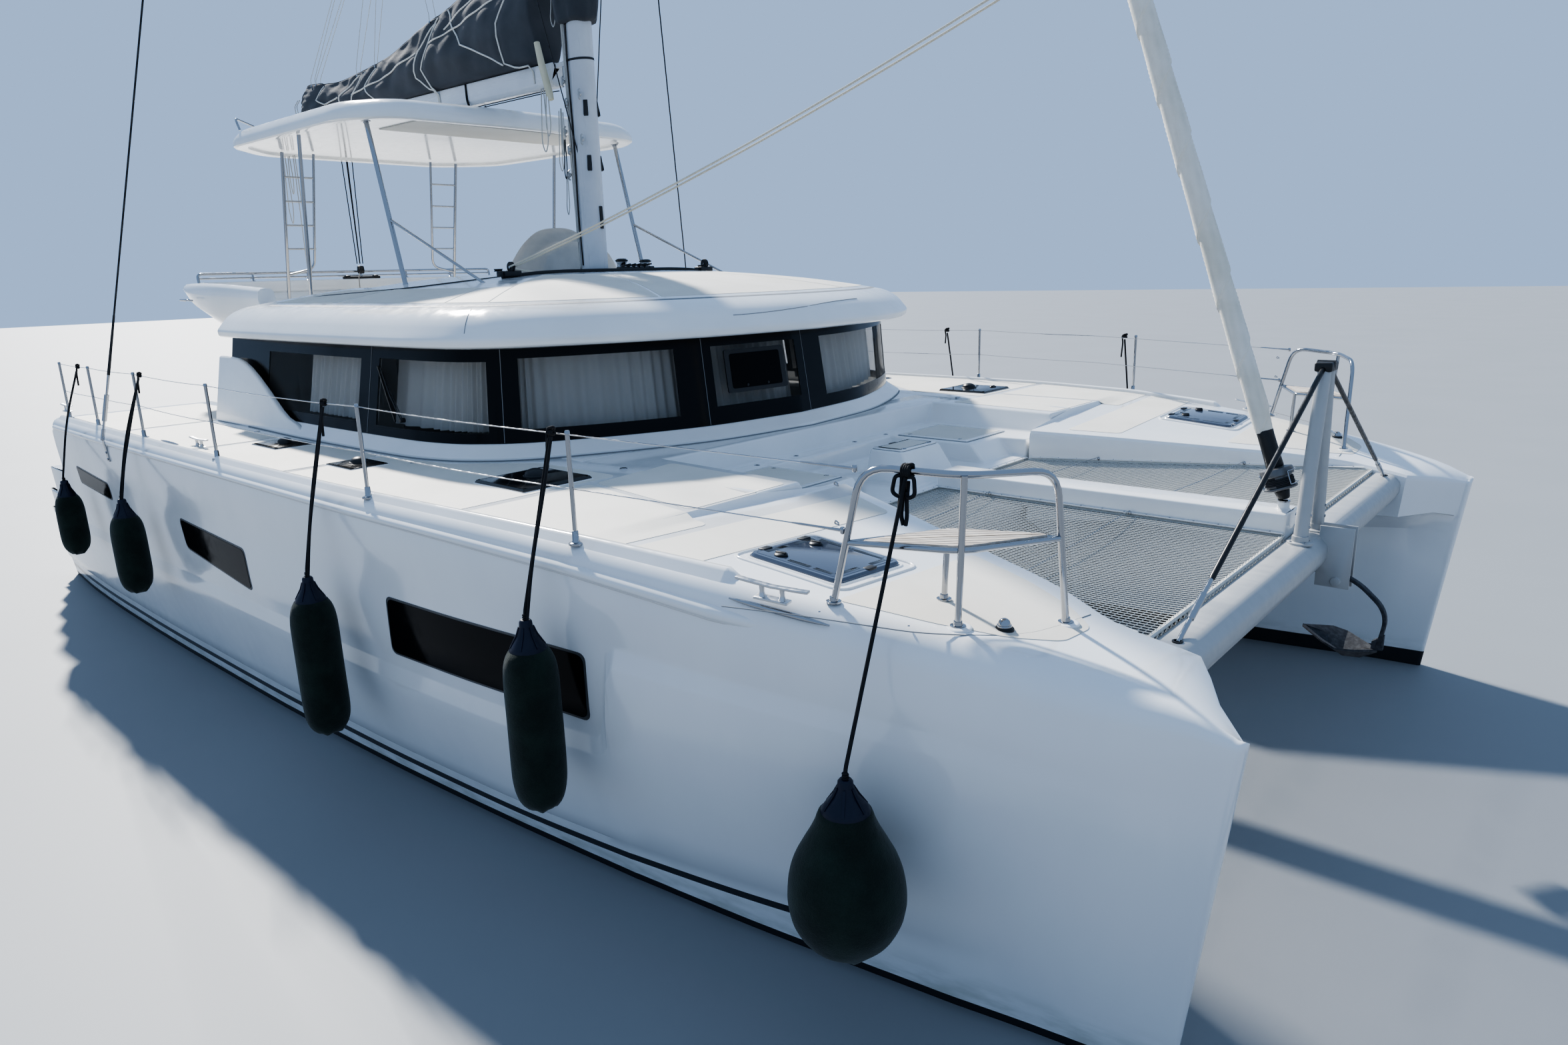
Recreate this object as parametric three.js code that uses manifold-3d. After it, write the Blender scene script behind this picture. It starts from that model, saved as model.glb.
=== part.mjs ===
// Sailing catamaran, about 14 m long, afloat with its mast stepped and its mainsail stowed.
// Millimetres. +X points forward, +Y to port, +Z up. The origin lies on the centre plane at the waterline.
import * as THREE from 'three';
import { mergeVertices } from 'three/addons/utils/BufferGeometryUtils.js';
import Module from 'manifold-3d';

const wasm = await Module();
wasm.setup();

// Driving dimensions
const GAP = 0.3;                    // left between pieces that rest on each other
const BOW_X = 6950;
const STERN_X = -7040;
const HULL_Y = 3020;                // centre plane of each hull
const DRAFT = 1350;                 // to the soles of the keels
const DECK_Z = 2200;                // side decks
const INNER_Y = 2280;               // wall between each hull and the bridge deck
const NACELLE_Z = 800;              // underside of the bridge deck
const SOLE_Z = 1050;                // saloon and cockpit sole
const FOREDECK_X = 3750;            // front edge of the bridge deck
const NET_Z = 1820;                 // top of the nets
const NET_THICK = 14;
const CROSSBEAM = { x: [6345, 6560], z: [1600, 1800], halfY: 2410 };
const BULKHEAD_X = -3250;           // front face of the saloon's aft wall
const ROOF_UNDER_Z = 3030;
const ROOF_TOP_Z = 3590;
const MAST = { x: -565, a: 172, b: 113, foot: ROOF_TOP_Z, head: 22200, hounds: 20500 };
const BOOM = { pivotX: -800, end: -6620, z: [5440, 5670], halfY: 85 };
const HARDTOP = { front: -1450, aft: -5400, halfY: 1850, z: [5090, 5300] };
const FLY = { aft: -5700, floor: 3320 };

// Finishes
const paint = (color, roughness, metalness = 0) => new THREE.MeshStandardMaterial({ color, roughness, metalness });
const GELCOAT = paint(0xf1f1ee, 0.22);
const ANTIFOUL = paint(0x1b1d20, 0.8);
const GLAZING = paint(0x1c2022, 0.08);
const ACRYLIC = paint(0x39424f, 0.12);
const STAINLESS = paint(0xc9ccce, 0.18, 1);
const ALLOY = paint(0xc4c9cd, 0.4, 0.6);
const SPAR = paint(0xdcdfe1, 0.35, 0.2);
const BRONZE = paint(0xa08048, 0.35, 1);
const NETTING = paint(0x77776f, 0.9);
const BLACK_LINE = paint(0x1a1b1d, 0.6);
const SAIL = paint(0xe6e3da, 0.8);
const BAG_CLOTH = paint(0x2b2d30, 0.9);
const COVER_CLOTH = paint(0xb4b3ae, 0.9);
const FENDER_CLOTH = paint(0x1d2a22, 0.95);
const GALVANISED = paint(0x3b3f42, 0.6, 0.5);
const TEAK = paint(0xa98d63, 0.7);

// Solids
function solidOf(geometry) {
  const plain = geometry.index ? geometry.clone() : geometry;
  for (const name of Object.keys(plain.attributes)) if (name !== 'position') plain.deleteAttribute(name);
  const merged = mergeVertices(plain, 1e-3);
  let triVerts = Uint32Array.from(merged.index.array);
  const vertProperties = Float32Array.from(merged.attributes.position.array);
  if (signedVolume(vertProperties, triVerts) < 0) triVerts = flipped(triVerts);
  return new wasm.Manifold(new wasm.Mesh({ numProp: 3, vertProperties, triVerts }));
}

function signedVolume(v, t) {
  let sum = 0;
  for (let i = 0; i < t.length; i += 3) {
    const [a, b, c] = [t[i] * 3, t[i + 1] * 3, t[i + 2] * 3];
    sum += v[a] * (v[b + 1] * v[c + 2] - v[b + 2] * v[c + 1])
      - v[a + 1] * (v[b] * v[c + 2] - v[b + 2] * v[c])
      + v[a + 2] * (v[b] * v[c + 1] - v[b + 1] * v[c]);
  }
  return sum;
}

function flipped(triVerts) {
  const turned = Uint32Array.from(triVerts);
  for (let i = 0; i < turned.length; i += 3) [turned[i], turned[i + 1]] = [turned[i + 1], turned[i]];
  return turned;
}

function geometryOf(solid) {
  const { vertProperties, triVerts } = solid.getMesh();
  const geometry = new THREE.BufferGeometry();
  geometry.setAttribute('position', new THREE.BufferAttribute(Float32Array.from(vertProperties), 3));
  geometry.setIndex(new THREE.BufferAttribute(Uint32Array.from(triVerts), 1));
  geometry.computeVertexNormals();
  return geometry;
}

const join = (...solids) => solids.reduce((sum, one) => sum.add(one));
const cut = (solid, ...tools) => tools.reduce((rest, one) => rest.subtract(one), solid);

// The same solid on the other side of the centre plane
function mirrored(solid) {
  const { vertProperties, triVerts } = solid.getMesh();
  const turned = Float32Array.from(vertProperties, (value, i) => (i % 3 === 1 ? -value : value));
  return new wasm.Manifold(new wasm.Mesh({ numProp: 3, vertProperties: turned, triVerts: flipped(triVerts) }));
}

function box([x0, x1], [y0, y1], [z0, z1]) {
  const geometry = new THREE.BoxGeometry(x1 - x0, y1 - y0, z1 - z0);
  return solidOf(geometry.translate((x0 + x1) / 2, (y0 + y1) / 2, (z0 + z1) / 2));
}

function rod(from, to, radius, sides = 8, endRadius = radius) {
  const a = new THREE.Vector3(...from);
  const b = new THREE.Vector3(...to);
  const geometry = new THREE.CylinderGeometry(endRadius, radius, a.distanceTo(b), sides);
  const turn = new THREE.Quaternion().setFromUnitVectors(new THREE.Vector3(0, 1, 0), b.clone().sub(a).normalize());
  geometry.applyQuaternion(turn);
  return solidOf(geometry.translate(...a.add(b).multiplyScalar(0.5).toArray()));
}

// A plan outline of [u, v] corners, or [u, v, radius] where a corner is rounded
function outline(corners) {
  const shape = new THREE.Shape();
  const n = corners.length;
  corners.forEach(([u, v, radius = 0], i) => {
    const here = new THREE.Vector2(u, v);
    const before = new THREE.Vector2(...corners[(i + n - 1) % n].slice(0, 2));
    const after = new THREE.Vector2(...corners[(i + 1) % n].slice(0, 2));
    const start = here.clone().add(before.sub(here).setLength(radius));
    const end = here.clone().add(after.sub(here).setLength(radius));
    if (i === 0) shape.moveTo(start.x, start.y);
    else shape.lineTo(start.x, start.y);
    if (radius > 0) shape.quadraticCurveTo(u, v, end.x, end.y);
  });
  shape.closePath();
  return shape;
}

// An outline drawn across one axis and drawn out along it; across x the corners are [y, z],
// across y they are [x, z], and across z they are [x, y]
const ACROSS = {
  x: [[0, 1, 0], [0, 0, 1], [1, 0, 0]],
  y: [[1, 0, 0], [0, 0, 1], [0, -1, 0]],
  z: [[1, 0, 0], [0, 1, 0], [0, 0, 1]],
};

function prism(axis, corners, from, to, curveSegments = 3) {
  const shape = corners instanceof THREE.Shape ? corners : outline(corners);
  const geometry = new THREE.ExtrudeGeometry(shape, { depth: to - from, bevelEnabled: false, curveSegments });
  const basis = ACROSS[axis].map((v) => new THREE.Vector3(...v));
  geometry.applyMatrix4(new THREE.Matrix4().makeBasis(...basis));
  const start = axis === 'y' ? basis[2].multiplyScalar(-to) : basis[2].multiplyScalar(from);
  return solidOf(geometry.translate(...start.toArray()));
}

// A closed skin through rings of [x, y, z] points, all of one length. Each four-sided patch is split
// along its shorter diagonal, so the two faces of a thin twisted wall are split alike
function loft(rings) {
  const size = rings[0].length;
  const positions = rings.flat(2);
  const index = [];
  const apart = (p, q) => Math.hypot(p[0] - q[0], p[1] - q[1], p[2] - q[2]);
  for (let r = 0; r + 1 < rings.length; r++) {
    for (let i = 0; i < size; i++) {
      const next = (i + 1) % size;
      const [a, b] = [r * size + i, r * size + next];
      if (apart(rings[r][i], rings[r + 1][next]) < apart(rings[r][next], rings[r + 1][i]) - 0.01) {
        index.push(a, b, b + size, a, b + size, a + size);
      } else {
        index.push(a, b, a + size, b, b + size, a + size);
      }
    }
  }
  const caps = [[0, rings[0]], [(rings.length - 1) * size, rings[rings.length - 1]]];
  caps.forEach(([first, ring], which) => {
    for (const [a, b, c] of capTriangles(ring)) {
      if (which === 0) index.push(first + a, first + c, first + b);
      else index.push(first + a, first + b, first + c);
    }
  });
  const geometry = new THREE.BufferGeometry();
  geometry.setAttribute('position', new THREE.Float32BufferAttribute(positions, 3));
  geometry.setIndex(index);
  return solidOf(geometry);
}

// Triangles that close a ring, turned the same way as the ring
function capTriangles(ring) {
  const normal = new THREE.Vector3();
  ring.forEach((p, i) => {
    const q = ring[(i + 1) % ring.length];
    normal.x += (p[1] - q[1]) * (p[2] + q[2]);
    normal.y += (p[2] - q[2]) * (p[0] + q[0]);
    normal.z += (p[0] - q[0]) * (p[1] + q[1]);
  });
  const size = normal.toArray().map(Math.abs);
  const drop = size.indexOf(Math.max(...size));
  const keep = [[1, 2], [2, 0], [0, 1]][drop];
  const flat = ring.map((p) => new THREE.Vector2(p[keep[0]], p[keep[1]]));
  const triangles = THREE.ShapeUtils.triangulateShape(flat, []);
  const ringSign = Math.sign(normal.getComponent(drop));
  return triangles.map(([a, b, c]) => {
    const turn = (flat[b].x - flat[a].x) * (flat[c].y - flat[a].y) - (flat[b].y - flat[a].y) * (flat[c].x - flat[a].x);
    return Math.sign(turn) === ringSign ? [a, b, c] : [a, c, b];
  });
}

// A round tube through points whose corners are rounded by a bend radius
function pipe(points, radius, sides = 8, bend = 0) {
  const path = [];
  const v = points.map((p) => new THREE.Vector3(...p));
  v.forEach((p, i) => {
    if (i === 0 || i === v.length - 1 || bend === 0) {
      path.push(p);
      return;
    }
    const start = p.clone().add(v[i - 1].clone().sub(p).setLength(bend));
    const end = p.clone().add(v[i + 1].clone().sub(p).setLength(bend));
    path.push(...new THREE.QuadraticBezierCurve3(start, p, end).getPoints(4));
  });
  let normal = null;
  const rings = path.map((p, i) => {
    const along = path[Math.min(i + 1, path.length - 1)].clone().sub(path[Math.max(i - 1, 0)]).normalize();
    if (!normal) normal = Math.abs(along.z) < 0.9 ? new THREE.Vector3(0, 0, 1) : new THREE.Vector3(1, 0, 0);
    normal.addScaledVector(along, -normal.dot(along)).normalize();
    const side = along.clone().cross(normal);
    return Array.from({ length: sides }, (_, k) => {
      const angle = (2 * Math.PI * (k + 0.5)) / sides;
      return p.clone().addScaledVector(normal, radius * Math.cos(angle)).addScaledVector(side, radius * Math.sin(angle)).toArray();
    });
  });
  return loft(rings);
}

// A turned shape: [radius, height] pairs from the bottom up, along a line from one point towards another
function turned(profile, from, towards, sides = 12) {
  const geometry = new THREE.LatheGeometry(profile.map(([r, h]) => new THREE.Vector2(r, h)), sides);
  const up = new THREE.Vector3(...towards).sub(new THREE.Vector3(...from)).normalize();
  geometry.applyQuaternion(new THREE.Quaternion().setFromUnitVectors(new THREE.Vector3(0, 1, 0), up));
  return solidOf(geometry.translate(...from));
}

const boat = new THREE.Group();

function place(name, material, solid) {
  const mesh = new THREE.Mesh(geometryOf(solid), material);
  mesh.name = name;
  boat.add(mesh);
}

// A port piece and its twin to starboard
function placePair(name, material, port) {
  place(`${name}_port`, material, port);
  place(`${name}_starboard`, material, mirrored(port));
}

// Hulls. One row for each section: x, keel depth, outer and inner half-breadth at the waterline from
// the hull's centre, topside y, deck z, deck edge radius, inner deck edge y, its drop below the deck,
// foot of the inner face z, inner wall y under that face
const gussetY = (x) => 1360 + ((x - 3780) * (2410 - 1360)) / (6290 - 3780);
const HULL_SECTIONS = [
  [STERN_X, -60, 560, 470, 3840, DECK_Z, 90, INNER_Y, 2, 820, 2330],
  [-6000, -300, 640, 610, 3900, DECK_Z, 90, INNER_Y, 2, 780, 2300],
  [-4600, -500, 690, 680, 3950, DECK_Z, 90, INNER_Y, 2, 780, 2300],
  [-2800, -610, 710, 700, 3975, DECK_Z, 90, INNER_Y, 2, 780, 2300],
  [-800, -640, 700, 690, 3980, DECK_Z, 90, INNER_Y, 2, 780, 2300],
  [1000, -620, 650, 650, 3975, DECK_Z, 95, INNER_Y, 2, 780, 2320],
  [2400, -590, 570, 570, 3935, DECK_Z, 105, INNER_Y, 2, 780, 2360],
  [FOREDECK_X, -550, 455, 455, 3830, 2175, 120, INNER_Y, 2, 800, 2430],
  [3780, -548, 450, 450, 3826, 2174, 120, gussetY(3780), 90, 1250, 2430],
  [4600, -510, 350, 350, 3710, 2120, 140, gussetY(4600), 90, 1280, 2500],
  [5260, -470, 250, 250, 3585, 2060, 160, gussetY(5260), 80, 1320, 2580],
  [5800, -430, 165, 165, 3455, 1995, 170, gussetY(5800), 60, 1380, 2660],
  [6290, -380, 90, 90, 3325, 1920, 165, 2410, 60, 1430, 2740],
  [6600, -330, 52, 52, 3230, 1855, 130, 2410, 50, 1450, 2800],
  [6760, -290, 38, 38, 3165, 1810, 90, 2700, 50, 1450, 2880],
  [BOW_X, -220, 26, 26, 3085, 1730, 40, 2955, 30, 1400, 2970],
];
const STEM_RAKE = 0.11;             // how far the stem leans aft for each unit below the bow's top
const STEM_FROM = 5800;

function hullRing([x, keelZ, outer, inner, sideY, deckZ, edge, innerY, innerDrop, faceZ, wallY]) {
  const rake = (STEM_RAKE * Math.max(0, x - STEM_FROM)) / (BOW_X - STEM_FROM);
  const at = (y, z) => [x + rake * (z - deckZ), y, z];
  const flare = sideY - HULL_Y - outer;
  const round = 0.29 * edge;
  const innerZ = deckZ - innerDrop;
  const lip = Math.min(60, innerDrop);
  return [
    at(HULL_Y, keelZ),
    at(HULL_Y + 0.62 * outer, 0.86 * keelZ),
    at(HULL_Y + 0.92 * outer, 0.5 * keelZ),
    at(HULL_Y + outer, 0),
    at(HULL_Y + outer + 0.47 * flare, 620),
    at(HULL_Y + outer + 0.86 * flare, 1250),
    at(sideY, deckZ - 2 * edge),
    at(sideY - 0.1 * edge, deckZ - edge),
    at(sideY - round - 0.1 * edge, deckZ - round),
    at(sideY - 1.1 * edge, deckZ),
    at(innerY + lip, innerZ),
    at(innerY, innerZ - lip),
    at(innerY, faceZ),
    at(wallY, faceZ - 180),
    at(HULL_Y - inner, 0),
    at(HULL_Y - 0.92 * inner, 0.5 * keelZ),
    at(HULL_Y - 0.62 * inner, 0.86 * keelZ),
  ];
}

// Stern steps: [aft of x, tread z] from the deck down to the bathing platform
const STERN_STEPS = [[-5250, 1600], [-5800, 1300], [-6150, 1020], [-6500, 740], [-6750, 460]];
let portHull = loft(HULL_SECTIONS.map(hullRing));
for (const [x, z] of STERN_STEPS) portHull = cut(portHull, box([STERN_X - 100, x], [2000, 4200], [z, 2400]));
const RUDDER = { x: -6100, top: -330, tip: -1180 };
const DRIVE = { x: -4350, z: -830 };
portHull = join(portHull, rod([RUDDER.x, HULL_Y, RUDDER.top], [RUDDER.x, HULL_Y, -150], 90, 12));
placePair('hull', GELCOAT, portHull);

// Stub keels, bonded under the hulls. Outline corners are [x, y] round a plan section
const keelPlan = (front, aft, half) => [
  [front, 0], [front - 180, 0.55 * half], [front - 650, half], [aft + 900, 0.72 * half],
  [aft, 10], [aft, -10], [aft + 900, -0.72 * half], [front - 650, -half], [front - 180, -0.55 * half],
];
const keelRing = (front, aft, half, z) => keelPlan(front, aft, half).map(([x, y]) => [x, HULL_Y + y, z]);
const keelBlank = loft([
  keelRing(1350, -1150, 130, -DRAFT), keelRing(1500, -1350, 170, -1000), keelRing(1750, -1650, 230, -400),
]);
placePair('keel', ANTIFOUL, cut(keelBlank, portHull.translate([0, 0, -GAP])));

// Balanced spade rudders, turning on the stocks' line
const rudderRing = (front, aft, half, z) => [
  [front, 0], [front - 60, 0.7 * half], [front - 190, half], [aft, 6], [aft, -6], [front - 190, -half], [front - 60, -0.7 * half],
].map(([x, y]) => [RUDDER.x + x, HULL_Y + y, z]);
const rudderBlade = loft([
  rudderRing(110, -300, 26, RUDDER.tip), rudderRing(150, -390, 36, -700), rudderRing(160, -430, 42, RUDDER.top - 60),
]);
const rudderCap = rod([RUDDER.x, HULL_Y, RUDDER.top - 75], [RUDDER.x, HULL_Y, RUDDER.top - GAP], 60, 12);
placePair('rudder', ANTIFOUL, join(rudderBlade, rudderCap));

// Sail drive legs with their propellers
const DRIVE_LEG = [[-150, 230, DRIVE.z], [-140, 200, -380]];   // aft and front from the leg's line, height
const driveLeg = loft(DRIVE_LEG.map(([aft, front, z]) => [
  [front, 0], [front - 90, 45], [aft + 120, 45], [aft, 8], [aft, -8], [aft + 120, -45], [front - 90, -45],
].map(([x, y]) => [DRIVE.x + x, HULL_Y + y, z])));
const drivePod = turned([[0, 0], [62, 0], [78, 120], [70, 330], [30, 430], [0, 440]],
  [DRIVE.x - 200, HULL_Y, DRIVE.z], [DRIVE.x, HULL_Y, DRIVE.z]);
placePair('sail_drive', ALLOY, cut(join(driveLeg, drivePod), portHull.translate([0, 0, -GAP])));

const PROP_X = DRIVE.x - 200 - GAP;
const propHub = turned([[0, 0], [30, 6], [46, 50], [56, 110], [56, 130], [0, 130]],
  [PROP_X - 130, HULL_Y, DRIVE.z], [PROP_X, HULL_Y, DRIVE.z]);
const blade = (turn) => {
  const rings = [[40, 50, 14], [130, 85, 10], [215, 70, 7], [240, 25, 5]].map(([r, half, thick]) => {
    const pitch = Math.PI / 2 - 0.9 * (1 - r / 420);
    return [[-half, -thick / 2], [half, -thick / 2], [half, thick / 2], [-half, thick / 2]].map(([u, w]) => {
      const across = u * Math.sin(pitch) + w * Math.cos(pitch);
      const along = u * Math.cos(pitch) - w * Math.sin(pitch);
      return [PROP_X - 75 + along * 0.6, HULL_Y + r * Math.cos(turn) - across * Math.sin(turn), DRIVE.z + r * Math.sin(turn) + across * Math.cos(turn)];
    });
  });
  return loft(rings);
};
const BLADES = 3;
const propeller = join(propHub, ...Array.from({ length: BLADES }, (_, k) => blade((2 * Math.PI * k) / BLADES + Math.PI / 2)));
placePair('propeller', BRONZE, propeller);

// Bridge deck: the floor of saloon and cockpit, a closed wing between the hulls
const wallY = INNER_Y - GAP;
const COCKPIT_AFT_X = -5600;
const NOSE_X = 3570;                // where the rising nose of the bridge deck passes the sole's height
const bridgeFloor = prism('y', [
  [COCKPIT_AFT_X, 930], [COCKPIT_AFT_X + 350, NACELLE_Z], [2900, NACELLE_Z], [3400, 900, 200], [NOSE_X, SOLE_Z],
  [COCKPIT_AFT_X, SOLE_Z],
], -wallY, wallY);
const transomWall = box([COCKPIT_AFT_X, COCKPIT_AFT_X + 90], [-1500, 1500], [SOLE_Z - 10, 1750]);
const BENCH = { x: [-5500, -4960], y: [-1450, 1450], z: 1480 };
const cockpitBench = box(BENCH.x, BENCH.y, [SOLE_Z - 10, BENCH.z]);
place('bridge_deck', GELCOAT, join(bridgeFloor, transomWall, cockpitBench));

// Foredeck: locker deck between raised side decks, with a well at the nets
const LOCKER_Z = 2000;
const WELL = { x: 2580, halfY: 870, z: 1840 };
const BENCH_END_X = 3450;
const foreBlank = prism('y', [
  [1950, SOLE_Z + GAP], [NOSE_X, SOLE_Z + GAP], [FOREDECK_X, 1350, 120], [FOREDECK_X, DECK_Z - 25], [3000, DECK_Z],
  [1950, DECK_Z],
], -wallY, wallY);
const lockerTrough = prism('x', [
  [-1880, DECK_Z + 10], [-1740, LOCKER_Z], [1740, LOCKER_Z], [1880, DECK_Z + 10],
], 2420, FOREDECK_X + 10);
const well = box([WELL.x, FOREDECK_X + 10], [-WELL.halfY, WELL.halfY], [WELL.z, DECK_Z]);
const benchNose = prism('y', [
  [BENCH_END_X, LOCKER_Z + 10], [BENCH_END_X + 150, WELL.z], [FOREDECK_X + 10, WELL.z], [FOREDECK_X + 10, LOCKER_Z + 300],
  [BENCH_END_X, LOCKER_Z + 300],
], -1360, 1360);
const LID = { x: [2640, 3380], y: [930, 1640], thick: 12, lap: 30 };
const locker = box(
  [LID.x[0] + LID.lap, LID.x[1] - LID.lap], [LID.y[0] + LID.lap, LID.y[1] - LID.lap], [1350, LOCKER_Z + 50],
);
const windlassBox = loft([[3160, 3660, 330, WELL.z - 10], [3180, 3500, 280, 2105]].map(([aft, front, half, z]) => [
  [aft, -half, z], [front, -half, z], [front, half, z], [aft, half, z],
]));
const foredeckShell = cut(foreBlank, lockerTrough, well, benchNose, locker, mirrored(locker));
place('foredeck', GELCOAT, join(foredeckShell, windlassBox));
placePair('locker_lid', GELCOAT, box(LID.x, LID.y, [LOCKER_Z + GAP, LOCKER_Z + LID.thick]));

// Longitudinal beam and crossbeam between the bows
const BEAM = { halfY: 150, z: [1770, 1960] };
place('centre_beam', GELCOAT, join(
  box([FOREDECK_X + GAP, CROSSBEAM.x[0] - GAP], [-BEAM.halfY, BEAM.halfY], BEAM.z),
  rod([6285, 0, 1950], [6285, 0, 2020], 40, 8),
));
const crossEnd = CROSSBEAM.halfY - GAP;
const crossTube = prism('x', [
  [CROSSBEAM.x[0], 1640, 15], [CROSSBEAM.x[0] + 30, 1600, 15], [CROSSBEAM.x[1] - 30, 1600, 15], [CROSSBEAM.x[1], 1660, 15],
  [CROSSBEAM.x[1], 1740, 25], [CROSSBEAM.x[1] - 60, 1800, 25], [CROSSBEAM.x[0], 1800, 25],
].map(([x, z, r]) => [-x, z, r]), -crossEnd, crossEnd, 2);
const acrossBoat = new THREE.Matrix4().makeBasis(
  new THREE.Vector3(0, 1, 0), new THREE.Vector3(-1, 0, 0), new THREE.Vector3(0, 0, 1),
);
const crossTurned = solidOf(geometryOf(crossTube).applyMatrix4(acrossBoat));
const ROLLER = { x: 6620, y: [60, 148], plate: 12, z: 1510.5, r: 30 };
const rollerCheeks = join(
  ...ROLLER.y.map((y) => box([6500, 6700], [y, y + ROLLER.plate], [1470, 1870])),
  rod([ROLLER.x, ROLLER.y[0] - 10, ROLLER.z], [ROLLER.x, ROLLER.y[1] + 22, ROLLER.z], ROLLER.r, 10),
);
place('crossbeam', ALLOY, join(crossTurned, rollerCheeks));

// Striker: two struts to a head fitting, and stays out to the beam's ends
const STRIKER = { x: 6450, top: 2880, footY: 205, stayY: 2330 };
const beamTop = CROSSBEAM.z[1] + GAP;
const footBlock = box([STRIKER.x - 200, STRIKER.x + 200], [-2600, 2600], [1700, beamTop]);
place('striker', ALLOY, cut(join(
  ...[-1, 1].map((side) => rod([STRIKER.x, side * STRIKER.footY, 1780], [STRIKER.x, side * 40, STRIKER.top], 42, 10)),
  box([STRIKER.x - 50, STRIKER.x + 50], [-85, 85], [STRIKER.top - 20, STRIKER.top + 40]),
  ...[-1, 1].map((side) => rod([STRIKER.x, side * STRIKER.stayY, 1790], [STRIKER.x, side * 60, STRIKER.top + 5], 13, 6)),
), footBlock));

// Nets laced between beam, crossbeam, hulls and foredeck
const netFront = CROSSBEAM.x[0] - GAP;
placePair('net', NETTING, prism('z', [
  [FOREDECK_X + GAP, BEAM.halfY + GAP], [netFront, BEAM.halfY + GAP], [netFront, 2410 - GAP], [6290, 2410 - GAP],
  [3780 + GAP, gussetY(3780) - GAP], [FOREDECK_X + GAP, gussetY(3780) - GAP],
], NET_Z - NET_THICK, NET_Z));

// Furled headsail on its stay: [radius, distance up the stay]
const STAY = { foot: [6285, 0, 2031], head: [-410, 0, MAST.hounds] };
const stayLength = new THREE.Vector3(...STAY.foot).distanceTo(new THREE.Vector3(...STAY.head));
place('furled_headsail', SAIL, turned([
  [0, 0], [30, 0], [34, 70], [100, 80], [105, 190], [60, 200], [45, 260], [40, 420], [82, 520], [95, 2500],
  [108, 7000], [95, 12000], [60, 16500], [24, stayLength - 900], [20, stayLength - 420], [0, stayLength - 420],
], STAY.foot, STAY.head));

// Plough anchor stowed on the roller
place('anchor', GALVANISED, join(
  pipe([[6250, 104, 1560], [6700, 104, 1560], [6930, 104, 1350], [6900, 104, 1120]], 22, 6, 60),
  loft([[[6880, 104, 1130], [6900, 90, 1100], [6900, 104, 1090], [6900, 118, 1100]],
    [[6560, 104, 1230], [6680, -90, 1120], [6760, 104, 990], [6680, 298, 1120]],
    [[6430, 104, 1180], [6440, 96, 1175], [6450, 104, 1165], [6440, 112, 1175]]]),
));

// Bow pulpits with their seats
const TUBE = 16;
const deckAt = (x) => {
  const next = HULL_SECTIONS.findIndex((row) => row[0] >= x);
  const [a, b] = [HULL_SECTIONS[next - 1], HULL_SECTIONS[next]];
  return a[5] + ((b[5] - a[5]) * (x - a[0])) / (b[0] - a[0]);
};
const innerZAt = (x, y) => {
  const next = HULL_SECTIONS.findIndex((row) => row[0] >= x);
  const [a, b] = [HULL_SECTIONS[next - 1], HULL_SECTIONS[next]];
  const t = (x - a[0]) / (b[0] - a[0]);
  const mix = (k) => a[k] + (b[k] - a[k]) * t;
  const [deckZ, edge, innerY, drop] = [mix(5), mix(6), mix(7), mix(8)];
  const outerTop = mix(4) - 1.1 * edge;
  const lip = Math.min(60, drop);
  const slope = Math.min(1, Math.max(0, (y - innerY - lip) / (outerTop - innerY - lip)));
  return deckZ - drop * (1 - slope);
};
const foot = (x, y, lift = 6) => [x, y, innerZAt(x, y) + lift];
const pulpitRail = pipe([foot(5260, 3430), [5410, 3410, 2715], [5830, 3250, 2690], [6040, 2810, 2665], foot(6060, 2700)], TUBE, 8, 110);
const pulpitLegs = join(
  rod(foot(5790, 3215), [5830, 3245, 2690], TUBE), rod(foot(5560, 2960), [5570, 2950, 2345], TUBE),
  pipe([[5330, 3420, 2360], [5810, 3235, 2350], [6045, 2780, 2345]], TUBE - 3, 8, 60),
  rod([5335, 3420, 2355], [5570, 2950, 2340], TUBE - 3), rod([5570, 2950, 2340], [6050, 2770, 2345], TUBE - 3),
);
const seatBoard = prism('z', [[5390, 3360], [5800, 3215], [6000, 2810], [5590, 2975]], 2350, 2372);
placePair('pulpit', STAINLESS, join(pulpitRail, pulpitLegs, seatBoard));

// Stanchions and lifelines: [x, y] of each stanchion, from the stern forward
const STANCHIONS = [[-5000, 3800], [-3940, 3820], [-2590, 3820], [-690, 3880], [1800, 3880], [3770, 3740]];
const GUARD = { height: 600, wires: [590, 300], wireR: 4 };
const aftLegOf = (z) => [5260 + (150 * (z - 2050)) / 665, 3430 - (20 * (z - 2050)) / 665, z];
const lifelineParts = STANCHIONS.map(([x, y]) => {
  const base = innerZAt(x, y);
  return join(rod([x, y, base + GAP], [x, y, base + 40], 26), rod([x, y, base + 20], [x, y, base + GUARD.height], 13));
});
for (const height of GUARD.wires) {
  const points = STANCHIONS.map(([x, y]) => [x, y, innerZAt(x, y) + height]);
  const leg = aftLegOf(2110 + height);
  const last = points[points.length - 1];
  const reach = Math.hypot(leg[0] - last[0], leg[1] - last[1]);
  const short = (TUBE + 3) / reach;
  const end = leg.map((value, k) => value + (last[k] - value) * short);
  [...points, end].slice(1).forEach((to, i) => lifelineParts.push(rod(points[i], to, GUARD.wireR, 6)));
}
placePair('lifelines', STAINLESS, join(...lifelineParts));

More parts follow.
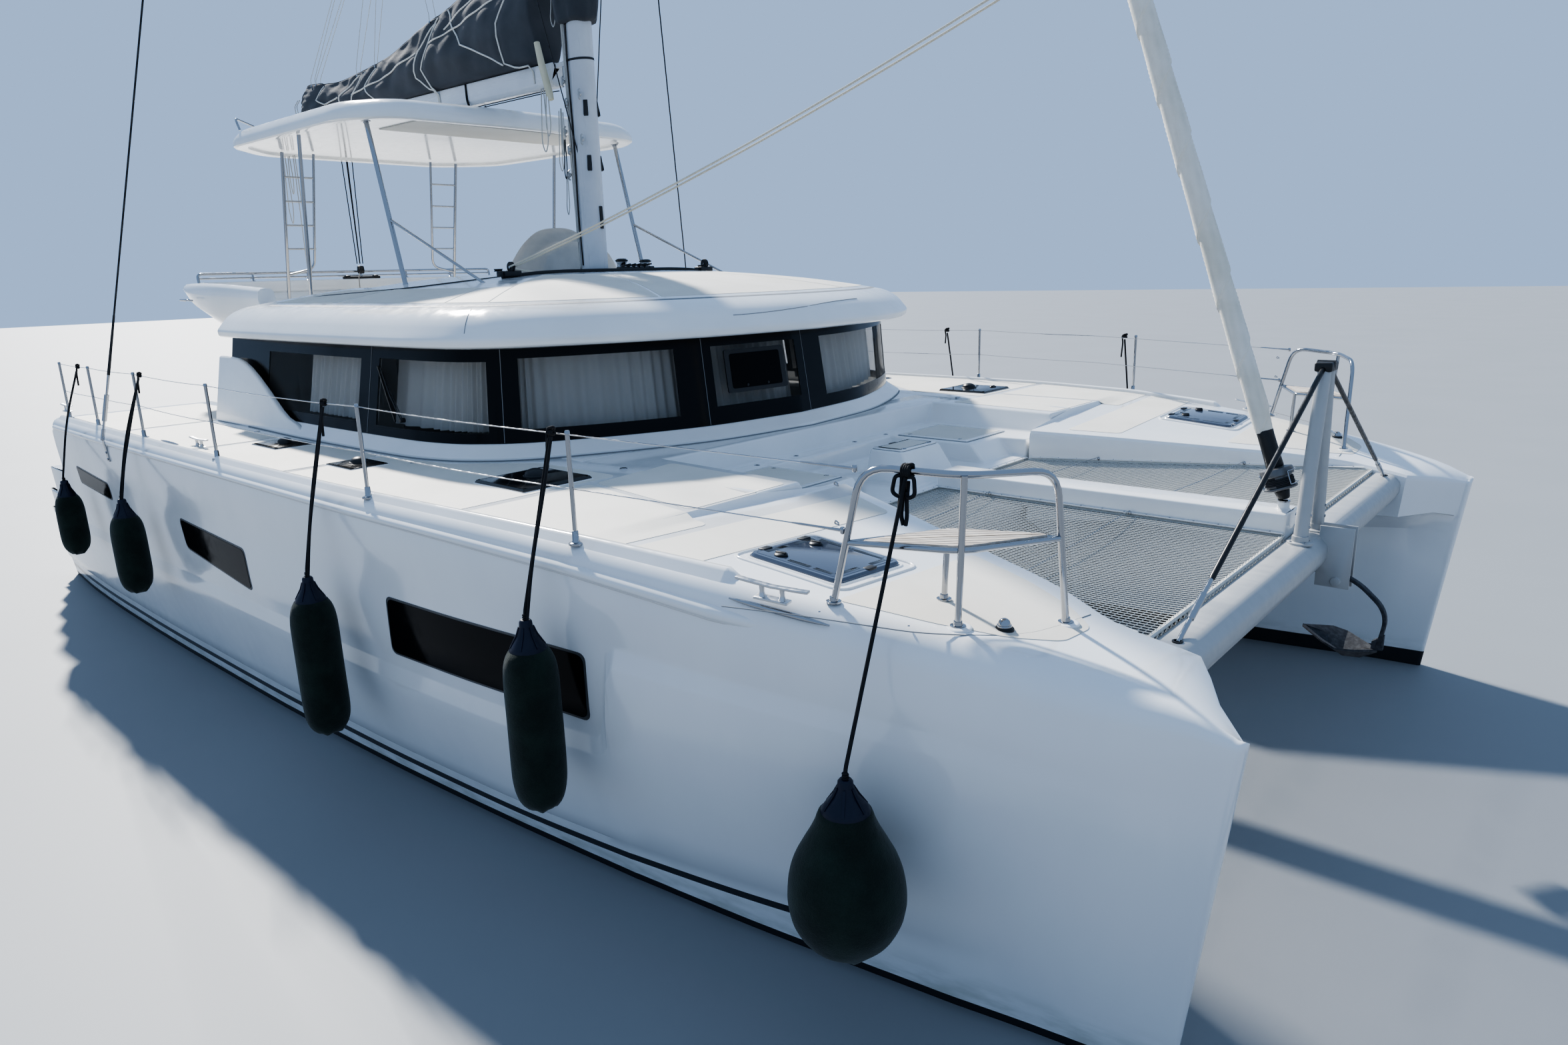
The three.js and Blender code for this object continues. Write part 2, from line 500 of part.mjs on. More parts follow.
// Cabin: the port half of each level's plan, from the bow's end of the curve to the aft wall.
// Columns: base x, y; sill x, y; head x, y; visor edge x, y; roof crease x, y
const CABIN_PLAN = [
  [2350, 0, 2220, 0, 2100, 0, 2450, 0, 2150, 0],
  [2240, 940, 2110, 920, 2000, 900, 2340, 950, 2050, 900],
  [2010, 1650, 1890, 1600, 1800, 1560, 2110, 1700, 1850, 1600],
  [1560, 2510, 1450, 2420, 1410, 2370, 1640, 2540, 1420, 2360],
  [1320, 2730, 1220, 2620, 1200, 2560, 1420, 2740, 1220, 2530],
  [1020, 2880, 950, 2760, 930, 2670, 1100, 2870, 950, 2630],
  [500, 2970, 470, 2840, 460, 2710, 550, 2935, 500, 2680],
  [-1000, 3000, -1000, 2870, -1000, 2720, -1000, 2950, -1000, 2690],
  [-2200, 2960, -2200, 2840, -2200, 2695, -2200, 2925, -2200, 2650],
  [BULKHEAD_X + GAP, 2930, BULKHEAD_X + GAP, 2800, BULKHEAD_X + GAP, 2665, -3080, 2860, -3000, 2590],
];
const SILL_Z = 2310;
// A wall that follows the plan from the starboard end round the front to the port end
function bandWall(lower, upper, depth, zLow, zHigh) {
  const half = CABIN_PLAN.map((row) => {
    const low = [row[lower], row[lower + 1]];
    const high = [row[upper], row[upper + 1]];
    const [lowIn, highIn] = [insetPoint(row, lower, depth), insetPoint(row, upper, depth)];
    return [[...low, zLow], [...high, zHigh], [...highIn, zHigh], [...lowIn, zLow]];
  });
  const other = half.slice(1).reverse().map((ring) => ring.map(([x, y, z]) => [x, -y, z]));
  return loft([...other, ...half]);
}
// A plan point moved inward, square to the plan's curve there
function insetPoint(row, column, depth) {
  const i = CABIN_PLAN.indexOf(row);
  const at = (k) => {
    if (k < 0) return [CABIN_PLAN[1][column], -CABIN_PLAN[1][column + 1]];
    const one = CABIN_PLAN[Math.min(k, CABIN_PLAN.length - 1)];
    return [one[column], one[column + 1]];
  };
  const [before, after] = [at(i - 1), at(i + 1)];
  const run = [after[0] - before[0], after[1] - before[1]];
  const length = Math.hypot(...run);
  const lastRow = i === CABIN_PLAN.length - 1;
  const dx = lastRow ? 0 : (-run[1] / length) * depth;
  const dy = lastRow ? -depth : (run[0] / length) * depth;
  return [row[column] + dx, row[column + 1] + dy];
}
const coaming = bandWall(0, 2, 45, DECK_Z + GAP, SILL_Z);
const PILLARS = [[1, 70], [3, 90], [5, 90], [7, 90], [8, 90]];   // plan row, distance behind the glass
const pillars = PILLARS.flatMap(([row, depth]) => {
  const low = insetPoint(CABIN_PLAN[row], 2, 52);
  const high = insetPoint(CABIN_PLAN[row], 4, depth);
  return [1, -1].map((side) => rod([low[0], side * low[1], SILL_Z - 70], [high[0], side * high[1], ROOF_UNDER_Z + 20], 26, 6));
});
const aboveHead = box([-4000, 3000], [-3500, 3500], [ROOF_UNDER_Z - GAP, ROOF_UNDER_Z + 200]);
const sillBoard = bandWall(2, 2, 90, SILL_Z - 60, SILL_Z - 1);
const quarter = prism('y', [
  [BULKHEAD_X + GAP, DECK_Z + GAP], [-1250, DECK_Z + GAP], [-1420, SILL_Z - 10], [-1750, 2400], [-2100, 2580], [-2500, 2760],
  [-2750, 2830], [BULKHEAD_X + GAP, 2850],
], 2880, 2935);
const lean = new THREE.Matrix4().set(1, 0, 0, 0, 0, 1, -0.205, 0.205 * SILL_Z, 0, 0, 1, 0, 0, 0, 0, 1);
const quarterPort = solidOf(geometryOf(quarter).applyMatrix4(lean));
place('cabin_walls', GELCOAT, cut(join(coaming, sillBoard, ...pillars, quarterPort, mirrored(quarterPort)), aboveHead));
place('cabin_glazing', GLAZING, bandWall(2, 4, 12, SILL_Z + GAP, ROOF_UNDER_Z - GAP));

// Roof with its visor; each ring is a whole plan outline at one height
const roofCentre = [-900, 0];
function roofRing(column, z, scale = 1) {
  const half = CABIN_PLAN.map((row) => [row[column], row[column + 1]]);
  const whole = [...half, ...half.slice(1).reverse().map(([x, y]) => [x, -y])];
  return whole.map(([x, y]) => [roofCentre[0] + (x - roofCentre[0]) * scale, y * scale, z]);
}
const roofTop = loft([
  roofRing(4, ROOF_UNDER_Z), roofRing(6, 3075, 0.995), roofRing(6, 3110), roofRing(8, 3335), roofRing(8, 3470, 0.74),
  roofRing(8, 3560, 0.46), roofRing(8, ROOF_TOP_Z, 0.3),
]);
const FLY_WELL = { x: [-3200, -1900], halfY: 1750 };
place('cabin_roof', GELCOAT, cut(roofTop, box(FLY_WELL.x, [-FLY_WELL.halfY, FLY_WELL.halfY], [FLY.floor, 3700])));

// Flybridge deck over the cockpit, with its side wings. Columns: x, underside z, rim z, half-breadth
const FLY_SECTIONS = [
  [-3090, 3080, 3520, 2420], [-4300, 3040, 3580, 2440], [-4800, 3130, 3590, 2420], [-5350, 3330, 3590, 2340], [FLY.aft, 3440, 3590, 2200],
];
const flyDeck = loft(FLY_SECTIONS.map(([x, under, rim, half]) => {
  const tall = rim - under;
  const floor = Math.max(FLY.floor, under + 60);
  return [
    [x, -(half - 330), under], [x, half - 330, under], [x, half - 40, under + 0.35 * tall], [x, half, under + 0.75 * tall],
    [x, half - 60, rim], [x, half - 160, rim], [x, half - 190, floor], [x, -(half - 190), floor], [x, -(half - 160), rim],
    [x, -(half - 60), rim], [x, -half, under + 0.75 * tall], [x, -(half - 40), under + 0.35 * tall],
  ];
}));
const flyTail = box([FLY.aft, FLY.aft + 150], [-2040, 2040], [3450, 3600]);
const flyRail = join(
  pipe([[FLY.aft + 35, -2050, 3590], [FLY.aft + 20, -2050, 3700], [FLY.aft + 20, 2050, 3700], [FLY.aft + 35, 2050, 3590]], TUBE, 8, 80),
  ...[-700, 700].map((y) => rod([FLY.aft + 20, y, 3590], [FLY.aft + 20, y, 3700], TUBE - 3)),
);
place('fly_deck', GELCOAT, join(cut(flyDeck, roofTop.translate([-GAP, 0, 0])), flyTail, flyRail));

// Aft wall of the saloon and its sliding door
const DOOR = { z: [SOLE_Z + 25, 2940], halfY: 930, thick: 30 };
const bulkhead = prism('x', [
  [-wallY, SOLE_Z + GAP], [wallY, SOLE_Z + GAP], [wallY, DECK_Z + GAP], [2780, DECK_Z + GAP], [2640, ROOF_UNDER_Z - GAP],
  [-2640, ROOF_UNDER_Z - GAP], [-2780, DECK_Z + GAP], [-wallY, DECK_Z + GAP],
], BULKHEAD_X - 50, BULKHEAD_X);
const doorway = box([BULKHEAD_X - 80, BULKHEAD_X + 10], [-900, 900], DOOR.z);
const sideLight = box([BULKHEAD_X - 80, BULKHEAD_X + 10], [1120, 2050], [1950, 2850]);
const fixedLeaf = box([BULKHEAD_X - 30, BULKHEAD_X - 12], [-20, 905], [DOOR.z[0] - 5, DOOR.z[1] + 5]);
const lightPane = box([BULKHEAD_X - 30, BULKHEAD_X - 18], [1115, 2055], [1945, 2855]);
place('aft_bulkhead', GELCOAT, join(cut(bulkhead, doorway, sideLight, mirrored(sideLight)), fixedLeaf, lightPane, mirrored(lightPane)));
const doorAft = BULKHEAD_X - 50 - GAP;
const doorLeaf = box([doorAft - DOOR.thick, doorAft], [-DOOR.halfY, 40], [DOOR.z[0] + 5, DOOR.z[1] + 30]);
const doorHandle = box([doorAft - DOOR.thick - 35, doorAft - DOOR.thick + 5], [-880, -850], [1900, 2250]);
place('saloon_door', GLAZING, join(doorLeaf, doorHandle));

// Saloon and cockpit furniture: [x, y, z] spans
const saloonBlocks = [
  [[-1900, -600], [-2240, -1640], [SOLE_Z + GAP, 1960]],
  [[-600, 1200], [-2240, -1640], [SOLE_Z + GAP, 1960]],
  [[-700, 1500], [1500, 2240], [SOLE_Z + GAP, 1500]],
  [[1100, 1900], [-1700, 1560], [SOLE_Z + GAP, 1500]],
];
place('saloon_furniture', TEAK, join(...saloonBlocks.map((spans) => box(...spans))));
place('saloon_table', TEAK, join(
  box([-500, 700], [300, 1300], [1760, 1800]), rod([100, 800, SOLE_Z + GAP], [100, 800, 1770], 60, 10),
));
place('cockpit_table', TEAK, join(
  box([-4850, -3950], [-500, 900], [1740, 1785]), rod([-4400, 200, SOLE_Z + GAP], [-4400, 200, 1750], 60, 10),
));

// Covered helm and seat on the flybridge
const coverRing = (x, low, high, half) => [
  [x, 900 - half, low], [x, 900 + half, low], [x, 900 + 0.92 * half, high - 120], [x, 900 + 0.55 * half, high],
  [x, 900 - 0.55 * half, high], [x, 900 - 0.92 * half, high - 120],
];
const flyFloor = FLY.floor + GAP;
place('helm_cover', COVER_CLOTH, loft([
  coverRing(-3060, flyFloor, 3720, 520), coverRing(-2800, flyFloor, 3860, 600), coverRing(-2450, flyFloor, 4110, 620),
  coverRing(-2250, flyFloor, 4080, 610), coverRing(-2120, flyFloor, 3950, 600), coverRing(-1920, flyFloor, 3940, 590),
]));

// Hardtop over the flybridge and the frame that carries it
const hardtopPlan = (({ front, aft, halfY }) => outline([
  [front - 120, -halfY + 300, 260], [front, 0, 600], [front - 120, halfY - 300, 260], [front - 620, halfY, 260],
  [aft + 600, halfY - 60, 380], [aft, halfY - 640, 380], [aft, -halfY + 640, 380], [aft + 600, -halfY + 60, 380],
  [front - 620, -halfY, 260],
]).getPoints(3).slice(0, -1))(HARDTOP);
const hardtopMid = (HARDTOP.front + HARDTOP.aft) / 2;
const hardtopRing = (scale, z) => hardtopPlan.map((p) => [hardtopMid + (p.x - hardtopMid) * scale, p.y * scale, z]);
const [topLow, topHigh] = HARDTOP.z;
place('hardtop', GELCOAT, loft([
  hardtopRing(0.95, topLow), hardtopRing(1, topLow + 30), hardtopRing(1, topHigh - 90), hardtopRing(0.91, topHigh),
]));
const POST = { r: 24, top: HARDTOP.z[0] - GAP };
const aboveDeck = [roofTop, flyDeck].map((deck) => deck.translate([0, 0, GAP]));
const underTop = box([HARDTOP.aft - 100, HARDTOP.front + 100], [-2000, 2000], [POST.top, POST.top + 200]);
const frontPost = cut(join(
  rod([-1560, 1590, 3450], [-1987, 1580, POST.top + 10], POST.r), rod([-1738, 1587, 4150], [-130, 1600, 3500], 14),
), ...aboveDeck, underTop);
placePair('front_post', STAINLESS, frontPost);
const LADDER = { top: -4870, foot: -5200, rungs: [3980, 4260, 4540, 4820] };
const ladderX = (z) => LADDER.foot + ((LADDER.top - LADDER.foot) * (z - 3600)) / (POST.top - 3600);
const ladderPoint = (y, z) => [ladderX(z), y, z];
const ladder = cut(join(
  rod(ladderPoint(1170, FLY.floor + 25), ladderPoint(1170, POST.top + 10), 20),
  pipe([ladderPoint(1170, 3660), ladderPoint(830, 3740), ladderPoint(790, POST.top + 10)], 16, 8, 90),
  ...LADDER.rungs.map((z) => rod(ladderPoint(805, z), ladderPoint(1170, z), 12, 6)),
), ...aboveDeck, underTop);
const midPost = cut(rod([-3550, 1660, FLY.floor - 20], [-3300, 1660, POST.top + 10], 20), ...aboveDeck, underTop);
placePair('ladder', STAINLESS, ladder);
placePair('mid_post', STAINLESS, midPost);

// Mast with spreaders, hounds tangs and the gooseneck bracket
const mastRing = (z, scale) => Array.from({ length: 16 }, (_, k) => {
  const angle = (2 * Math.PI * (k + 0.5)) / 16;
  return [MAST.x + MAST.a * scale * Math.cos(angle), MAST.b * scale * Math.sin(angle), z];
});
const SPREADER = { z: 12400, reach: 1650, sweep: 520 };
const mastTube = loft([mastRing(MAST.foot + GAP, 1), mastRing(MAST.hounds - 300, 1), mastRing(MAST.head, 0.72)]);
const SPREADER_RINGS = [[0, 0, 45, 20], [SPREADER.sweep, SPREADER.reach, 25, 12]];   // back, out, half chord, half height
const spreaders = [-1, 1].map((side) => loft(SPREADER_RINGS.map(([back, out, half, thick]) => [
  [MAST.x + 40 - back + half, side * (40 + out), SPREADER.z + out * 0.02 - thick],
  [MAST.x + 40 - back + half, side * (40 + out), SPREADER.z + out * 0.02 + thick],
  [MAST.x - 100 - back - half, side * (40 + out), SPREADER.z + out * 0.02 + thick],
  [MAST.x - 100 - back - half, side * (40 + out), SPREADER.z + out * 0.02 - thick],
])));
const tipX = MAST.x - 30 - SPREADER.sweep;
const diamonds = [-1, 1].map((side) => pipe([
  [MAST.x, side * (MAST.b - 8), 4750], [tipX, side * (SPREADER.reach + 20), SPREADER.z + 33], [MAST.x, side * 90, MAST.hounds - 250],
], 6, 6));
const gooseneck = join(
  box([BOOM.pivotX, MAST.x - 150], [-20, 20], [5500, 5620]), rod([BOOM.pivotX, 0, 5500], [BOOM.pivotX, 0, 5620], 34, 12),
);
const masthead = join(
  box([MAST.x - 330, MAST.x + 230], [-45, 45], [MAST.head - 20, MAST.head + 60]),
  rod([MAST.x, 0, MAST.head], [MAST.x, 0, MAST.head + 500], 8, 6),
);
const stayTop = join(
  box([MAST.x + 100, -390], [-12, 12], [MAST.hounds - 70, MAST.hounds + 70]),
  rod(STAY.head, STAY.head.map((value, k) => value + ((STAY.foot[k] - value) * (420 - GAP)) / stayLength), 9, 6),
);
place('mast', SPAR, join(mastTube, ...spreaders, ...diamonds, gooseneck, masthead, stayTop));

// Shrouds from the topsides to the hounds, with their chainplates and screws
const SHROUD = { foot: [-3240, 3990, 2150], head: [MAST.x - 60, MAST.b + 6, MAST.hounds] };
const upShroud = (t) => SHROUD.foot.map((value, k) => value + (SHROUD.head[k] - value) * t);
const chainplate = cut(box([-3265, -3215], [3950, 3994], [1900, 2180]), portHull.translate([0, GAP, 0]));
placePair('shroud', BLACK_LINE, join(
  rod(SHROUD.foot, upShroud(0.999), 9, 6), rod(upShroud(0.004), upShroud(0.032), 17, 8), chainplate,
));

// Boom, swinging on the gooseneck
const boomTube = prism('x', [
  [-BOOM.halfY, BOOM.z[0] + 40, 20], [-50, BOOM.z[0], 20], [50, BOOM.z[0], 20], [BOOM.halfY, BOOM.z[0] + 40, 20],
  [BOOM.halfY, BOOM.z[1], 20], [-BOOM.halfY, BOOM.z[1], 20],
], BOOM.end, BOOM.pivotX - 130, 2);
const EARS = [[5450, 5500 - GAP], [5620 + GAP, 5665]];
const fork = EARS.flatMap((span) => [
  rod([BOOM.pivotX, 0, span[0]], [BOOM.pivotX, 0, span[1]], 34, 12), box([BOOM.pivotX - 160, BOOM.pivotX], [-24, 24], span),
]);
place('boom', SPAR, join(boomTube, ...fork));

// Sail bag on the boom, and the part of it that wraps the mast. Columns: x, bottom z, top z, half width
const bagBottom = BOOM.z[1] + GAP;
const BAG_SECTIONS = [
  [-6560, bagBottom, 6100, 110], [-6300, bagBottom, 6190, 150], [-4700, bagBottom, 6170, 175], [-3900, bagBottom, 6300, 200],
  [-3200, bagBottom, 6450, 225], [-2600, bagBottom, 6560, 245], [-1700, bagBottom, 6780, 250], [-1060, bagBottom, 7000, 220],
];
place('sail_bag', BAG_CLOTH, loft(BAG_SECTIONS.map(([x, low, high, half]) => {
  const tall = high - low;
  return [
    [x, -0.55 * half, low], [x, 0.55 * half, low], [x, half, low + 0.3 * tall], [x, 0.75 * half, low + 0.7 * tall],
    [x, 0.2 * half, high], [x, -0.2 * half, high], [x, -0.75 * half, low + 0.7 * tall], [x, -half, low + 0.3 * tall],
  ];
})));
const wrapOuter = (z, scale) => mastRing(z, 1).map(([x, y]) => [MAST.x - 20 + (x - MAST.x) * 1.75 * scale, y * 1.65 * scale, z]);
const wrapInner = (z) => mastRing(z, 1.004);
place('sail_bag_front', BAG_CLOTH, cut(
  loft([wrapOuter(5960, 0.85), wrapOuter(6200, 1), wrapOuter(6700, 0.95), wrapOuter(6980, 0.75)]),
  loft([wrapInner(5900), wrapInner(7100)]), box([-1200, -790], [-400, 400], [5000, 7200]),
));

// Mainsheet between its traveller and the boom
const SHEET_X = FLY.aft + 90;
place('mainsheet', BLACK_LINE, join(
  box([SHEET_X - 30, SHEET_X + 30], [-260, 260], [3600 + GAP, 3640]), rod([SHEET_X, 0, 3635], [SHEET_X, 0, 3760], 32, 8),
  ...[-22, 22].map((y) => rod([SHEET_X, y, 3740], [SHEET_X, y, 5200], 7, 6)),
  rod([SHEET_X, 0, 5180], [SHEET_X, 0, BOOM.z[0] - 5], 32, 8),
));

// Deck hatches, hinged along their aft edges. Columns: name, aft x, front x, inner y, outer y
const HATCH_THICK = 28;
const aboveSideDeck = portHull.translate([0, 0, GAP]);
const HATCHES = [['foredeck_hatch', 4520, 5130, 2660, 3230], ['side_hatch', 1990, 2570, 2660, 3230]];
for (const [name, aft, front, inner, outer] of HATCHES) {
  const corners = [[aft, inner], [front, inner], [front, outer], [aft, outer]];
  const ring = (lift) => corners.map(([x, y]) => [x, y, innerZAt(x, y) + lift]);
  placePair(name, ACRYLIC, cut(loft([ring(-15), ring(HATCH_THICK)]), aboveSideDeck));
}

// Fenders on their lanyards. Columns: name, side, x, fender y, top z, length, radius
const FENDERS = [
  ['fender_1', -1, 5600, 3800, 1440, 860, 265],
  ['fender_2', -1, 3640, 4010, 1800, 1120, 150],
  ['fender_3', -1, 1340, 4150, 1650, 1150, 150],
  ['fender_4', -1, -2400, 4150, 1700, 900, 140],
  ['fender_5', -1, -4300, 4130, 1650, 800, 130],
  ['fender_6', 1, 3640, 4010, 1800, 1120, 150],
  ['fender_7', 1, 1340, 4150, 1650, 1150, 150],
];
const LANYARD_R = 7;
// The point that a lanyard is tied to, and that line's radius
function tiePoint(x) {
  if (x > 5260) return [[x, 3337.6, 2703.7], TUBE + 1];
  const next = STANCHIONS.findIndex((row) => row[0] >= x);
  const [a, b] = [STANCHIONS[next - 1], STANCHIONS[next]].map(([sx, sy]) => [sx, sy, innerZAt(sx, sy) + GUARD.wires[0]]);
  return [a.map((value, k) => value + ((b[k] - value) * (x - a[0])) / (b[0] - a[0])), GUARD.wireR];
}
for (const [name, side, x, y, top, length, radius] of FENDERS) {
  const pear = [
    [0, 0], [0.45 * radius, 30], [0.85 * radius, 150], [radius, 300], [0.9 * radius, 460], [0.5 * radius, 660],
    [0.25 * radius, 760], [40, length], [0, length],
  ];
  const cylinder = [
    [0, 0], [0.5 * radius, 25], [0.9 * radius, 110], [radius, 220], [radius, length - 280], [0.8 * radius, length - 160],
    [40, length - 40], [30, length], [0, length],
  ];
  const body = turned(name === 'fender_1' ? pear : cylinder, [x, y, top - length], [x, y, top], 14);
  const [tie, tieRadius] = tiePoint(x);
  const overEdge = [x, y - 0.35 * (y - tie[1]) + 60, DECK_Z + 60];
  const away = new THREE.Vector3(...overEdge).sub(new THREE.Vector3(...tie)).setLength(tieRadius + 0.5).toArray();
  const rope = pipe([
    [x, y, top - 20], [x, Math.max(y - 60, x > 3000 ? 3860 : 3990), top + 330], overEdge, tie.map((value, k) => value + away[k]),
  ], LANYARD_R, 6);
  const solid = join(body, rope);
  place(name, FENDER_CLOTH, side > 0 ? solid : mirrored(solid));
}

export default boat;
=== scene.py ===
# Sailing catamaran afloat: its looks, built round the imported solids. Metres, +X forward, +Y to port, +Z up,
# with the water at z = 0.
from math import copysign, cos, dist, exp, hypot, pi, radians, sin, sqrt

import bmesh
import bpy
from mathutils import Matrix, Vector
from mathutils.bvhtree import BVHTree


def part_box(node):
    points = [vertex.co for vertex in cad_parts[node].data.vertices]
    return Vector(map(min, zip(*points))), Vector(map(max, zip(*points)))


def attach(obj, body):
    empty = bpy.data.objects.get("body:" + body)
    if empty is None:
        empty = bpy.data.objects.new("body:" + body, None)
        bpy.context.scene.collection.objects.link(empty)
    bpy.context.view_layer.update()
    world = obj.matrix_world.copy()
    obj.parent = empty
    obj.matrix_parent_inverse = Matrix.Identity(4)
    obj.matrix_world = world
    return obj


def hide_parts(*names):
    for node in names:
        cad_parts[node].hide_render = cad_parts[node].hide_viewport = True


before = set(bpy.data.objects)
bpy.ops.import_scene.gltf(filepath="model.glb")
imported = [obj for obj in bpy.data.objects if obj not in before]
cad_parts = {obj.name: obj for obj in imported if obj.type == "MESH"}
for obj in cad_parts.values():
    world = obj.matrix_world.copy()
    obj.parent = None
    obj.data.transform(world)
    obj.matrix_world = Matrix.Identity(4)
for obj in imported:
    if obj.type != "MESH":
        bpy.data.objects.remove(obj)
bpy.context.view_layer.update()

UP = Vector((0, 0, 1))

# View from off the starboard bow
# A wide lens 3.55 m above the water, turned down a little and not quite level.
EYE = Vector((7.945, -6.836, 3.55))
LENS_MM = 22.73
YAW, PITCH, ROLL = (radians(angle) for angle in (-41.14, -14.27, -1.6))
ahead = Vector((sin(YAW) * cos(PITCH), cos(YAW) * cos(PITCH), sin(PITCH)))
level = Vector((cos(YAW), -sin(YAW), 0))
above = level.cross(ahead)
right = cos(ROLL) * level + sin(ROLL) * above
upright = cos(ROLL) * above - sin(ROLL) * level
turn = Matrix((right, upright, -ahead)).transposed().to_euler()
bpy.ops.object.camera_add(location=EYE, rotation=turn)
camera = bpy.context.object
camera.data.lens = LENS_MM
camera.data.sensor_width = 36
camera.data.clip_end = 400
bpy.context.scene.camera = camera

# Light and floor
# A low soft key from astern and to port, as the sun stood, a pale sky all round, and a pale floor at the
# waterline.
KEY_FROM = Vector((-0.74, 0.26, 0.62))
bpy.ops.object.light_add(type="SUN", rotation=KEY_FROM.to_track_quat("Z", "Y").to_euler())
key = bpy.context.object
key.data.energy = 5.4
key.data.angle = radians(3)
key.data.color = (1.0, 0.965, 0.91)
world = bpy.data.worlds.new("sky")
bpy.context.scene.world = world
world.use_nodes = True
sky = world.node_tree.nodes["Background"]
sky.inputs["Color"].default_value = (0.50, 0.69, 1.0, 1)
sky.inputs["Strength"].default_value = 0.58
bpy.context.scene.view_settings.view_transform = "AgX"
bpy.context.scene.view_settings.look = "AgX - High Contrast"
bpy.context.scene.view_settings.exposure = 0.15


class Wire:
    """One output in a material's nodes. Sums, products and comparisons of wires add Math nodes."""

    def __init__(self, finish, socket):
        self.finish = finish
        self.socket = socket

    def math(self, operation, *values):
        return self.finish.node("ShaderNodeMath", {"operation": operation}, dict(enumerate(values)))

    def __add__(self, other):
        return self.math("ADD", self, other)

    def __sub__(self, other):
        return self.math("SUBTRACT", self, other)

    def __rsub__(self, other):
        return self.math("SUBTRACT", other, self)

    def __mul__(self, other):
        return self.math("MULTIPLY", self, other)

    def __gt__(self, other):
        return self.math("GREATER_THAN", self, other)

    def __lt__(self, other):
        return self.math("LESS_THAN", self, other)

    __radd__ = __add__
    __rmul__ = __mul__


class Finish:
    """A Principled material under construction."""

    def __init__(self, name, colour, roughness=0.4, slot=None, **fixed):
        self.slot = slot
        self.material = bpy.data.materials.new(name)
        self.material.use_nodes = True
        self.tree = self.material.node_tree
        self.shader = self.tree.nodes["Principled BSDF"]
        self.set("Base Color", (*colour, 1))
        self.set("Roughness", roughness)
        for key_name, value in fixed.items():
            self.set(key_name.replace("_", " ").title().replace("Ior", "IOR"), value)

    def set(self, socket, value):
        if isinstance(value, Wire):
            self.tree.links.new(value.socket, self.shader.inputs[socket])
        else:
            self.shader.inputs[socket].default_value = value

    def node(self, kind, settings, sockets, output=0):
        made = self.tree.nodes.new(kind)
        for name, value in settings.items():
            if name == "stops":
                for stop, (place, grey) in zip(made.color_ramp.elements, value):
                    stop.position = place
                    stop.color = (grey, grey, grey, 1)
            else:
                setattr(made, name, value)
        for name, value in sockets.items():
            if isinstance(value, Wire):
                self.tree.links.new(value.socket, made.inputs[name])
            else:
                made.inputs[name].default_value = value
        return Wire(self, made.outputs[output])

    def place(self, scale=(1, 1, 1), turned=(0, 0, 0)):
        where = self.node("ShaderNodeTexCoord", {}, {}, "Object")
        return self.node("ShaderNodeMapping", {}, {"Vector": where, "Scale": scale, "Rotation": turned})

    def axis(self, letter):
        where = self.node("ShaderNodeTexCoord", {}, {}, "Object")
        return self.node("ShaderNodeSeparateXYZ", {}, {"Vector": where}, letter)

    def noise(self, scale, detail=3, stretch=(1, 1, 1), roughness=0.55):
        return self.node("ShaderNodeTexNoise", {}, {
            "Vector": self.place(stretch), "Scale": scale, "Detail": detail, "Roughness": roughness,
        })

    def between(self, value, low, high, to_low=0.0, to_high=1.0):
        return self.node("ShaderNodeMapRange", {"interpolation_type": "SMOOTHSTEP"}, {
            "Value": value, "From Min": low, "From Max": high, "To Min": to_low, "To Max": to_high,
        })

    def mix(self, share, first, second):
        first, second = ((*c, 1) if isinstance(c, tuple) else c for c in (first, second))
        return self.node("ShaderNodeMix", {"data_type": "RGBA"}, {0: share, 6: first, 7: second}, 2)

    def pattern(self, value):
        """A wire as it is, or the noise that a tuple describes."""
        return value if isinstance(value, Wire) else self.noise(*value)

    def tint(self, value, first, second, low=None, high=None):
        """Base colour between two colours, by a pattern's value or by where it lies between low and high."""
        share = self.pattern(value)
        if low is not None:
            share = self.between(share, low, high)
        self.set("Base Color", self.mix(share, first, second))

    def rough(self, value, low, high, smoothest, roughest):
        """Roughness that follows a pattern."""
        self.set("Roughness", self.between(self.pattern(value), low, high, smoothest, roughest))

    def bump(self, value, depth, strength=1.0):
        self.set("Normal", self.node("ShaderNodeBump", {}, {
            "Strength": strength, "Distance": depth, "Height": self.pattern(value),
        }))


floor_finish = Finish("pale_floor", (0.285, 0.298, 0.312), roughness=0.6)
floor_finish.tint((0.4, 4), (0.27, 0.283, 0.297), (0.30, 0.314, 0.33))
bpy.ops.mesh.primitive_plane_add(size=240, location=(0, 0, 0))
floor = bpy.context.object
floor.name = "floor"
floor.data.materials.append(floor_finish.material)


# Hulls
# Two slim hulls, each one moulding of white gelcoat over laminate with its side deck and stern steps. The
# topsides are pulled in above a ledge that carries the windows, a low chine and a dark line run along the
# water.
HULL_Y = 3.02
STEM_RAKE, STEM_FROM, BOW_X = 0.11, 5.8, 6.95
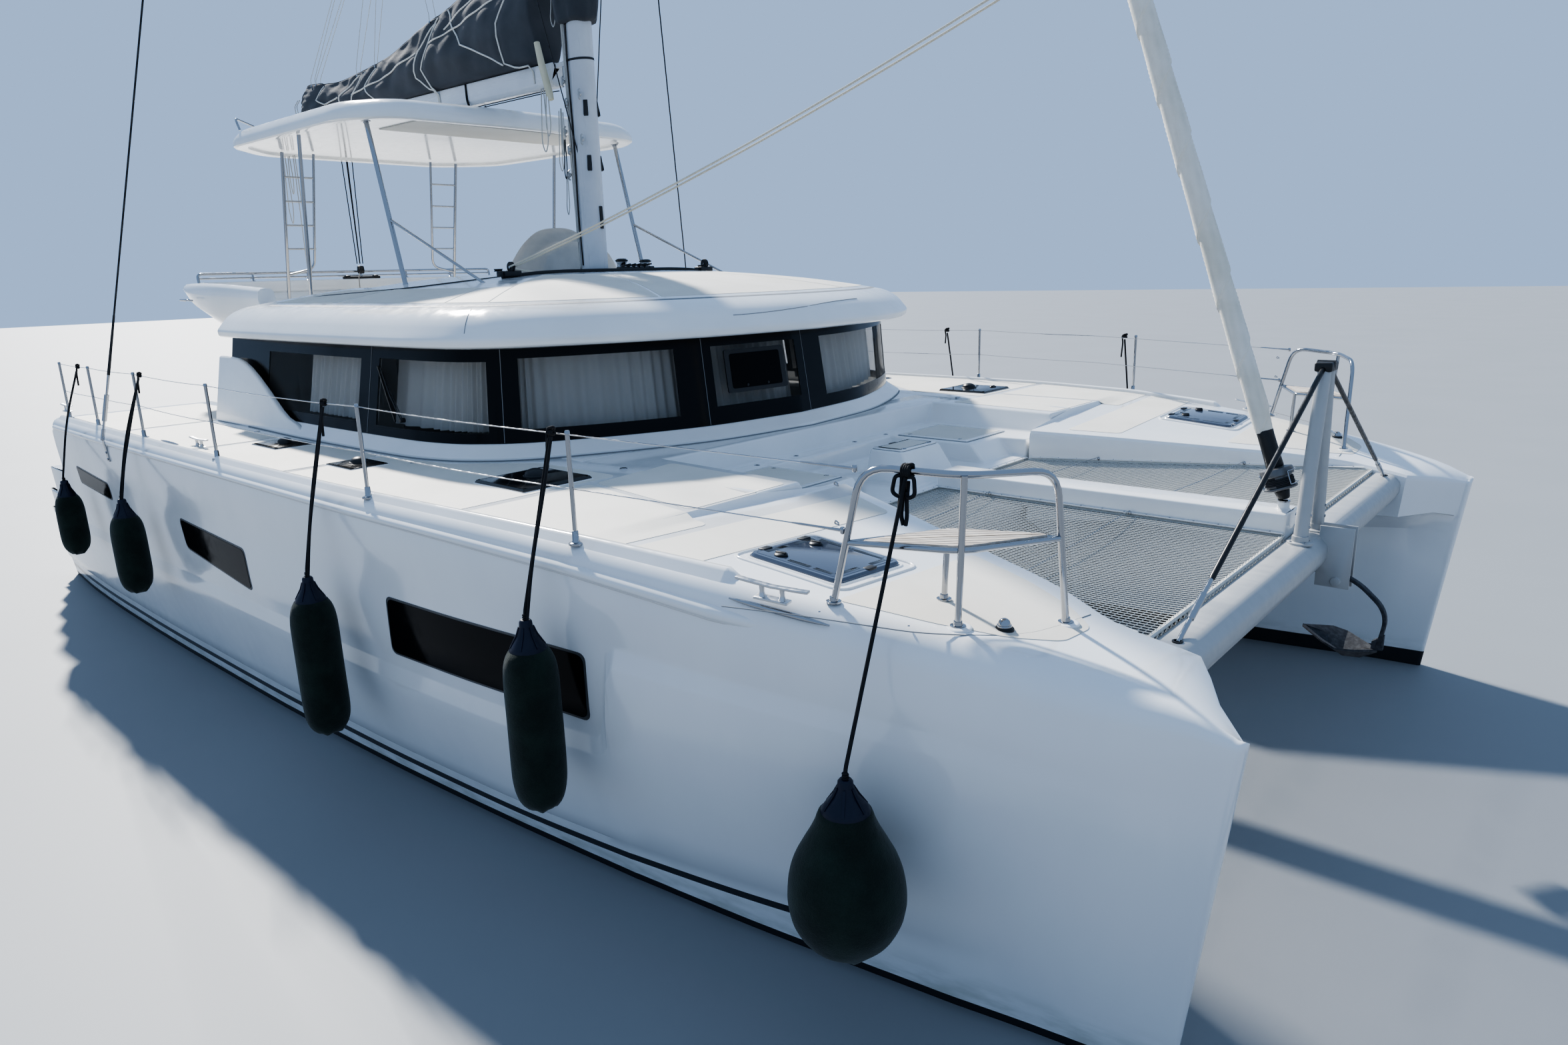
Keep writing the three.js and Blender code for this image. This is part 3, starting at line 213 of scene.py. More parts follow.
# Sections: x, keel depth, outer and inner half-breadth at the waterline, topside y, deck z, deck edge
# radius, inner deck edge y, its drop, foot of the inner face z, wall y under it
SECTIONS = [
    (-7.04, -0.06, 0.56, 0.47, 3.84, 2.2, 0.09, 2.28, 0.002, 0.82, 2.33),
    (-6.0, -0.3, 0.64, 0.61, 3.9, 2.2, 0.09, 2.28, 0.002, 0.78, 2.3),
    (-4.6, -0.5, 0.69, 0.68, 3.95, 2.2, 0.09, 2.28, 0.002, 0.78, 2.3),
    (-2.8, -0.61, 0.71, 0.7, 3.975, 2.2, 0.09, 2.28, 0.002, 0.78, 2.3),
    (-0.8, -0.64, 0.7, 0.69, 3.98, 2.2, 0.09, 2.28, 0.002, 0.78, 2.3),
    (1.0, -0.62, 0.65, 0.65, 3.975, 2.2, 0.095, 2.28, 0.002, 0.78, 2.32),
    (2.4, -0.59, 0.57, 0.57, 3.935, 2.2, 0.105, 2.28, 0.002, 0.78, 2.36),
    (3.75, -0.55, 0.455, 0.455, 3.83, 2.175, 0.12, 2.28, 0.002, 0.8, 2.43),
    (3.78, -0.548, 0.45, 0.45, 3.826, 2.174, 0.12, 1.36, 0.09, 1.25, 2.43),
    (4.6, -0.51, 0.35, 0.35, 3.71, 2.12, 0.14, 1.703, 0.09, 1.28, 2.5),
    (5.26, -0.47, 0.25, 0.25, 3.585, 2.06, 0.16, 1.979, 0.08, 1.32, 2.58),
    (5.8, -0.43, 0.165, 0.165, 3.455, 1.995, 0.17, 2.205, 0.06, 1.38, 2.66),
    (6.29, -0.38, 0.09, 0.09, 3.325, 1.92, 0.165, 2.41, 0.06, 1.43, 2.74),
    (6.6, -0.33, 0.052, 0.052, 3.23, 1.855, 0.13, 2.41, 0.05, 1.45, 2.8),
    (6.76, -0.29, 0.038, 0.038, 3.165, 1.81, 0.09, 2.7, 0.05, 1.45, 2.88),
    (6.95, -0.22, 0.026, 0.026, 3.085, 1.73, 0.04, 2.955, 0.03, 1.4, 2.97),
]
FIRST_FORE = 8      # the first section ahead of the bridge deck, where the inner deck edge steps inboard


def smooth(rows, x):
    """The table's row at x, on a curve that passes through the rows and never past them."""
    last = len(rows) - 2
    k = next((i for i in range(last) if x < rows[i + 1][0]), last)
    span = rows[k + 1][0] - rows[k][0]
    t = min(1, max(0, (x - rows[k][0]) / span))
    found = [x]
    for column in range(1, len(rows[0])):
        rise = [(b[column] - a[column]) / (b[0] - a[0]) for a, b in zip(rows, rows[1:])]
        slopes = []
        for i in (k, k + 1):
            before, after = rise[max(i - 1, 0)], rise[min(i, len(rise) - 1)]
            slopes.append(0 if before * after <= 0 else 2 * before * after / (before + after))
        low, high = rows[k][column], rows[k + 1][column]
        found.append(
            low * (1 + 2 * t) * (1 - t) ** 2 + high * t * t * (3 - 2 * t)
            + span * (slopes[0] * t * (1 - t) ** 2 - slopes[1] * t * t * (1 - t))
        )
    return found


def section(x):
    if x < 3.765:
        return smooth(SECTIONS[:FIRST_FORE], min(x, 3.75))
    return smooth(SECTIONS[FIRST_FORE:], max(x, 3.78))


# The ledge: x, its lower and upper edge, how far the topside is pulled in above it
LEDGE = [
    (-7.1, 0.95, 1.05, 0.0), (-5.6, 0.95, 1.05, 0.0), (-5.0, 0.95, 1.05, 0.03), (-0.7, 0.92, 1.03, 0.034),
    (1.3, 0.90, 1.02, 0.036), (3.3, 0.89, 1.02, 0.036), (3.80, 0.93, 1.04, 0.036), (3.87, 1.0, 1.22, 0.038),
    (3.96, 1.43, 1.60, 0.042), (4.02, 1.53, 1.635, 0.043), (4.5, 1.52, 1.62, 0.042),
    (5.26, 1.49, 1.59, 0.030), (5.75, 1.47, 1.57, 0.014), (6.95, 1.36, 1.42, 0.0),
]


def straight(rows, x):
    k = next((i for i in range(len(rows) - 2) if x < rows[i + 1][0]), len(rows) - 2)
    t = min(1, max(0, (x - rows[k][0]) / (rows[k + 1][0] - rows[k][0])))
    return [a + (b - a) * t for a, b in zip(rows[k], rows[k + 1])]


def topside_y(x, z):
    """The hull's outer face at a height, on the port side."""
    _, _, outer, _, side, deck, edge, *_ = section(x)
    flare = side - HULL_Y - outer
    shape = [
        (0, HULL_Y + outer), (0.62, HULL_Y + outer + 0.47 * flare), (1.25, HULL_Y + outer + 0.86 * flare),
        (deck - 2 * edge, side), (deck, side - 0.2 * edge),
    ]
    y = smooth(shape, z)[1]
    _, low, high, depth = straight(LEDGE, x)
    up = min(1, max(0, (z - low) / (high - low)))
    closing = min(1, max(0, (deck - 0.12 - z) / 0.5))
    return y - depth * up * (closing * closing * (3 - 2 * closing))


def deck_z(x, y):
    """The side deck's height at a plan point."""
    _, _, _, _, side, deck, edge, inner, drop, *_ = section(x)
    lip = min(0.06, drop)
    along = min(1, max(0, (abs(y) - inner - lip) / (side - 1.1 * edge - inner - lip)))
    return deck - drop * (1 - along)


# Stern steps: aft of x, tread z
STEPS = [(-5.25, 1.6), (-5.8, 1.3), (-6.15, 1.02), (-6.5, 0.74), (-6.75, 0.46)]
NOSE = 0.025


def tread_z(x):
    """The height that the stern is cut down to at x, with a rounded nose at each step."""
    top = 9.0
    for k, (edge_x, z) in enumerate(STEPS):
        if x < edge_x:
            top = z
        elif x < edge_x + NOSE:
            high = 2.2 if k == 0 else STEPS[k - 1][1]
            back = NOSE - (x - edge_x)
            top = min(top, high - NOSE + sqrt(NOSE * NOSE - back * back))
    return top


def hull_ring(x):
    _, keel, outer, inner, side, deck, edge, inner_y, drop, face, wall = section(x)
    ring = []
    bilge = [radians(angle) for angle in range(0, 90, 9)]
    for angle in bilge:
        ring.append((HULL_Y + outer * sin(angle) ** 0.83, keel * cos(angle) ** 0.83))
    _, low, high, _ = straight(LEDGE, x)
    shoulder = deck - 2 * edge
    forward = min(1, max(0, (x - 2.6) / 4.6))
    chine = 0.25 + 0.2 * forward * forward * (3 - 2 * forward)
    heights = [0, chine * 0.25, chine * 0.5, chine * 0.75, chine - 0.014, chine + 0.014]
    heights += [chine + (low - chine) * step / 6 for step in range(1, 6)]
    heights += [low - 0.01, low + 0.01, high - 0.01, high + 0.01]
    heights += [high + (shoulder - high) * step / 9 for step in range(1, 10)] + [deck - 1.5 * edge]
    tuck = 0.016 * min(1, max(0, (6.2 - x) / 0.8))
    ring += [(topside_y(x, z) - (tuck * z / (chine - 0.014) if z < chine else 0), z) for z in heights]
    for angle in range(0, 91, 15):
        turn_in = radians(angle)
        ring.append((side - 0.1 * edge - edge * (1 - cos(turn_in)), deck - edge * (1 - sin(turn_in))))
    across = side - 1.1 * edge
    lip = min(0.06, drop)
    low_z = deck - drop
    ring += [
        (across + (inner_y + lip - across) * step / 5, deck + (low_z - deck) * step / 5)
        for step in range(1, 6)
    ]
    for angle in (30, 60, 90):
        turn_in = radians(angle)
        ring.append((inner_y + lip * (1 - sin(turn_in)), low_z - lip * (1 - cos(turn_in))))
    ring += [(inner_y, low_z - lip + (face - low_z + lip) * step / 4) for step in range(1, 5)]
    ring += [(inner_y + (wall - inner_y) * s, face - 0.18 * s * s) for s in (0.25, 0.5, 0.75, 1)]
    foot = HULL_Y - inner
    ring += [
        (wall + (foot - wall) * (s * s * (3 - 2 * s)), (face - 0.18) * (1 - s))
        for s in (0.2, 0.4, 0.6, 0.8)
    ]
    for angle in reversed(bilge[1:] + [radians(90)]):
        ring.append((HULL_Y - inner * sin(angle) ** 0.83, keel * cos(angle) ** 0.83))
    tread = tread_z(x)
    if tread < deck:
        crossings = [
            a[0] + (b[0] - a[0]) * (tread - a[1]) / (b[1] - a[1])
            for a, b in zip(ring, ring[1:]) if (a[1] - tread) * (b[1] - tread) < 0
        ]
        out_y, in_y = crossings[0], crossings[-1]
        cut = []
        for y, z in ring:
            if z <= tread:
                cut.append((min(y, out_y) if z > tread - 0.1 else y, z))
            else:
                share = (y - inner_y) / (side - inner_y)
                cut.append((in_y + (out_y - in_y) * min(1, max(0, share)), tread))
        ring = cut
    rake = STEM_RAKE * max(0, x - STEM_FROM) / (BOW_X - STEM_FROM)
    return [Vector((x + rake * (z - deck), y, z)) for y, z in ring]


def linked(name, made):
    """A new object in the scene from a mesh under construction."""
    mesh = bpy.data.meshes.new(name)
    made.to_mesh(mesh)
    made.free()
    piece = bpy.data.objects.new(name, mesh)
    bpy.context.scene.collection.objects.link(piece)
    return piece


def skin(name, rings, closed=True, ends=True):
    """A new mesh through rings of points, closed round each ring and at both ends unless told otherwise."""
    made = bmesh.new()
    rows = [[made.verts.new(point) for point in ring] for ring in rings]
    count = len(rows[0])
    for first, second in zip(rows, rows[1:]):
        for i in range(count if closed else count - 1):
            j = (i + 1) % count
            made.faces.new((first[i], first[j], second[j], second[i]))
    if closed and ends:
        made.faces.new(rows[0])
        made.faces.new(reversed(rows[-1]))
    bmesh.ops.remove_doubles(made, verts=made.verts, dist=1e-5)
    bmesh.ops.dissolve_degenerate(made, edges=made.edges, dist=1e-5)
    bmesh.ops.recalc_face_normals(made, faces=made.faces)
    return linked(name, made)


def take(*pieces):
    """Only these are selected, and the first is active."""
    bpy.ops.object.select_all(action="DESELECT")
    for piece in pieces:
        piece.select_set(True)
    bpy.context.view_layer.objects.active = pieces[0]
    return pieces[0]


def mirrored(piece, name):
    """A copy on the other side of the centre plane."""
    twin = bpy.data.objects.new(name, piece.data.copy())
    bpy.context.scene.collection.objects.link(twin)
    twin.data.transform(Matrix.Diagonal((1, -1, 1, 1)))
    twin.data.flip_normals()
    return twin


def modified(piece, kind, **settings):
    """Applies one modifier to a piece."""
    take(piece)
    modifier = piece.modifiers.new(kind, kind)
    for name, value in settings.items():
        setattr(modifier, name, value)
    bpy.ops.object.modifier_apply(modifier=modifier.name)


def dress(piece, finish, body="boat", angle=32, slot=None):
    """Gives a piece its shading, finish and body. Its slot argument is not used."""
    take(piece)
    bpy.ops.object.shade_smooth_by_angle(angle=radians(angle))
    piece.data.materials.clear()
    piece.data.materials.append(finish.material)
    slot or finish.slot
    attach(piece, body)
    return piece


def body_on(side_name, body):
    """The body of a piece on one side, or the boat itself where no body is named."""
    return f"{body}_{side_name}" if body else "boat"


def both(piece, finish, body=None, angle=32, node=None, slot=None):
    """Dresses a port piece and its mirror image to starboard.

    The side's name completes the body's name, and that of the CAD node which each of the two stands for."""
    twin = mirrored(piece, piece.name.replace("port", "starboard"))
    for side_name, made in (("port", piece), ("starboard", twin)):
        dress(made, finish, body_on(side_name, body), angle, slot=slot)
        if node:
            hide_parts(f"{node}_{side_name}")


stations = [-7.04 + 0.1 * k for k in range(108)] + [3.75, 3.78]
stations += [edge_x + step for edge_x, _ in STEPS for step in (-0.0005, 0.0, 0.003, 0.008, 0.016, NOSE)]
stations += [3.8 + 0.0145 * k for k in range(1, 18)] + [4.1 + 0.1 * k for k in range(28)] + [6.93, 6.95]
stations = sorted(set(round(x, 4) for x in stations))
rings = [hull_ring(x) for x in stations]
NOSE_LENGTH = 0.035
for share in (0.35, 0.6, 0.8, 0.93, 0.99):
    narrow = sqrt(1 - share * share)
    rings.append([
        Vector((p.x + NOSE_LENGTH * share, HULL_Y + (p.y - HULL_Y) * narrow, p.z - 0.012 * (1 - narrow)))
        for p in rings[len(stations) - 1]
    ])
hull_port = skin("hull_skin_port", rings)

BOTH_SIDES = (("port", 1), ("starboard", -1))
white = (0.83, 0.835, 0.83)
gelcoat = Finish(
    "white_gelcoat", white, roughness=0.16, coat_weight=0.35, coat_roughness=0.06, slot="gelcoat",
)
cloudy = gelcoat.noise(1.3, 4)
gelcoat.tint(cloudy, white, (0.79, 0.795, 0.79), 0.35, 0.7)
gelcoat.rough((9, 5), 0.3, 0.75, 0.12, 0.24)
gelcoat.bump((2.2, 2), 0.004, 0.35)

hull_paint = Finish(
    "hull_gelcoat", white, roughness=0.16, coat_weight=0.35, coat_roughness=0.06, slot="gelcoat",
)
height = hull_paint.axis("Z")
along = hull_paint.axis("X")
sheer = hull_paint.between(along, 2.6, 7.2, 0.0, 0.2)
level_z = height - sheer
drift = hull_paint.noise(1.1, 4, (1, 1, 0.4))
shell_colour = hull_paint.mix(hull_paint.between(drift, 0.35, 0.7), white, (0.79, 0.797, 0.80))
grime = hull_paint.between(height, 0.02, 0.30, 0.55, 0.0) * hull_paint.between(
    hull_paint.noise(7, 5, (0.5, 0.5, 2)), 0.35, 0.7,
)
shell_colour = hull_paint.mix(grime, shell_colour, (0.42, 0.43, 0.36))
across_hull = hull_paint.axis("Y")
outboard = (across_hull > 3.02) + (across_hull < -3.02)
stripe = (level_z > 0.120) * (level_z < 0.168) * outboard * (along < 5.45)
striped = hull_paint.mix(stripe, shell_colour, (0.035, 0.037, 0.042))
paint_top = height + hull_paint.noise(2.5, 3) * 0.01 + outboard * 0.085
under = paint_top < 0.14
hull_paint.tint(under, striped, (0.022, 0.023, 0.026))
hull_paint.set("Roughness", under * 0.55 + hull_paint.between(hull_paint.noise(9, 5), 0.3, 0.75, 0.12, 0.22))
hull_paint.bump((1.6, 2), 0.004, 0.5)

both(hull_port, hull_paint, angle=28, node="hull")


# Windows in the topsides
# Panes of dark acrylic bonded into shallow rebates above the ledge, each with a thin grey-black border.
SUNK = 0.006      # how far the edges of a plate go under the surface that carries it


def patch(name, near, far, place, corner, lift, step=0.08, across=4):
    """A thin plate that follows a surface. near and far are its two long edges as points on the surface,
    place turns such a point and a height into a place, and corner is the radius of its corners."""
    lengths = [0.0]
    for a, b in zip(near, near[1:]):
        lengths.append(lengths[-1] + dist(a, b))
    total = lengths[-1]
    stops = {k * total / max(2, round(total / step)) for k in range(max(2, round(total / step)) + 1)}
    for k in range(5):
        short = corner * (1 - sin(radians(22.5 * k)))
        stops |= {short, total - short}
    rings = []
    for at in sorted(stops):
        k = next((i for i in range(len(lengths) - 2) if at < lengths[i + 1]), len(lengths) - 2)
        t = (at - lengths[k]) / (lengths[k + 1] - lengths[k])
        a = [p + (q - p) * t for p, q in zip(near[k], near[k + 1])]
        b = [p + (q - p) * t for p, q in zip(far[k], far[k + 1])]
        width = dist(a, b)
        from_end = min(at, total - at, corner)
        back = (corner - sqrt(max(0, corner * corner - (corner - from_end) ** 2))) / width
        shares = [back + (1 - 2 * back) * i / across for i in range(across + 1)]
        line = [[p + (q - p) * share for p, q in zip(a, b)] for share in shares]
        ring = [place(line[0][0], line[0][1], -SUNK)]
        ring += [place(p[0], p[1], lift) for p in line]
        ring.append(place(line[-1][0], line[-1][1], -SUNK))
        rings.append(ring)
    return skin(name, rings)


def on_topside(x, z, lift):
    return Vector((x, topside_y(x, z) + lift, z))


def grown(corners, margin):
    """Four corners moved out from their middle."""
    middle = [sum(c[k] for c in corners) / 4 for k in (0, 1)]
    return [[c[k] + margin * (1 if c[k] > middle[k] else -1) for k in (0, 1)] for c in corners]


pane = Finish("hull_window_acrylic", (0.010, 0.010, 0.011), roughness=0.16, specular_ior_level=0.10)
pane.rough((14, 4), 0.3, 0.8, 0.05, 0.14)
border = Finish("window_border", (0.10, 0.105, 0.11), roughness=0.35)
border.rough((30, 3), 0.3, 0.7, 0.28, 0.45)
# Windows: lower aft, lower front, upper front, upper aft corner, each x, z
HULL_WINDOWS = [
    ((1.83, 1.14), (3.74, 1.15), (3.79, 1.55), (1.91, 1.54)),
    ((-1.64, 1.32), (-0.37, 1.16), (-0.34, 1.50), (-1.66, 1.57)),
    ((-4.62, 1.56), (-3.58, 1.50), (-3.60, 1.65), (-4.64, 1.72)),
]
for number, corners in enumerate(HULL_WINDOWS, 1):
    for part, margin, lift, finish in (("border", 0.016, 0.003, border), ("pane", 0, 0.0055, pane)):
        a, b, c, d = grown(corners, margin)
        piece = patch(f"hull_window_{part}_{number}_port", [a, b], [d, c], on_topside, 0.05, lift)
        both(piece, finish, slot="acrylic")


# Deck edge and walking surfaces
# A moulded bulwark runs along each deck edge, a ridge inboard and a bead outboard with a sloping face
# between. Inside it lie pads of moulded non-skid, a shade warmer than the polished gutters round them.
BULWARK = [
    (-0.022, -0.006), (-0.02, 0.02), (-0.012, 0.029), (0.008, 0.029), (0.018, 0.02), (0.086, -0.066),
    (0.094, -0.072), (0.110, -0.078), (0.117, -0.09), (0.115, -0.106), (0.104, -0.122), (0.084, -0.128),
    (0.03, -0.10),
]
bulwark_xs = [-6.95 + 0.15 * k for k in range(77)] + [
    4.64, 4.69, 4.70, 4.73, 4.76, 4.785, 4.83, 4.88, 4.93, 4.97,
]
rings = []
for x in bulwark_xs:
    _, _, _, _, side, deck, edge, *_ = section(x)
    if x < STEPS[0][0]:
        continue
    ridge = min(1, max(0.08, (4.79 - x) / 0.09))
    bead = min(1, max(0, (4.98 - x) / 0.28))
    fit = edge / 0.095
    ring = []
    for out, up in BULWARK:
        if out < 0.02:
            out, up = out * (0.75 + 0.25 * ridge), up * ridge - 0.012 * (1 - ridge)
        else:
            out -= 0.024 * (1 - bead)
        ring.append(Vector((x, side - 1.1 * edge + out * fit, deck + up * fit)))
    rings.append(ring)
both(skin("bulwark_port", rings), gelcoat, angle=50)

nonskid = Finish("nonskid_pads", (0.70, 0.675, 0.615), roughness=0.7, slot="gelcoat")
speckle = nonskid.noise(260, 2)
worn = nonskid.noise(1.7, 5)
nonskid.tint(worn, (0.72, 0.695, 0.64), (0.66, 0.635, 0.575), 0.3, 0.75)
nonskid.rough(speckle, 0.3, 0.7, 0.6, 0.8)
nonskid.bump(speckle + nonskid.noise(90, 1) * 0.5, 0.0012, 0.5)


def on_deck(x, y, lift):
    return Vector((x, y, deck_z(x, y) + lift))


# Pads: outboard edge and inboard edge, each as plan points x, y
PADS = [
    ([(-5.1, 3.76), (-3.3, 3.80)], [(-5.1, 2.45), (-3.3, 2.45)]),
    ([(-3.22, 3.80), (-1.42, 3.82)], [(-3.22, 3.03), (-1.42, 3.07)]),
    ([(-1.34, 3.82), (0.35, 3.83)], [(-1.34, 3.07), (0.35, 3.06)]),
    (
        [(0.44, 3.83), (1.2, 3.83), (1.75, 3.82), (2.62, 3.80)],
        [(0.44, 3.05), (1.2, 2.93), (1.75, 2.52), (2.62, 2.50)],
    ),
    ([(2.70, 3.80), (3.95, 3.69)], [(2.70, 2.80), (3.95, 2.93)]),
    ([(4.02, 3.68), (4.44, 3.62)], [(4.02, 1.62), (4.44, 1.80)]),
    (
        [(5.25, 3.40), (5.7, 3.27), (6.0, 3.12), (6.16, 2.93)],
        [(5.25, 2.16), (5.7, 2.34), (6.0, 2.49), (6.16, 2.64)],
    ),
]
for number, (out_edge, in_edge) in enumerate(PADS, 1):
    pad = patch(f"deck_pad_{number}_port", out_edge, in_edge, on_deck, 0.05, 0.003, step=0.07, across=8)
    both(pad, nonskid)


# Foredeck
# The moulding between the side decks: locker deck in a shallow trough, a well at the nets with the windlass
# box in it, two hinged locker lids, and the front edge of the bridge deck.
def moulded(name, *nodes, radius=0.02, segments=3, dissolve=2.0):
    """A copy of CAD nodes with rounded edges, which stands for them."""
    sources = []
    for node in nodes:
        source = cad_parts[node]
        twin = bpy.data.objects.new(name, source.data.copy())
        bpy.context.scene.collection.objects.link(twin)
        sources.append(twin)
    piece = take(*sources)
    if len(sources) > 1:
        bpy.ops.object.join()
        piece = bpy.context.object
    piece.name = name
    bpy.ops.object.mode_set(mode="EDIT")
    bpy.ops.mesh.select_all(action="SELECT")
    bpy.ops.mesh.remove_doubles(threshold=1e-4)
    bpy.ops.mesh.dissolve_limited(angle_limit=radians(dissolve))
    bpy.ops.object.mode_set(mode="OBJECT")
    if radius:
        round_edges(piece, radius, segments)
    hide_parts(*nodes)
    return piece


def round_edges(piece, radius, segments, angle=28):
    modified(
        piece, "BEVEL", width=radius, segments=segments, limit_method="ANGLE", angle_limit=radians(angle),
        use_clamp_overlap=True, harden_normals=False,
    )


foredeck = moulded("foredeck_moulding", "foredeck", radius=0.022)
dress(foredeck, gelcoat, angle=40)
bridge = moulded("bridge_deck_moulding", "bridge_deck", radius=0.02)
dress(bridge, gelcoat, angle=40)


def seated(*pieces):
    """Finds the height of the uppermost of some pieces under a point."""
    trees = []
    for piece in pieces:
        corners = [vertex.co for vertex in piece.data.vertices]
        trees.append(BVHTree.FromPolygons(corners, [list(face.vertices) for face in piece.data.polygons]))

    def found(x, y, lift=0.0):
        hits = [tree.ray_cast(Vector((x, y, 9)), UP * -1)[0] for tree in trees]
        return Vector((x, y, max([hit.z for hit in hits if hit] or [deck_z(x, y)]) + lift))

    return found


on_foredeck = seated(hull_port, foredeck)


def block(name, low, high, radius, segments):
    """A block between two corners with its edges rounded."""
    middle = [(a + b) / 2 for a, b in zip(low, high)]
    bpy.ops.mesh.primitive_cube_add(size=1, location=middle, scale=[b - a for a, b in zip(low, high)])
    piece = bpy.context.object
    piece.name = name
    bpy.ops.object.transform_apply(location=True, rotation=True, scale=True)
    if radius:
        round_edges(piece, radius, segments)
    return piece


def joined(name, pieces):
    take(*pieces)
    if len(pieces) > 1:
        bpy.ops.object.join()
    made = bpy.context.object
    made.name = name
    return made


def block_about(name, p, half_x, half_y, under, over, radius, segments):
    """A block that reaches as far to either side of a point, and so far under and over it."""
    low = (p.x - half_x, p.y - half_y, p.z - under)
    return block(name, low, (p.x + half_x, p.y + half_y, p.z + over), radius, segments)


def circle(sides, more=0):
    """Angles round a circle, and on past its start for as many more as are asked."""
    return [2 * pi * k / sides for k in range(sides + more)]


def polar(radius, angle, lift):
    return Vector((radius * cos(angle), radius * sin(angle), lift))


def turned(name, profile, base, towards=None, sides=24):
    """A round piece: radius and height pairs from a base point towards another, or else upwards.

    Its end is closed at the last height."""
    if profile[-1][0]:
        profile = [*profile, (0.0, profile[-1][1])]
    base = Vector(base)
    towards = Vector(towards) if towards else base + UP
    spin = (towards - base).to_track_quat("Z", "Y")
    return skin(name, [
        [base + spin @ polar(radius, a, lift) for a in circle(sides)] for radius, lift in profile
    ])


def rounded_corner(before, corner, after, bend, steps):
    """A curve in place of a corner, which starts and ends at most a bend away from it."""
    reach = min(bend, 0.45 * (before - corner).length, 0.45 * (after - corner).length)
    start = corner + (before - corner).normalized() * reach
    end = corner + (after - corner).normalized() * reach
    shares = [step / steps for step in range(steps + 1)]
    return [start * (1 - t) ** 2 + corner * 2 * t * (1 - t) + end * t * t for t in shares]


def rounded_path(points, bend, steps=6):
    """A path with each of its corners rounded."""
    points = [Vector(p) for p in points]
    path = [points[0]]
    for before, corner, after in zip(points, points[1:], points[2:]):
        path += rounded_corner(before, corner, after, bend, steps)
    return path + [points[-1]]


def loop(points, bends, steps=5):
    """A closed plan with each corner rounded, by one bend or by its own."""
    points = [Vector(p) for p in points]
    bends = bends if isinstance(bends, list) else [bends] * len(points)
    path = []
    for before, corner, after, bend in zip(points[-1:] + points, points, points[1:] + points[:1], bends):
        path += rounded_corner(before, corner, after, bend, steps)
    return path


def oblong(aft, front, inner, outer, bend, steps=5):
    """A loop with rounded corners, square to the boat."""
    return loop([(aft, inner, 0), (front, inner, 0), (front, outer, 0), (aft, outer, 0)], bend, steps)


def tube(name, points, radius, bend=0.0, sides=12):
    """A round tube along points with rounded corners."""
    path = rounded_path(points, bend) if bend else [Vector(p) for p in points]
    normal = None
    rings = []
    for i, p in enumerate(path):
        along_path = (path[min(i + 1, len(path) - 1)] - path[max(i - 1, 0)]).normalized()
        if normal is None:
            normal = along_path.orthogonal()
        normal = (normal - along_path * normal.dot(along_path)).normalized()
        side = along_path.cross(normal)
        here = radius[i] if isinstance(radius, list) else radius
        rings.append([p + (normal * cos(a) + side * sin(a)) * here for a in circle(sides)])
    return skin(name, rings)


inner_pad = patch(
    "deck_pad_inner_port", [(2.70, 2.745), (3.72, 2.85)], [(2.60, 1.96), (3.72, 1.96)], on_foredeck, 0.05,
    0.003, step=0.07, across=14,
)
apron = block("deck_apron_port", (1.45, 1.15, 2.16), (1.965, 2.29, 2.1995), 0.004, 1)
both(inner_pad, nonskid, angle=40)
both(apron, gelcoat, angle=40)
LOCKER_Z = 2.0
for lid_name in ("locker_lid_port", "locker_lid_starboard"):
    dress(moulded(f"{lid_name}_moulding", lid_name, radius=0.004), gelcoat, lid_name)
    low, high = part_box(lid_name)
    pad = block(f"{lid_name}_pad", (low.x + 0.035, low.y + 0.035, high.z - 0.002),
                (high.x - 0.035, high.y - 0.035, high.z + 0.0025), 0.002, 1)
    dress(pad, nonskid, lid_name)


# Metal, plastic and sealant of the small fittings
# Bright steel, black plastic and grey sealant recur from here on all over the boat.
stainless = Finish("polished_stainless", (0.42, 0.43, 0.45), roughness=0.14, metallic=1.0, slot="stainless")
stainless.rough((25, 5), 0.3, 0.75, 0.08, 0.22)
black_plastic = Finish("black_plastic", (0.03, 0.031, 0.033), roughness=0.42, slot="acrylic")
black_plastic.rough((60, 3), 0.3, 0.7, 0.34, 0.5)
seal = Finish("grey_seal", (0.24, 0.25, 0.26), roughness=0.6, slot="gelcoat")
seal.rough((45, 3), 0.3, 0.7, 0.5, 0.7)


# Centre beam and crossbeam
# The beam on the centre line is moulded white with a flange each side for the nets. The crossbeam is an
# extruded aluminium tube with flat sides, clear anodised, and two cheek plates under it hold the anchor's
# roller.
beam = moulded("centre_beam_moulding", "centre_beam", radius=0.035, segments=4)
dress(beam, gelcoat, angle=45)
alloy = Finish("anodised_alloy", (0.47, 0.475, 0.475), roughness=0.45, metallic=0.3, slot="alloy")
alloy.rough((18, 5, (0.2, 1, 1)), 0.3, 0.75, 0.38, 0.55)
alloy.bump((140, 2, (1, 0.05, 1)), 0.0006, 0.25)
crossbeam = moulded("crossbeam_extrusion", "crossbeam", radius=0.008)
dress(crossbeam, alloy, angle=38)


# Nets
# Square-mesh nets of plaited grey-brown line, laced to a track along every edge, sagging a little in the
# middle. Every string is there: one strip each way for each 36 mm.
net_finish = Finish("net_line", (0.58, 0.58, 0.55), roughness=0.85, slot="netting")
net_finish.tint((40, 3), (0.50, 0.50, 0.47), (0.66, 0.66, 0.63))
net_finish.bump((300, 1), 0.0008, 0.4)
NET_Z, MESH, STRING = 1.815, 0.036, 0.0032
NET_AFT, NET_FRONT, NET_IN, NET_OUT = 3.752, 6.343, 0.152, 2.409
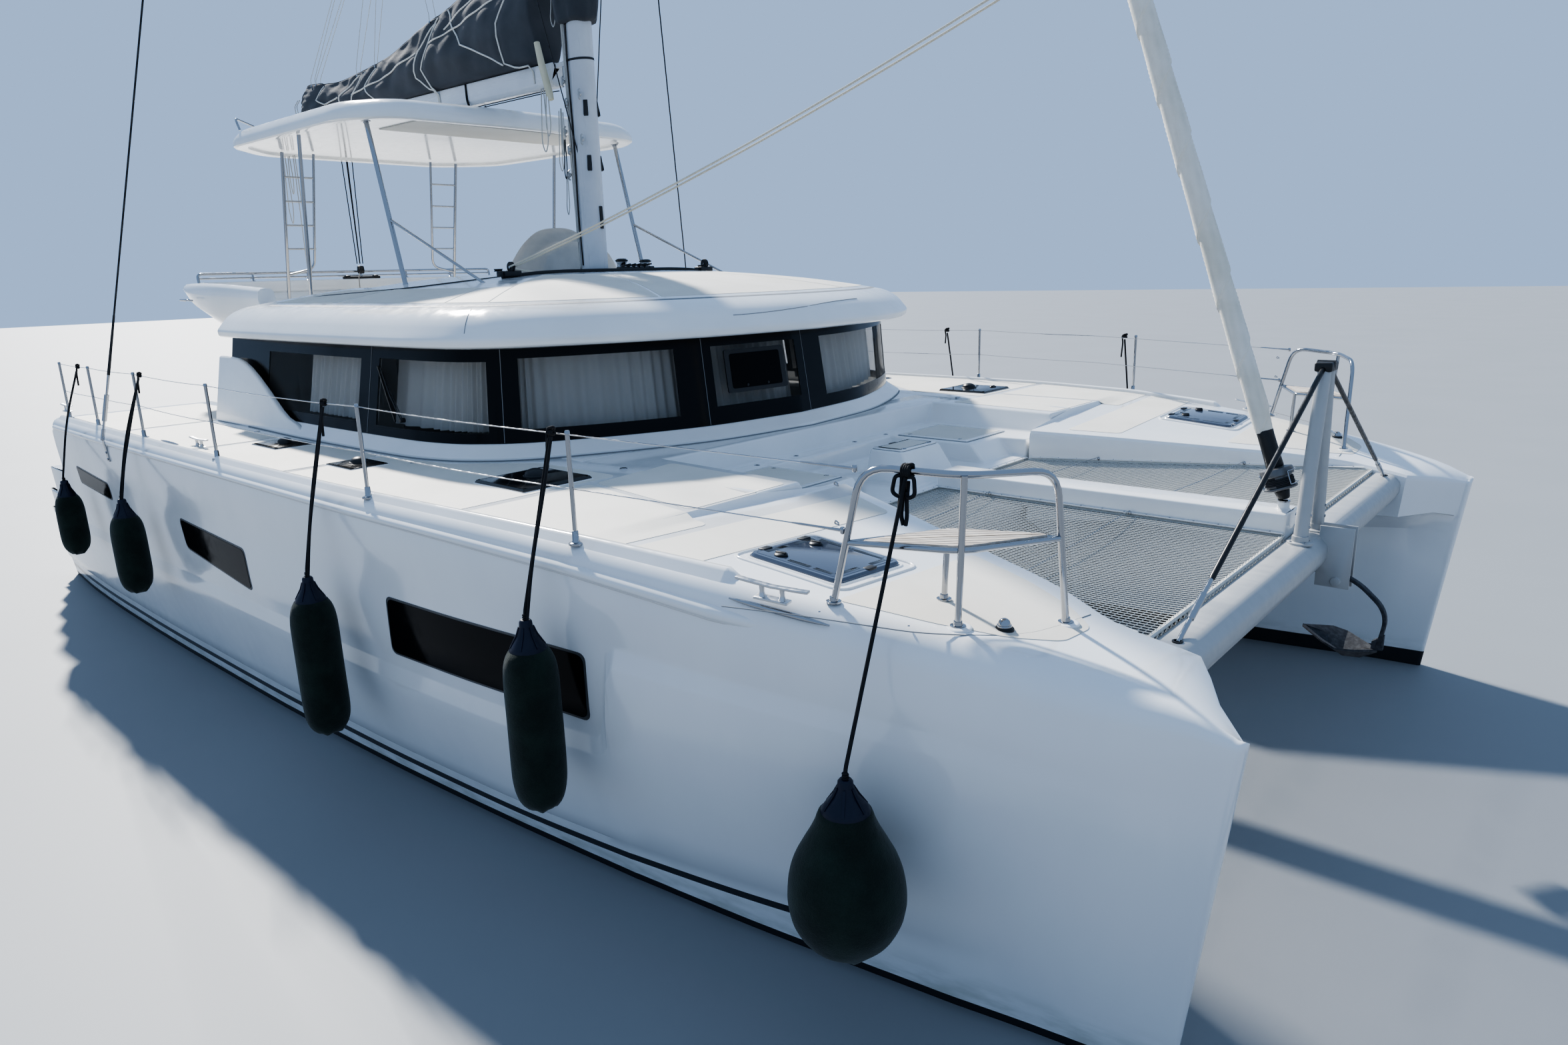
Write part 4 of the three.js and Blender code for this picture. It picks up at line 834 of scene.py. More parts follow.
# The gusset along the hull, x and y of its after and forward ends
(GUSSET_AFT, GUSSET_IN), (GUSSET_FRONT, GUSSET_OUT) = (3.78, 1.36), (6.29, 2.41)
GUSSET_SLOPE = (GUSSET_OUT - GUSSET_IN) / (GUSSET_FRONT - GUSSET_AFT)


def net_outer(x):
    """The net's outer edge along the hull's gusset."""
    return min(NET_OUT, GUSSET_IN + (x - GUSSET_AFT) * GUSSET_SLOPE)


def net_point(x, y, lift=0.0):
    """A point of the sagging net."""
    across = (y - NET_IN) / max(0.01, net_outer(x) - NET_IN)
    along_net = (x - NET_AFT) / (NET_FRONT - NET_AFT)
    sag = 0.05 * 16 * max(0, across * (1 - across)) * max(0, along_net * (1 - along_net))
    return Vector((x, y, NET_Z - sag + lift))


def string(made, points):
    """A square strip through points, in a mesh under construction."""
    before = None
    for i, p in enumerate(points):
        ahead_of = (points[min(i + 1, len(points) - 1)] - points[max(i - 1, 0)]).normalized()
        side = ahead_of.cross(UP).normalized() * STRING
        up = UP * STRING
        ring = [made.verts.new(p + offset) for offset in (side, up, -side, -up)]
        if before:
            for k in range(4):
                made.faces.new((before[k], before[(k + 1) % 4], ring[(k + 1) % 4], ring[k]))
        else:
            made.faces.new(reversed(ring))
        before = ring
    made.faces.new(before)


made = bmesh.new()
y = NET_IN + MESH / 2
while y < NET_OUT:
    start = NET_AFT if y < GUSSET_IN else GUSSET_AFT + (y - GUSSET_IN) / GUSSET_SLOPE
    if NET_FRONT - start > 0.03:
        string(made, [net_point(start + (NET_FRONT - start) * k / 8, y, STRING * 0.6) for k in range(9)])
    y += MESH
x = NET_AFT + MESH / 2
while x < NET_FRONT:
    out = net_outer(x) if x > GUSSET_AFT else GUSSET_IN
    string(made, [net_point(x, NET_IN + (out - NET_IN) * k / 8, -STRING * 0.6) for k in range(9)])
    x += MESH
bmesh.ops.recalc_face_normals(made, faces=made.faces)
net = linked("net_strings_port", made)
net_rim = [
    (NET_AFT, NET_IN), (NET_FRONT, NET_IN), (NET_FRONT, NET_OUT), (GUSSET_FRONT, NET_OUT),
    (GUSSET_AFT, GUSSET_IN), (NET_AFT, GUSSET_IN),
]
rim_points = [net_point(a, b) for a, b in net_rim] + [net_point(*net_rim[0])]
rope = tube("net_rim", rim_points, 0.011, sides=8)
both(joined("net_strings_port", [net, rope]), net_finish, angle=40, node="net")


# Cabin coaming and quarter panels
# The moulded foot of the cabin rises from the deck to the glass with a grey bead of sealant under it. Aft
# of the glass a thick white panel leans against each side and sweeps down to the deck.
# Plan, port half from the centre line aft: place along the wall, base x, y, sill x, y, head x, y, visor x,
# y, crease x, y
CABIN = [
    (0, 2.35, 0, 2.22, 0, 2.1, 0, 2.45, 0, 2.15, 0),
    (1, 2.24, 0.94, 2.11, 0.92, 2.0, 0.9, 2.34, 0.95, 2.05, 0.9),
    (2, 2.01, 1.65, 1.89, 1.6, 1.8, 1.56, 2.11, 1.7, 1.85, 1.6),
    (3, 1.56, 2.51, 1.45, 2.42, 1.41, 2.37, 1.64, 2.54, 1.42, 2.36),
    (4, 1.32, 2.73, 1.22, 2.62, 1.2, 2.56, 1.42, 2.74, 1.22, 2.53),
    (5, 1.02, 2.88, 0.95, 2.76, 0.93, 2.67, 1.1, 2.87, 0.95, 2.63),
    (6, 0.5, 2.97, 0.47, 2.84, 0.46, 2.71, 0.55, 2.935, 0.5, 2.68),
    (7, -1.0, 3.0, -1.0, 2.87, -1.0, 2.72, -1.0, 2.95, -1.0, 2.69),
    (8, -2.2, 2.96, -2.2, 2.84, -2.2, 2.695, -2.2, 2.925, -2.2, 2.65),
    (9, -3.2497, 2.93, -3.2497, 2.8, -3.2497, 2.665, -3.08, 2.86, -3.0, 2.59),
]
SILL_Z, HEAD_Z = 2.31, 3.03
BASE, SILL, HEAD, VISOR, CREASE = 1, 3, 5, 7, 9     # first column of each level


def wall_point(s, level, z, inward=0.0, share=None):
    """A point of the cabin's plan at s, negative to starboard. share goes from the level to the one above."""
    row = smooth(CABIN, abs(s))
    near = smooth(CABIN, min(9, abs(s) + 0.02))
    x, y = row[level], row[level + 1]
    if share is not None:
        x += (row[level + 2] - x) * share
        y += (row[level + 3] - y) * share
    run = Vector((near[level] - row[level], near[level + 1] - row[level + 1]))
    if abs(s) > 8.97 or run.length < 1e-6:
        run = Vector((-1, 0))
    run.normalize()
    x, y = x - run.y * inward, y + run.x * inward
    return Vector((x, y if s >= 0 else -y, z))


def glass_point(s, z, inward=0.0):
    return wall_point(s, SILL, z, inward, (z - SILL_Z) / (HEAD_Z - SILL_Z))


AROUND = [-9 + 0.1 * k for k in range(181)]
COAMING = [
    (0.03, 2.19), (0.0, 2.20), (0.0, 2.222), (0.012, 2.232), (0.118, 2.296), (0.126, 2.306),
    (0.135, 2.3095), (0.19, 2.3095), (0.19, 2.19),
]
rings = []
for s in AROUND:
    rings.append([wall_point(s, BASE, z, inward) for inward, z in COAMING])
coaming = skin("cabin_coaming", rings)
dress(coaming, gelcoat, angle=50)
bead = tube("coaming_seal", [wall_point(s, BASE, 2.203, -0.004) for s in AROUND[8:-8]], 0.006, sides=6)
dress(bead, seal)

QUARTER = [
    (-3.2497, 2.2003), (-1.2, 2.2003), (-1.27, 2.25), (-1.40, 2.30), (-1.60, 2.345), (-1.75, 2.405),
    (-1.92, 2.49), (-2.10, 2.585), (-2.32, 2.69), (-2.50, 2.765), (-2.66, 2.815), (-2.80, 2.842),
    (-2.95, 2.852), (-3.2497, 2.855),
]
made = bmesh.new()
made.faces.new([made.verts.new((x, 2.882 - 0.205 * (z - SILL_Z), z)) for x, z in QUARTER])
grown_out = bmesh.ops.extrude_face_region(made, geom=list(made.faces))
for vertex in grown_out["geom"]:
    if isinstance(vertex, bmesh.types.BMVert):
        vertex.co.y += 0.055
bmesh.ops.recalc_face_normals(made, faces=made.faces)
quarter = linked("quarter_panel_port", made)
round_edges(quarter, 0.018, 4)
both(quarter, gelcoat, angle=40)
black_paint = Finish(
    "black_print", (0.010, 0.0105, 0.0115), roughness=0.14, specular_ior_level=0.22, slot="gelcoat",
)
black_paint.rough((20, 3), 0.3, 0.7, 0.09, 0.17)
SEAMS = (-6.5, -3.45, -1.14, 0.17, 3.45, 6.5)
pillars = []
for s in SEAMS + (-8.3, 8.3):
    foot, head = glass_point(s, 2.25, 0.06), glass_point(s, 3.04, 0.06)
    pillars.append(tube("pillar", [foot, head], 0.026, sides=10))
pillars = joined("cabin_pillars", pillars)
dress(pillars, black_paint)
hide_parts("cabin_walls")


# Cabin glazing
# One band of dark bonded glass round the front and sides. A black printed border hides its edges and the
# pillars, and the panes inside it are a smoky see-through tint. One small window opens in the middle pane.
glass = Finish(
    "smoky_glass", (0.064, 0.064, 0.058), roughness=0.035, alpha=0.19, specular_ior_level=0.2,
    slot="glazing",
)
glass.rough((6, 3), 0.3, 0.8, 0.02, 0.06)
# Clear panes: from s, to s, lower z, upper z
PANES = [
    (-8.05, -6.60, 2.40, 2.925), (-6.42, -3.90, 2.39, 2.935), (-3.05, -1.52, 2.415, 2.955),
    (-1.02, 0.05, 2.46, 2.955), (0.48, 3.05, 2.42, 2.955), (3.90, 6.42, 2.39, 2.935),
    (6.60, 8.05, 2.40, 2.925),
]


def in_pane(s, z):
    return any(a < s < b and low < z < high for a, b, low, high in PANES)


edges_s = sorted(set([round(s, 3) for s in AROUND] + [s for pane_edges in PANES for s in pane_edges[:2]]))
edges_z = sorted({2.3103, 2.36, 2.39, 2.40, 2.415, 2.42, 2.46, 2.6, 2.75, 2.925, 2.935, 2.955, 3.0, 3.0297})


def glass_band(name, keep):
    """The faces of the band that are inside or outside the clear panes, given the glass's thickness."""
    made = bmesh.new()
    corners = [[made.verts.new(glass_point(s, z)) for z in edges_z] for s in edges_s]
    for i in range(len(edges_s) - 1):
        for j in range(len(edges_z) - 1):
            middle_s, middle_z = (edges_s[i] + edges_s[i + 1]) / 2, (edges_z[j] + edges_z[j + 1]) / 2
            if in_pane(middle_s, middle_z) == keep:
                made.faces.new((corners[i][j], corners[i + 1][j], corners[i + 1][j + 1], corners[i][j + 1]))
    bmesh.ops.delete(made, geom=[v for v in made.verts if not v.link_faces], context="VERTS")
    piece = linked(name, made)
    modified(piece, "SOLIDIFY", thickness=0.012, offset=-1)
    return piece


dress(glass_band("cabin_glass_panes", True), glass, angle=50)
printed = dress(glass_band("cabin_glass_border", False), black_paint, angle=50, slot="glazing")
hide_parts("cabin_glazing")
for number, s in enumerate(SEAMS, 1):
    seam = tube(f"glass_seam_{number}", [
        glass_point(s, 2.315 + 0.0355 * k, -0.0005) for k in range(21)
    ], 0.003, sides=6)
    dress(seam, seal, slot="glazing")
# The small opening window: frame and pane
for name, from_s, to_s, low, high, lift, finish in (
    ("window_frame", -0.86, -0.13, 2.555, 2.915, 0.006, black_plastic),
    ("window_pane", -0.80, -0.19, 2.59, 2.88, 0.009, pane),
):
    window = patch(f"front_{name}", [(from_s, low), (to_s, low)], [(from_s, high), (to_s, high)],
                   lambda s, z, out: glass_point(s, z, -out), 0.02, lift, step=0.05)
    dress(window, finish, slot="glazing")
for number, s in enumerate((-0.62, -0.37), 1):
    knob = turned(f"front_window_latch_{number}", [(0.012, -0.004), (0.012, 0.006), (0.008, 0.009)],
                  glass_point(s, 2.61, -0.008), glass_point(s, 2.61, -0.2), 16)
    dress(knob, black_plastic, slot="glazing")


# Wiper on the starboard side pane
# A pantograph arm in black steel with its blade parked upright.
def bar(name, points, wide, thick, up=UP):
    """A flat bar along points."""
    points = [Vector(p) for p in points]
    rings = []
    for i, p in enumerate(points):
        run = (points[min(i + 1, len(points) - 1)] - points[max(i - 1, 0)]).normalized()
        side = run.cross(up).normalized() * wide / 2
        top = side.cross(run).normalized() * thick / 2
        rings.append([p + side + top, p - side + top, p - side - top, p + side - top])
    return skin(name, rings)


arm_foot, arm_tip = glass_point(-6.10, 2.46, -0.03), glass_point(-6.38, 2.86, -0.022)
wiper = joined("wiper", [
    tube("arm", [arm_foot, arm_foot.lerp(arm_tip, 0.5) + Vector((0, -0.012, 0)), arm_tip], 0.006, sides=8),
    tube("arm", [arm_foot + Vector((0.03, 0, 0)), arm_tip + Vector((0.012, 0, -0.02))], 0.004, sides=8),
    bar("blade", [
        glass_point(-6.42, 2.87, -0.012), glass_point(-6.30, 2.62, -0.012),
        glass_point(-6.20, 2.44, -0.012),
    ], 0.012, 0.018),
    turned(
        "hub", [(0.02, -0.03), (0.02, 0.006), (0.014, 0.012)], arm_foot, arm_foot + Vector((0, -1, 0)), 16,
    ),
])
dress(wiper, black_plastic, slot="glazing")


# Curtains
# Cream lining cloth hung in folds inside the glass, drawn across the side panes and part of the front ones.
curtain_cloth = Finish(
    "curtain_cloth", (0.86, 0.85, 0.82), roughness=0.85, sheen_weight=0.3, slot="cover_cloth",
)
curtain_cloth.tint((3, 4, (1, 1, 0.3)), (0.80, 0.79, 0.76), (0.90, 0.89, 0.86))
curtain_cloth.bump(curtain_cloth.noise(500, 1) + curtain_cloth.noise(8, 3, (1, 1, 0.2)) * 2, 0.001, 0.6)
CURTAINS = [
    (-6.45, -3.75), (-7.6, -6.62), (-3.2, -1.3), (-1.14, 0.17), (3.75, 6.45), (6.62, 7.6), (0.35, 3.2),
]
for number, (from_s, to_s) in enumerate(CURTAINS, 1):
    rings = []
    length = 0.0
    before = None
    count = 140
    for k in range(count + 1):
        s = from_s + (to_s - from_s) * k / count
        wave = 0.020 * sin(2 * pi * k / 10) + 0.008 * sin(2 * pi * k / 23 + 1)
        column = []
        for row in range(9):
            z = 2.37 + 0.64 * row / 8
            column.append(glass_point(s, z, 0.20 + wave * (1.15 - 0.4 * row / 8)))
        if before is not None:
            length += (column[4] - before).length
        before = column[4]
        rings.append(column)
    curtain = skin(f"curtain_{number}", rings, closed=False)
    modified(curtain, "SOLIDIFY", thickness=0.0015)
    dress(curtain, curtain_cloth, angle=60)


# Cabin roof
# A deep white visor overhangs the glass all round, with a crease above it where the crowned top begins.
# Non-skid covers the top inside a grey drip groove, and a well for the flybridge is let into it behind the
# mast.
VISOR_PROFILE = [
    (HEAD, 0.10, 3.0303), (HEAD, -0.02, 3.0303), (VISOR, 0.035, 3.052), (VISOR, 0.018, 3.056),
    (VISOR, 0.006, 3.066), (VISOR, 0.001, 3.080), (VISOR, -0.002, 3.104), (VISOR, 0.0, 3.118),
    (VISOR, 0.008, 3.132), (VISOR, 0.03, 3.158),
]
CROWN = [
    (0.0, 3.5897), (0.3, 3.5895), (0.46, 3.56), (0.74, 3.47), (0.90, 3.392), (0.985, 3.343), (1.0, 3.333),
]
ROOF_X = -0.9


def roof_point(s, share, lift=0.0):
    """A point of the crowned top: share 1 on the crease, 0 at the middle."""
    crease = wall_point(s, CREASE, 0)
    return Vector((ROOF_X + (crease.x - ROOF_X) * share, crease.y * share, smooth(CROWN, share)[1] + lift))


def visor_point(s, share):
    """A point of the visor's upper face, from its edge at 0 to the crease at 1."""
    edge_point, crease = wall_point(s, VISOR, 3.158, 0.03), wall_point(s, CREASE, 3.333)
    bulge = 0.030 * sin(pi * share)
    outward = Vector((edge_point.x - crease.x, edge_point.y - crease.y, 0)).normalized()
    return edge_point.lerp(crease, share) + (outward * 0.6 + UP * 0.8) * bulge


levels = [[wall_point(s, level, z, inward) for s in AROUND] for level, inward, z in VISOR_PROFILE]
levels += [[visor_point(s, share) for s in AROUND] for share in (0.2, 0.4, 0.6, 0.8, 0.94)]
levels += [
    [roof_point(s, share) for s in AROUND]
    for share in (1.0, 0.985, 0.95, 0.9, 0.82, 0.74, 0.65, 0.55, 0.46, 0.38, 0.3, 0.15)
]
roof = skin("cabin_roof_moulding", levels)
cutter = block("well_cutter", (-3.2, -1.75, 3.32), (-1.9, 1.75, 3.9), 0.06, 4)
modified(roof, "BOOLEAN", operation="DIFFERENCE", object=cutter)
bpy.data.objects.remove(cutter)
dress(roof, gelcoat, angle=30)
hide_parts("cabin_roof")


def roof_strip(name, from_s, to_s, high_share, low_share, lift=0.0025):
    count = max(4, round(abs(to_s - from_s) / 0.1))
    rings = []
    for k in range(count + 1):
        s = from_s + (to_s - from_s) * k / count
        shares = [high_share + (low_share - high_share) * j / 8 for j in range(9)]
        rings.append(
            [roof_point(s, shares[0], -0.008)] + [roof_point(s, share, lift) for share in shares]
            + [roof_point(s, shares[-1], -0.008)]
        )
    return skin(name, rings)


ROOF_PADS = [
    (-8.6, -7.2), (-7.15, -5.6), (-5.55, -4.1), (-4.05, -1.6), (-1.55, 1.55), (1.6, 4.05), (4.1, 5.55),
    (5.6, 7.15), (7.2, 8.6),
]
for number, (from_s, to_s) in enumerate(ROOF_PADS, 1):
    top_share = 0.72 if abs(from_s + to_s) > 9.6 else 0.42
    pad = roof_strip(f"roof_pad_{number}", from_s, to_s, top_share, 0.935)
    dress(pad, nonskid, angle=40)
groove = roof_strip("roof_groove", -8.4, 8.4, 0.965, 0.978, 0.0012)
dress(groove, seal, angle=40)
joints = []
for s in (-4.35, 4.35):
    joints.append(tube("visor_joint", [
        visor_point(s, 0.02 + 0.96 * k / 10) + UP * 0.0005 for k in range(11)
    ], 0.0028, sides=6))
front_curve = [visor_point(-0.95 + 0.1 * k, 0.38 - 0.16 * cos(pi * k / 19)) for k in range(20)]
joints.append(tube("visor_joint", front_curve, 0.0035, sides=6))
dress(joined("visor_joints", joints), seal)


# Flybridge deck
# A moulded tray over the cockpit with a raised rim, its two wings swept down to the quarters, and a low
# rail aft.
# Stations: x, underside z, rim z, half-breadth
FLY = [
    (-5.7, 3.44, 3.59, 2.2), (-5.35, 3.33, 3.59, 2.34), (-4.8, 3.13, 3.59, 2.42), (-4.3, 3.04, 3.58, 2.44),
    (-3.09, 3.08, 3.52, 2.42),
]
FLY_FLOOR = 3.32
rings = []
for k in range(27):
    x = -5.7 + 2.61 * k / 26
    _, under_z, rim, half = smooth(FLY, x)
    tall, floor_z = rim - under_z, max(FLY_FLOOR, under_z + 0.06)
    half_ring = [
        (half - 0.62, under_z), (half - 0.33, under_z + 0.004), (half - 0.18, under_z + 0.10 * tall),
        (half - 0.04, under_z + 0.38 * tall), (half, under_z + 0.75 * tall), (half - 0.012, rim - 0.035),
        (half - 0.045, rim - 0.006), (half - 0.10, rim), (half - 0.15, rim - 0.010),
        (half - 0.172, rim - 0.04), (half - 0.19, floor_z + 0.03), (half - 0.22, floor_z),
    ]
    rings.append(
        [Vector((x, y, z)) for y, z in half_ring] + [Vector((x, -y, z)) for y, z in reversed(half_ring)]
    )
fly = skin("fly_deck_moulding", rings)
tail = block("fly_tail", (-5.705, -2.04, 3.45), (-5.55, 2.04, 3.603), 0.03, 4)
fly = joined("fly_deck_moulding", [fly, tail])
dress(fly, gelcoat, angle=42)
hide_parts("fly_deck")
fly_pad = block("fly_floor_pad", (-5.5, -2.05, FLY_FLOOR - 0.002), (-3.2, 2.05, FLY_FLOOR + 0.003), 0.002, 1)
dress(fly_pad, nonskid)
RAIL_X = -5.68
rail = [
    tube("aft_rail", [
        (RAIL_X + 0.02, -2.05, 3.59), (RAIL_X, -2.05, 3.70), (RAIL_X, 2.05, 3.70),
        (RAIL_X + 0.02, 2.05, 3.59),
    ], 0.016, bend=0.08),
    tube("aft_rail", [(RAIL_X, -2.04, 3.645), (RAIL_X, 2.04, 3.645)], 0.012),
]
for y in (-1.4, -0.7, 0.7, 1.4):
    rail.append(tube("aft_rail", [(RAIL_X, y, 3.58), (RAIL_X, y, 3.70)], 0.012))
    rail.append(turned("foot", [(0.03, -0.004), (0.03, 0.004), (0.016, 0.010)], (RAIL_X, y, 3.603)))
dress(joined("fly_rail", rail), stainless, angle=40)
wing_handles = []
for s in (1, -1):
    grip = [
        (-5.05, s * 2.44, 3.40), (-5.05, s * 2.50, 3.41), (-4.80, s * 2.51, 3.41), (-4.80, s * 2.45, 3.40),
    ]
    wing_handles.append(tube("wing_handle", grip, 0.011, bend=0.03))
dress(joined("wing_handles", wing_handles), stainless, angle=40)


# Hardtop
# A flat foam-cored roof over the flybridge with a deep fascia and a recessed ceiling, on stainless posts.
plan = [
    (-1.57, -1.55), (-1.45, 0.0), (-1.57, 1.55), (-2.07, 1.85), (-4.8, 1.79), (-5.4, 1.21), (-5.4, -1.21),
    (-4.8, -1.79), (-2.07, -1.85),
]
outline = loop([(x, y, 0) for x, y in plan], [0.24 if y else 0.55 for _, y in plan], 7)
TOP_PROFILE = [
    (0.30, 5.118), (0.88, 5.118), (0.925, 5.116), (0.932, 5.096), (0.975, 5.088), (0.992, 5.091),
    (1.0, 5.104), (1.001, 5.13), (0.998, 5.165), (0.988, 5.20), (0.972, 5.236), (0.952, 5.268),
    (0.93, 5.288), (0.90, 5.298), (0.7, 5.304), (0.3, 5.308),
]
top_middle = Vector((-3.425, 0, 0))
rings = [[top_middle + (p - top_middle) * scale + UP * z for p in outline] for scale, z in TOP_PROFILE]
hardtop = skin("hardtop_moulding", rings)
dress(hardtop, gelcoat, angle=35)
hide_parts("hardtop")
ceiling = block("hardtop_hatch_panel", (-2.55, -1.15, 5.108), (-1.75, 1.15, 5.119), 0.004, 1)
dress(ceiling, nonskid)
grab = []
for s in (-1, 1):
    path = [
        (-5.15, s * 1.30, 5.29), (-5.16, s * 1.32, 5.40), (-4.70, s * 1.72, 5.41), (-4.66, s * 1.70, 5.28),
    ]
    grab.append(tube("top_rail", path, 0.012, bend=0.06))
dress(joined("hardtop_rails", grab), stainless, angle=40)


# Posts and ladders under the hardtop
# Polished stainless tube, welded, with a round flange at each foot. Ladders stand aft at both sides.
def flange(foot, towards, radius=0.045, thick=0.006):
    return turned("flange", [
        (radius, -0.003), (radius, thick), (radius - 0.006, thick + 0.002), (radius * 0.62, thick + 0.003),
        (radius * 0.55, thick + 0.02),
    ], foot, towards)


for side_name, s in BOTH_SIDES:
    front_foot, front_top = Vector((-1.56, s * 1.59, 3.45)), Vector((-1.987, s * 1.58, 5.10))
    front_on_roof = front_foot.lerp(front_top, 0.035)
    brace_top, brace_foot = Vector((-1.738, s * 1.587, 4.15)), Vector((-0.13, s * 1.60, 3.50))
    post = joined(f"front_post_{side_name}_tubes", [
        tube("post", [front_foot, front_top], 0.024, sides=20),
        tube("post", [brace_top, brace_foot], 0.014, sides=14), flange(front_on_roof, front_on_roof + UP),
        flange(front_top - UP * 0.002, front_top + UP * -1),
    ])
    dress(post, stainless, angle=40)
    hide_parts(f"front_post_{side_name}")

    def rung_x(z):
        return -5.2 + 0.33 * (z - 3.6) / (5.0897 - 3.6)

    def rail_point(y, z):
        return (rung_x(z), s * y, z)

    ladder = [
        tube("ladder", [rail_point(1.17, 3.345), rail_point(1.17, 5.10)], 0.020, sides=18),
        tube("ladder", [
            rail_point(1.17, 3.66), rail_point(0.83, 3.74), rail_point(0.79, 5.10),
        ], 0.016, bend=0.11, sides=16),
    ]
    ladder += [
        tube("ladder", [rail_point(0.805, z), rail_point(1.17, z)], 0.012) for z in (3.98, 4.26, 4.54, 4.82)
    ]
    ladder.append(flange(rail_point(1.17, 3.325), rail_point(1.17, 4.2)))
    ladder = joined(f"ladder_{side_name}_tubes", ladder)
    dress(ladder, stainless, angle=40)
    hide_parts(f"ladder_{side_name}")
    mid = joined(f"mid_post_{side_name}_tubes", [
        tube("mid", [(-3.55, s * 1.66, 3.31), (-3.30, s * 1.66, 5.10)], 0.020, sides=18),
        flange((-3.546, s * 1.66, 3.325), (-3.40, s * 1.66, 4.3)),
    ])
    dress(mid, stainless, angle=40)
    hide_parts(f"mid_post_{side_name}")


# Cover over the helm and its seat
# Grey acrylic canvas pulled down over the wheel and console and tied at its foot, with slack folds between.
canvas = Finish("cover_canvas", (0.46, 0.455, 0.435), roughness=0.9, sheen_weight=0.25, slot="cover_cloth")
weave = canvas.noise(900, 1)
canvas.tint((2.5, 5), (0.43, 0.425, 0.41), (0.52, 0.515, 0.495), 0.3, 0.75)
canvas.bump(weave + canvas.noise(14, 4) * 3, 0.0025, 0.5)


def closing(ring, centre, shares, bulge):
    """Smaller rings towards a centre, moved along x as they shrink."""
    return [
        [centre + (p - centre) * share + Vector((bulge * (1 - share), 0, 0)) for p in ring]
        for share in shares
    ]


COVER_AFT, COVER_LENGTH, COVER_Y, COVER_FOOT = -3.05, 1.12, 0.9, FLY_FLOOR + 0.006
# Stations: x, crown z, half width, shoulder fullness
COVER = [
    (-3.05, 3.62, 0.47, 2.0), (-2.94, 3.74, 0.53, 2.0), (-2.74, 3.89, 0.58, 2.1), (-2.52, 4.09, 0.60, 2.2),
    (-2.38, 4.135, 0.61, 2.3), (-2.24, 4.08, 0.60, 2.4), (-2.14, 3.96, 0.595, 2.8),
    (-2.02, 3.945, 0.59, 3.0), (-1.93, 3.90, 0.58, 3.0),
]
rings = []
for k in range(37):
    x = COVER_AFT + COVER_LENGTH * k / 36
    _, crown, half, full = smooth(COVER, x)
    ring = []
    for j in range(41):
        angle = pi * j / 40
        c, sn = cos(angle), sin(angle)
        y = half * copysign(abs(c) ** (2 / full), c)
        z = (crown - COVER_FOOT) * abs(sn) ** (2 / full)
        fold = 0.012 * sin(9 * angle + 7 * x) * sn * (1 - sn * 0.5)
        fold += 0.010 * sin(26 * x + 3 * angle) * (1 - abs(c)) * (1 - sn * 0.6)
        lean = 0.05 * sin(pi * (x - COVER_AFT) / COVER_LENGTH) * (1 - sn)
        ring.append(Vector((
            x + fold * 0.5, COVER_Y + y * (1 + lean) + fold * c, COVER_FOOT + max(0, z) + fold * sn,
        )))
    rings.append(ring)
aft_centre, front_centre = (Vector((ring[0].x, COVER_Y, COVER_FOOT)) for ring in (rings[0], rings[-1]))
aft_end = closing(rings[0], aft_centre, (0.35, 0.7, 0.92), -0.03)
front_end = closing(rings[-1], front_centre, (0.92, 0.7, 0.35), 0.03)
cover = skin("helm_cover_canvas", aft_end + rings + front_end, closed=False)
modified(cover, "SUBSURF", levels=1, render_levels=1)
modified(cover, "SOLIDIFY", thickness=0.0025, offset=1)
dress(cover, canvas, angle=60)
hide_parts("helm_cover")


# Foredeck latches, seams and the windlass lid
# Flush round latches of polished stainless with a dark key slot, moulded seams round the lids, and grips to
# lift them.
def inset(path, width):
    """A closed plan moved inwards by a width."""
    area = sum(a.x * b.y - b.x * a.y for a, b in zip(path, path[1:] + path[:1]))
    moved = []
    for i, p in enumerate(path):
        along_path = (path[(i + 1) % len(path)] - path[i - 1]).normalized()
        inwards = Vector((-along_path.y, along_path.x, 0)) * copysign(width, area)
        moved.append(p + inwards)
    return moved


def surround(name, path, width, low, high, place):
    """A flat ring along a closed plan, a width broad, between two heights above the place given."""
    inner = inset(path, width)
    lip = min(0.3 * width, 0.6 * (high - low))
    rings = []
    for a, b in zip(path, inner):
        from_out, from_in = a.lerp(b, lip / width), b.lerp(a, lip / width)
        rings.append([
            place(a.x, a.y, low), place(a.x, a.y, high - lip), place(from_out.x, from_out.y, high),
            place(from_in.x, from_in.y, high), place(b.x, b.y, high - lip), place(b.x, b.y, low),
        ])
    return skin(name, rings + [rings[0]], ends=False)


def plate(name, path, low, high, place):
    """A plate of a closed plan with a small round at its upper edge."""
    soft = min(0.004, 0.5 * (high - low))
    rings = [
        [place(p.x, p.y, low) for p in path], [place(p.x, p.y, high - soft) for p in path],
        [place(p.x, p.y, high - soft * 0.3) for p in inset(path, soft * 0.3)],
        [place(p.x, p.y, high) for p in inset(path, soft)],
    ]
    return skin(name, rings)


def at_height(z):
    return lambda x, y, lift: Vector((x, y, z + lift))


LATCH = 0.021     # radius


def latch(x, y, z, name, body="boat"):
    rim = turned(name, [
        (LATCH + 0.004, -0.002), (LATCH + 0.004, 0.001), (LATCH, 0.003), (LATCH * 0.74, 0.0032),
        (LATCH * 0.68, 0.0015),
    ], (x, y, z), sides=20)
    dress(rim, stainless, body)
    key_slot = oblong(x - 0.011, x + 0.011, y - 0.0045, y + 0.0045, 0.004, 3)
    dress(plate(name + "_slot", key_slot, 0.001, 0.0035, at_height(z)), black_plastic, body)


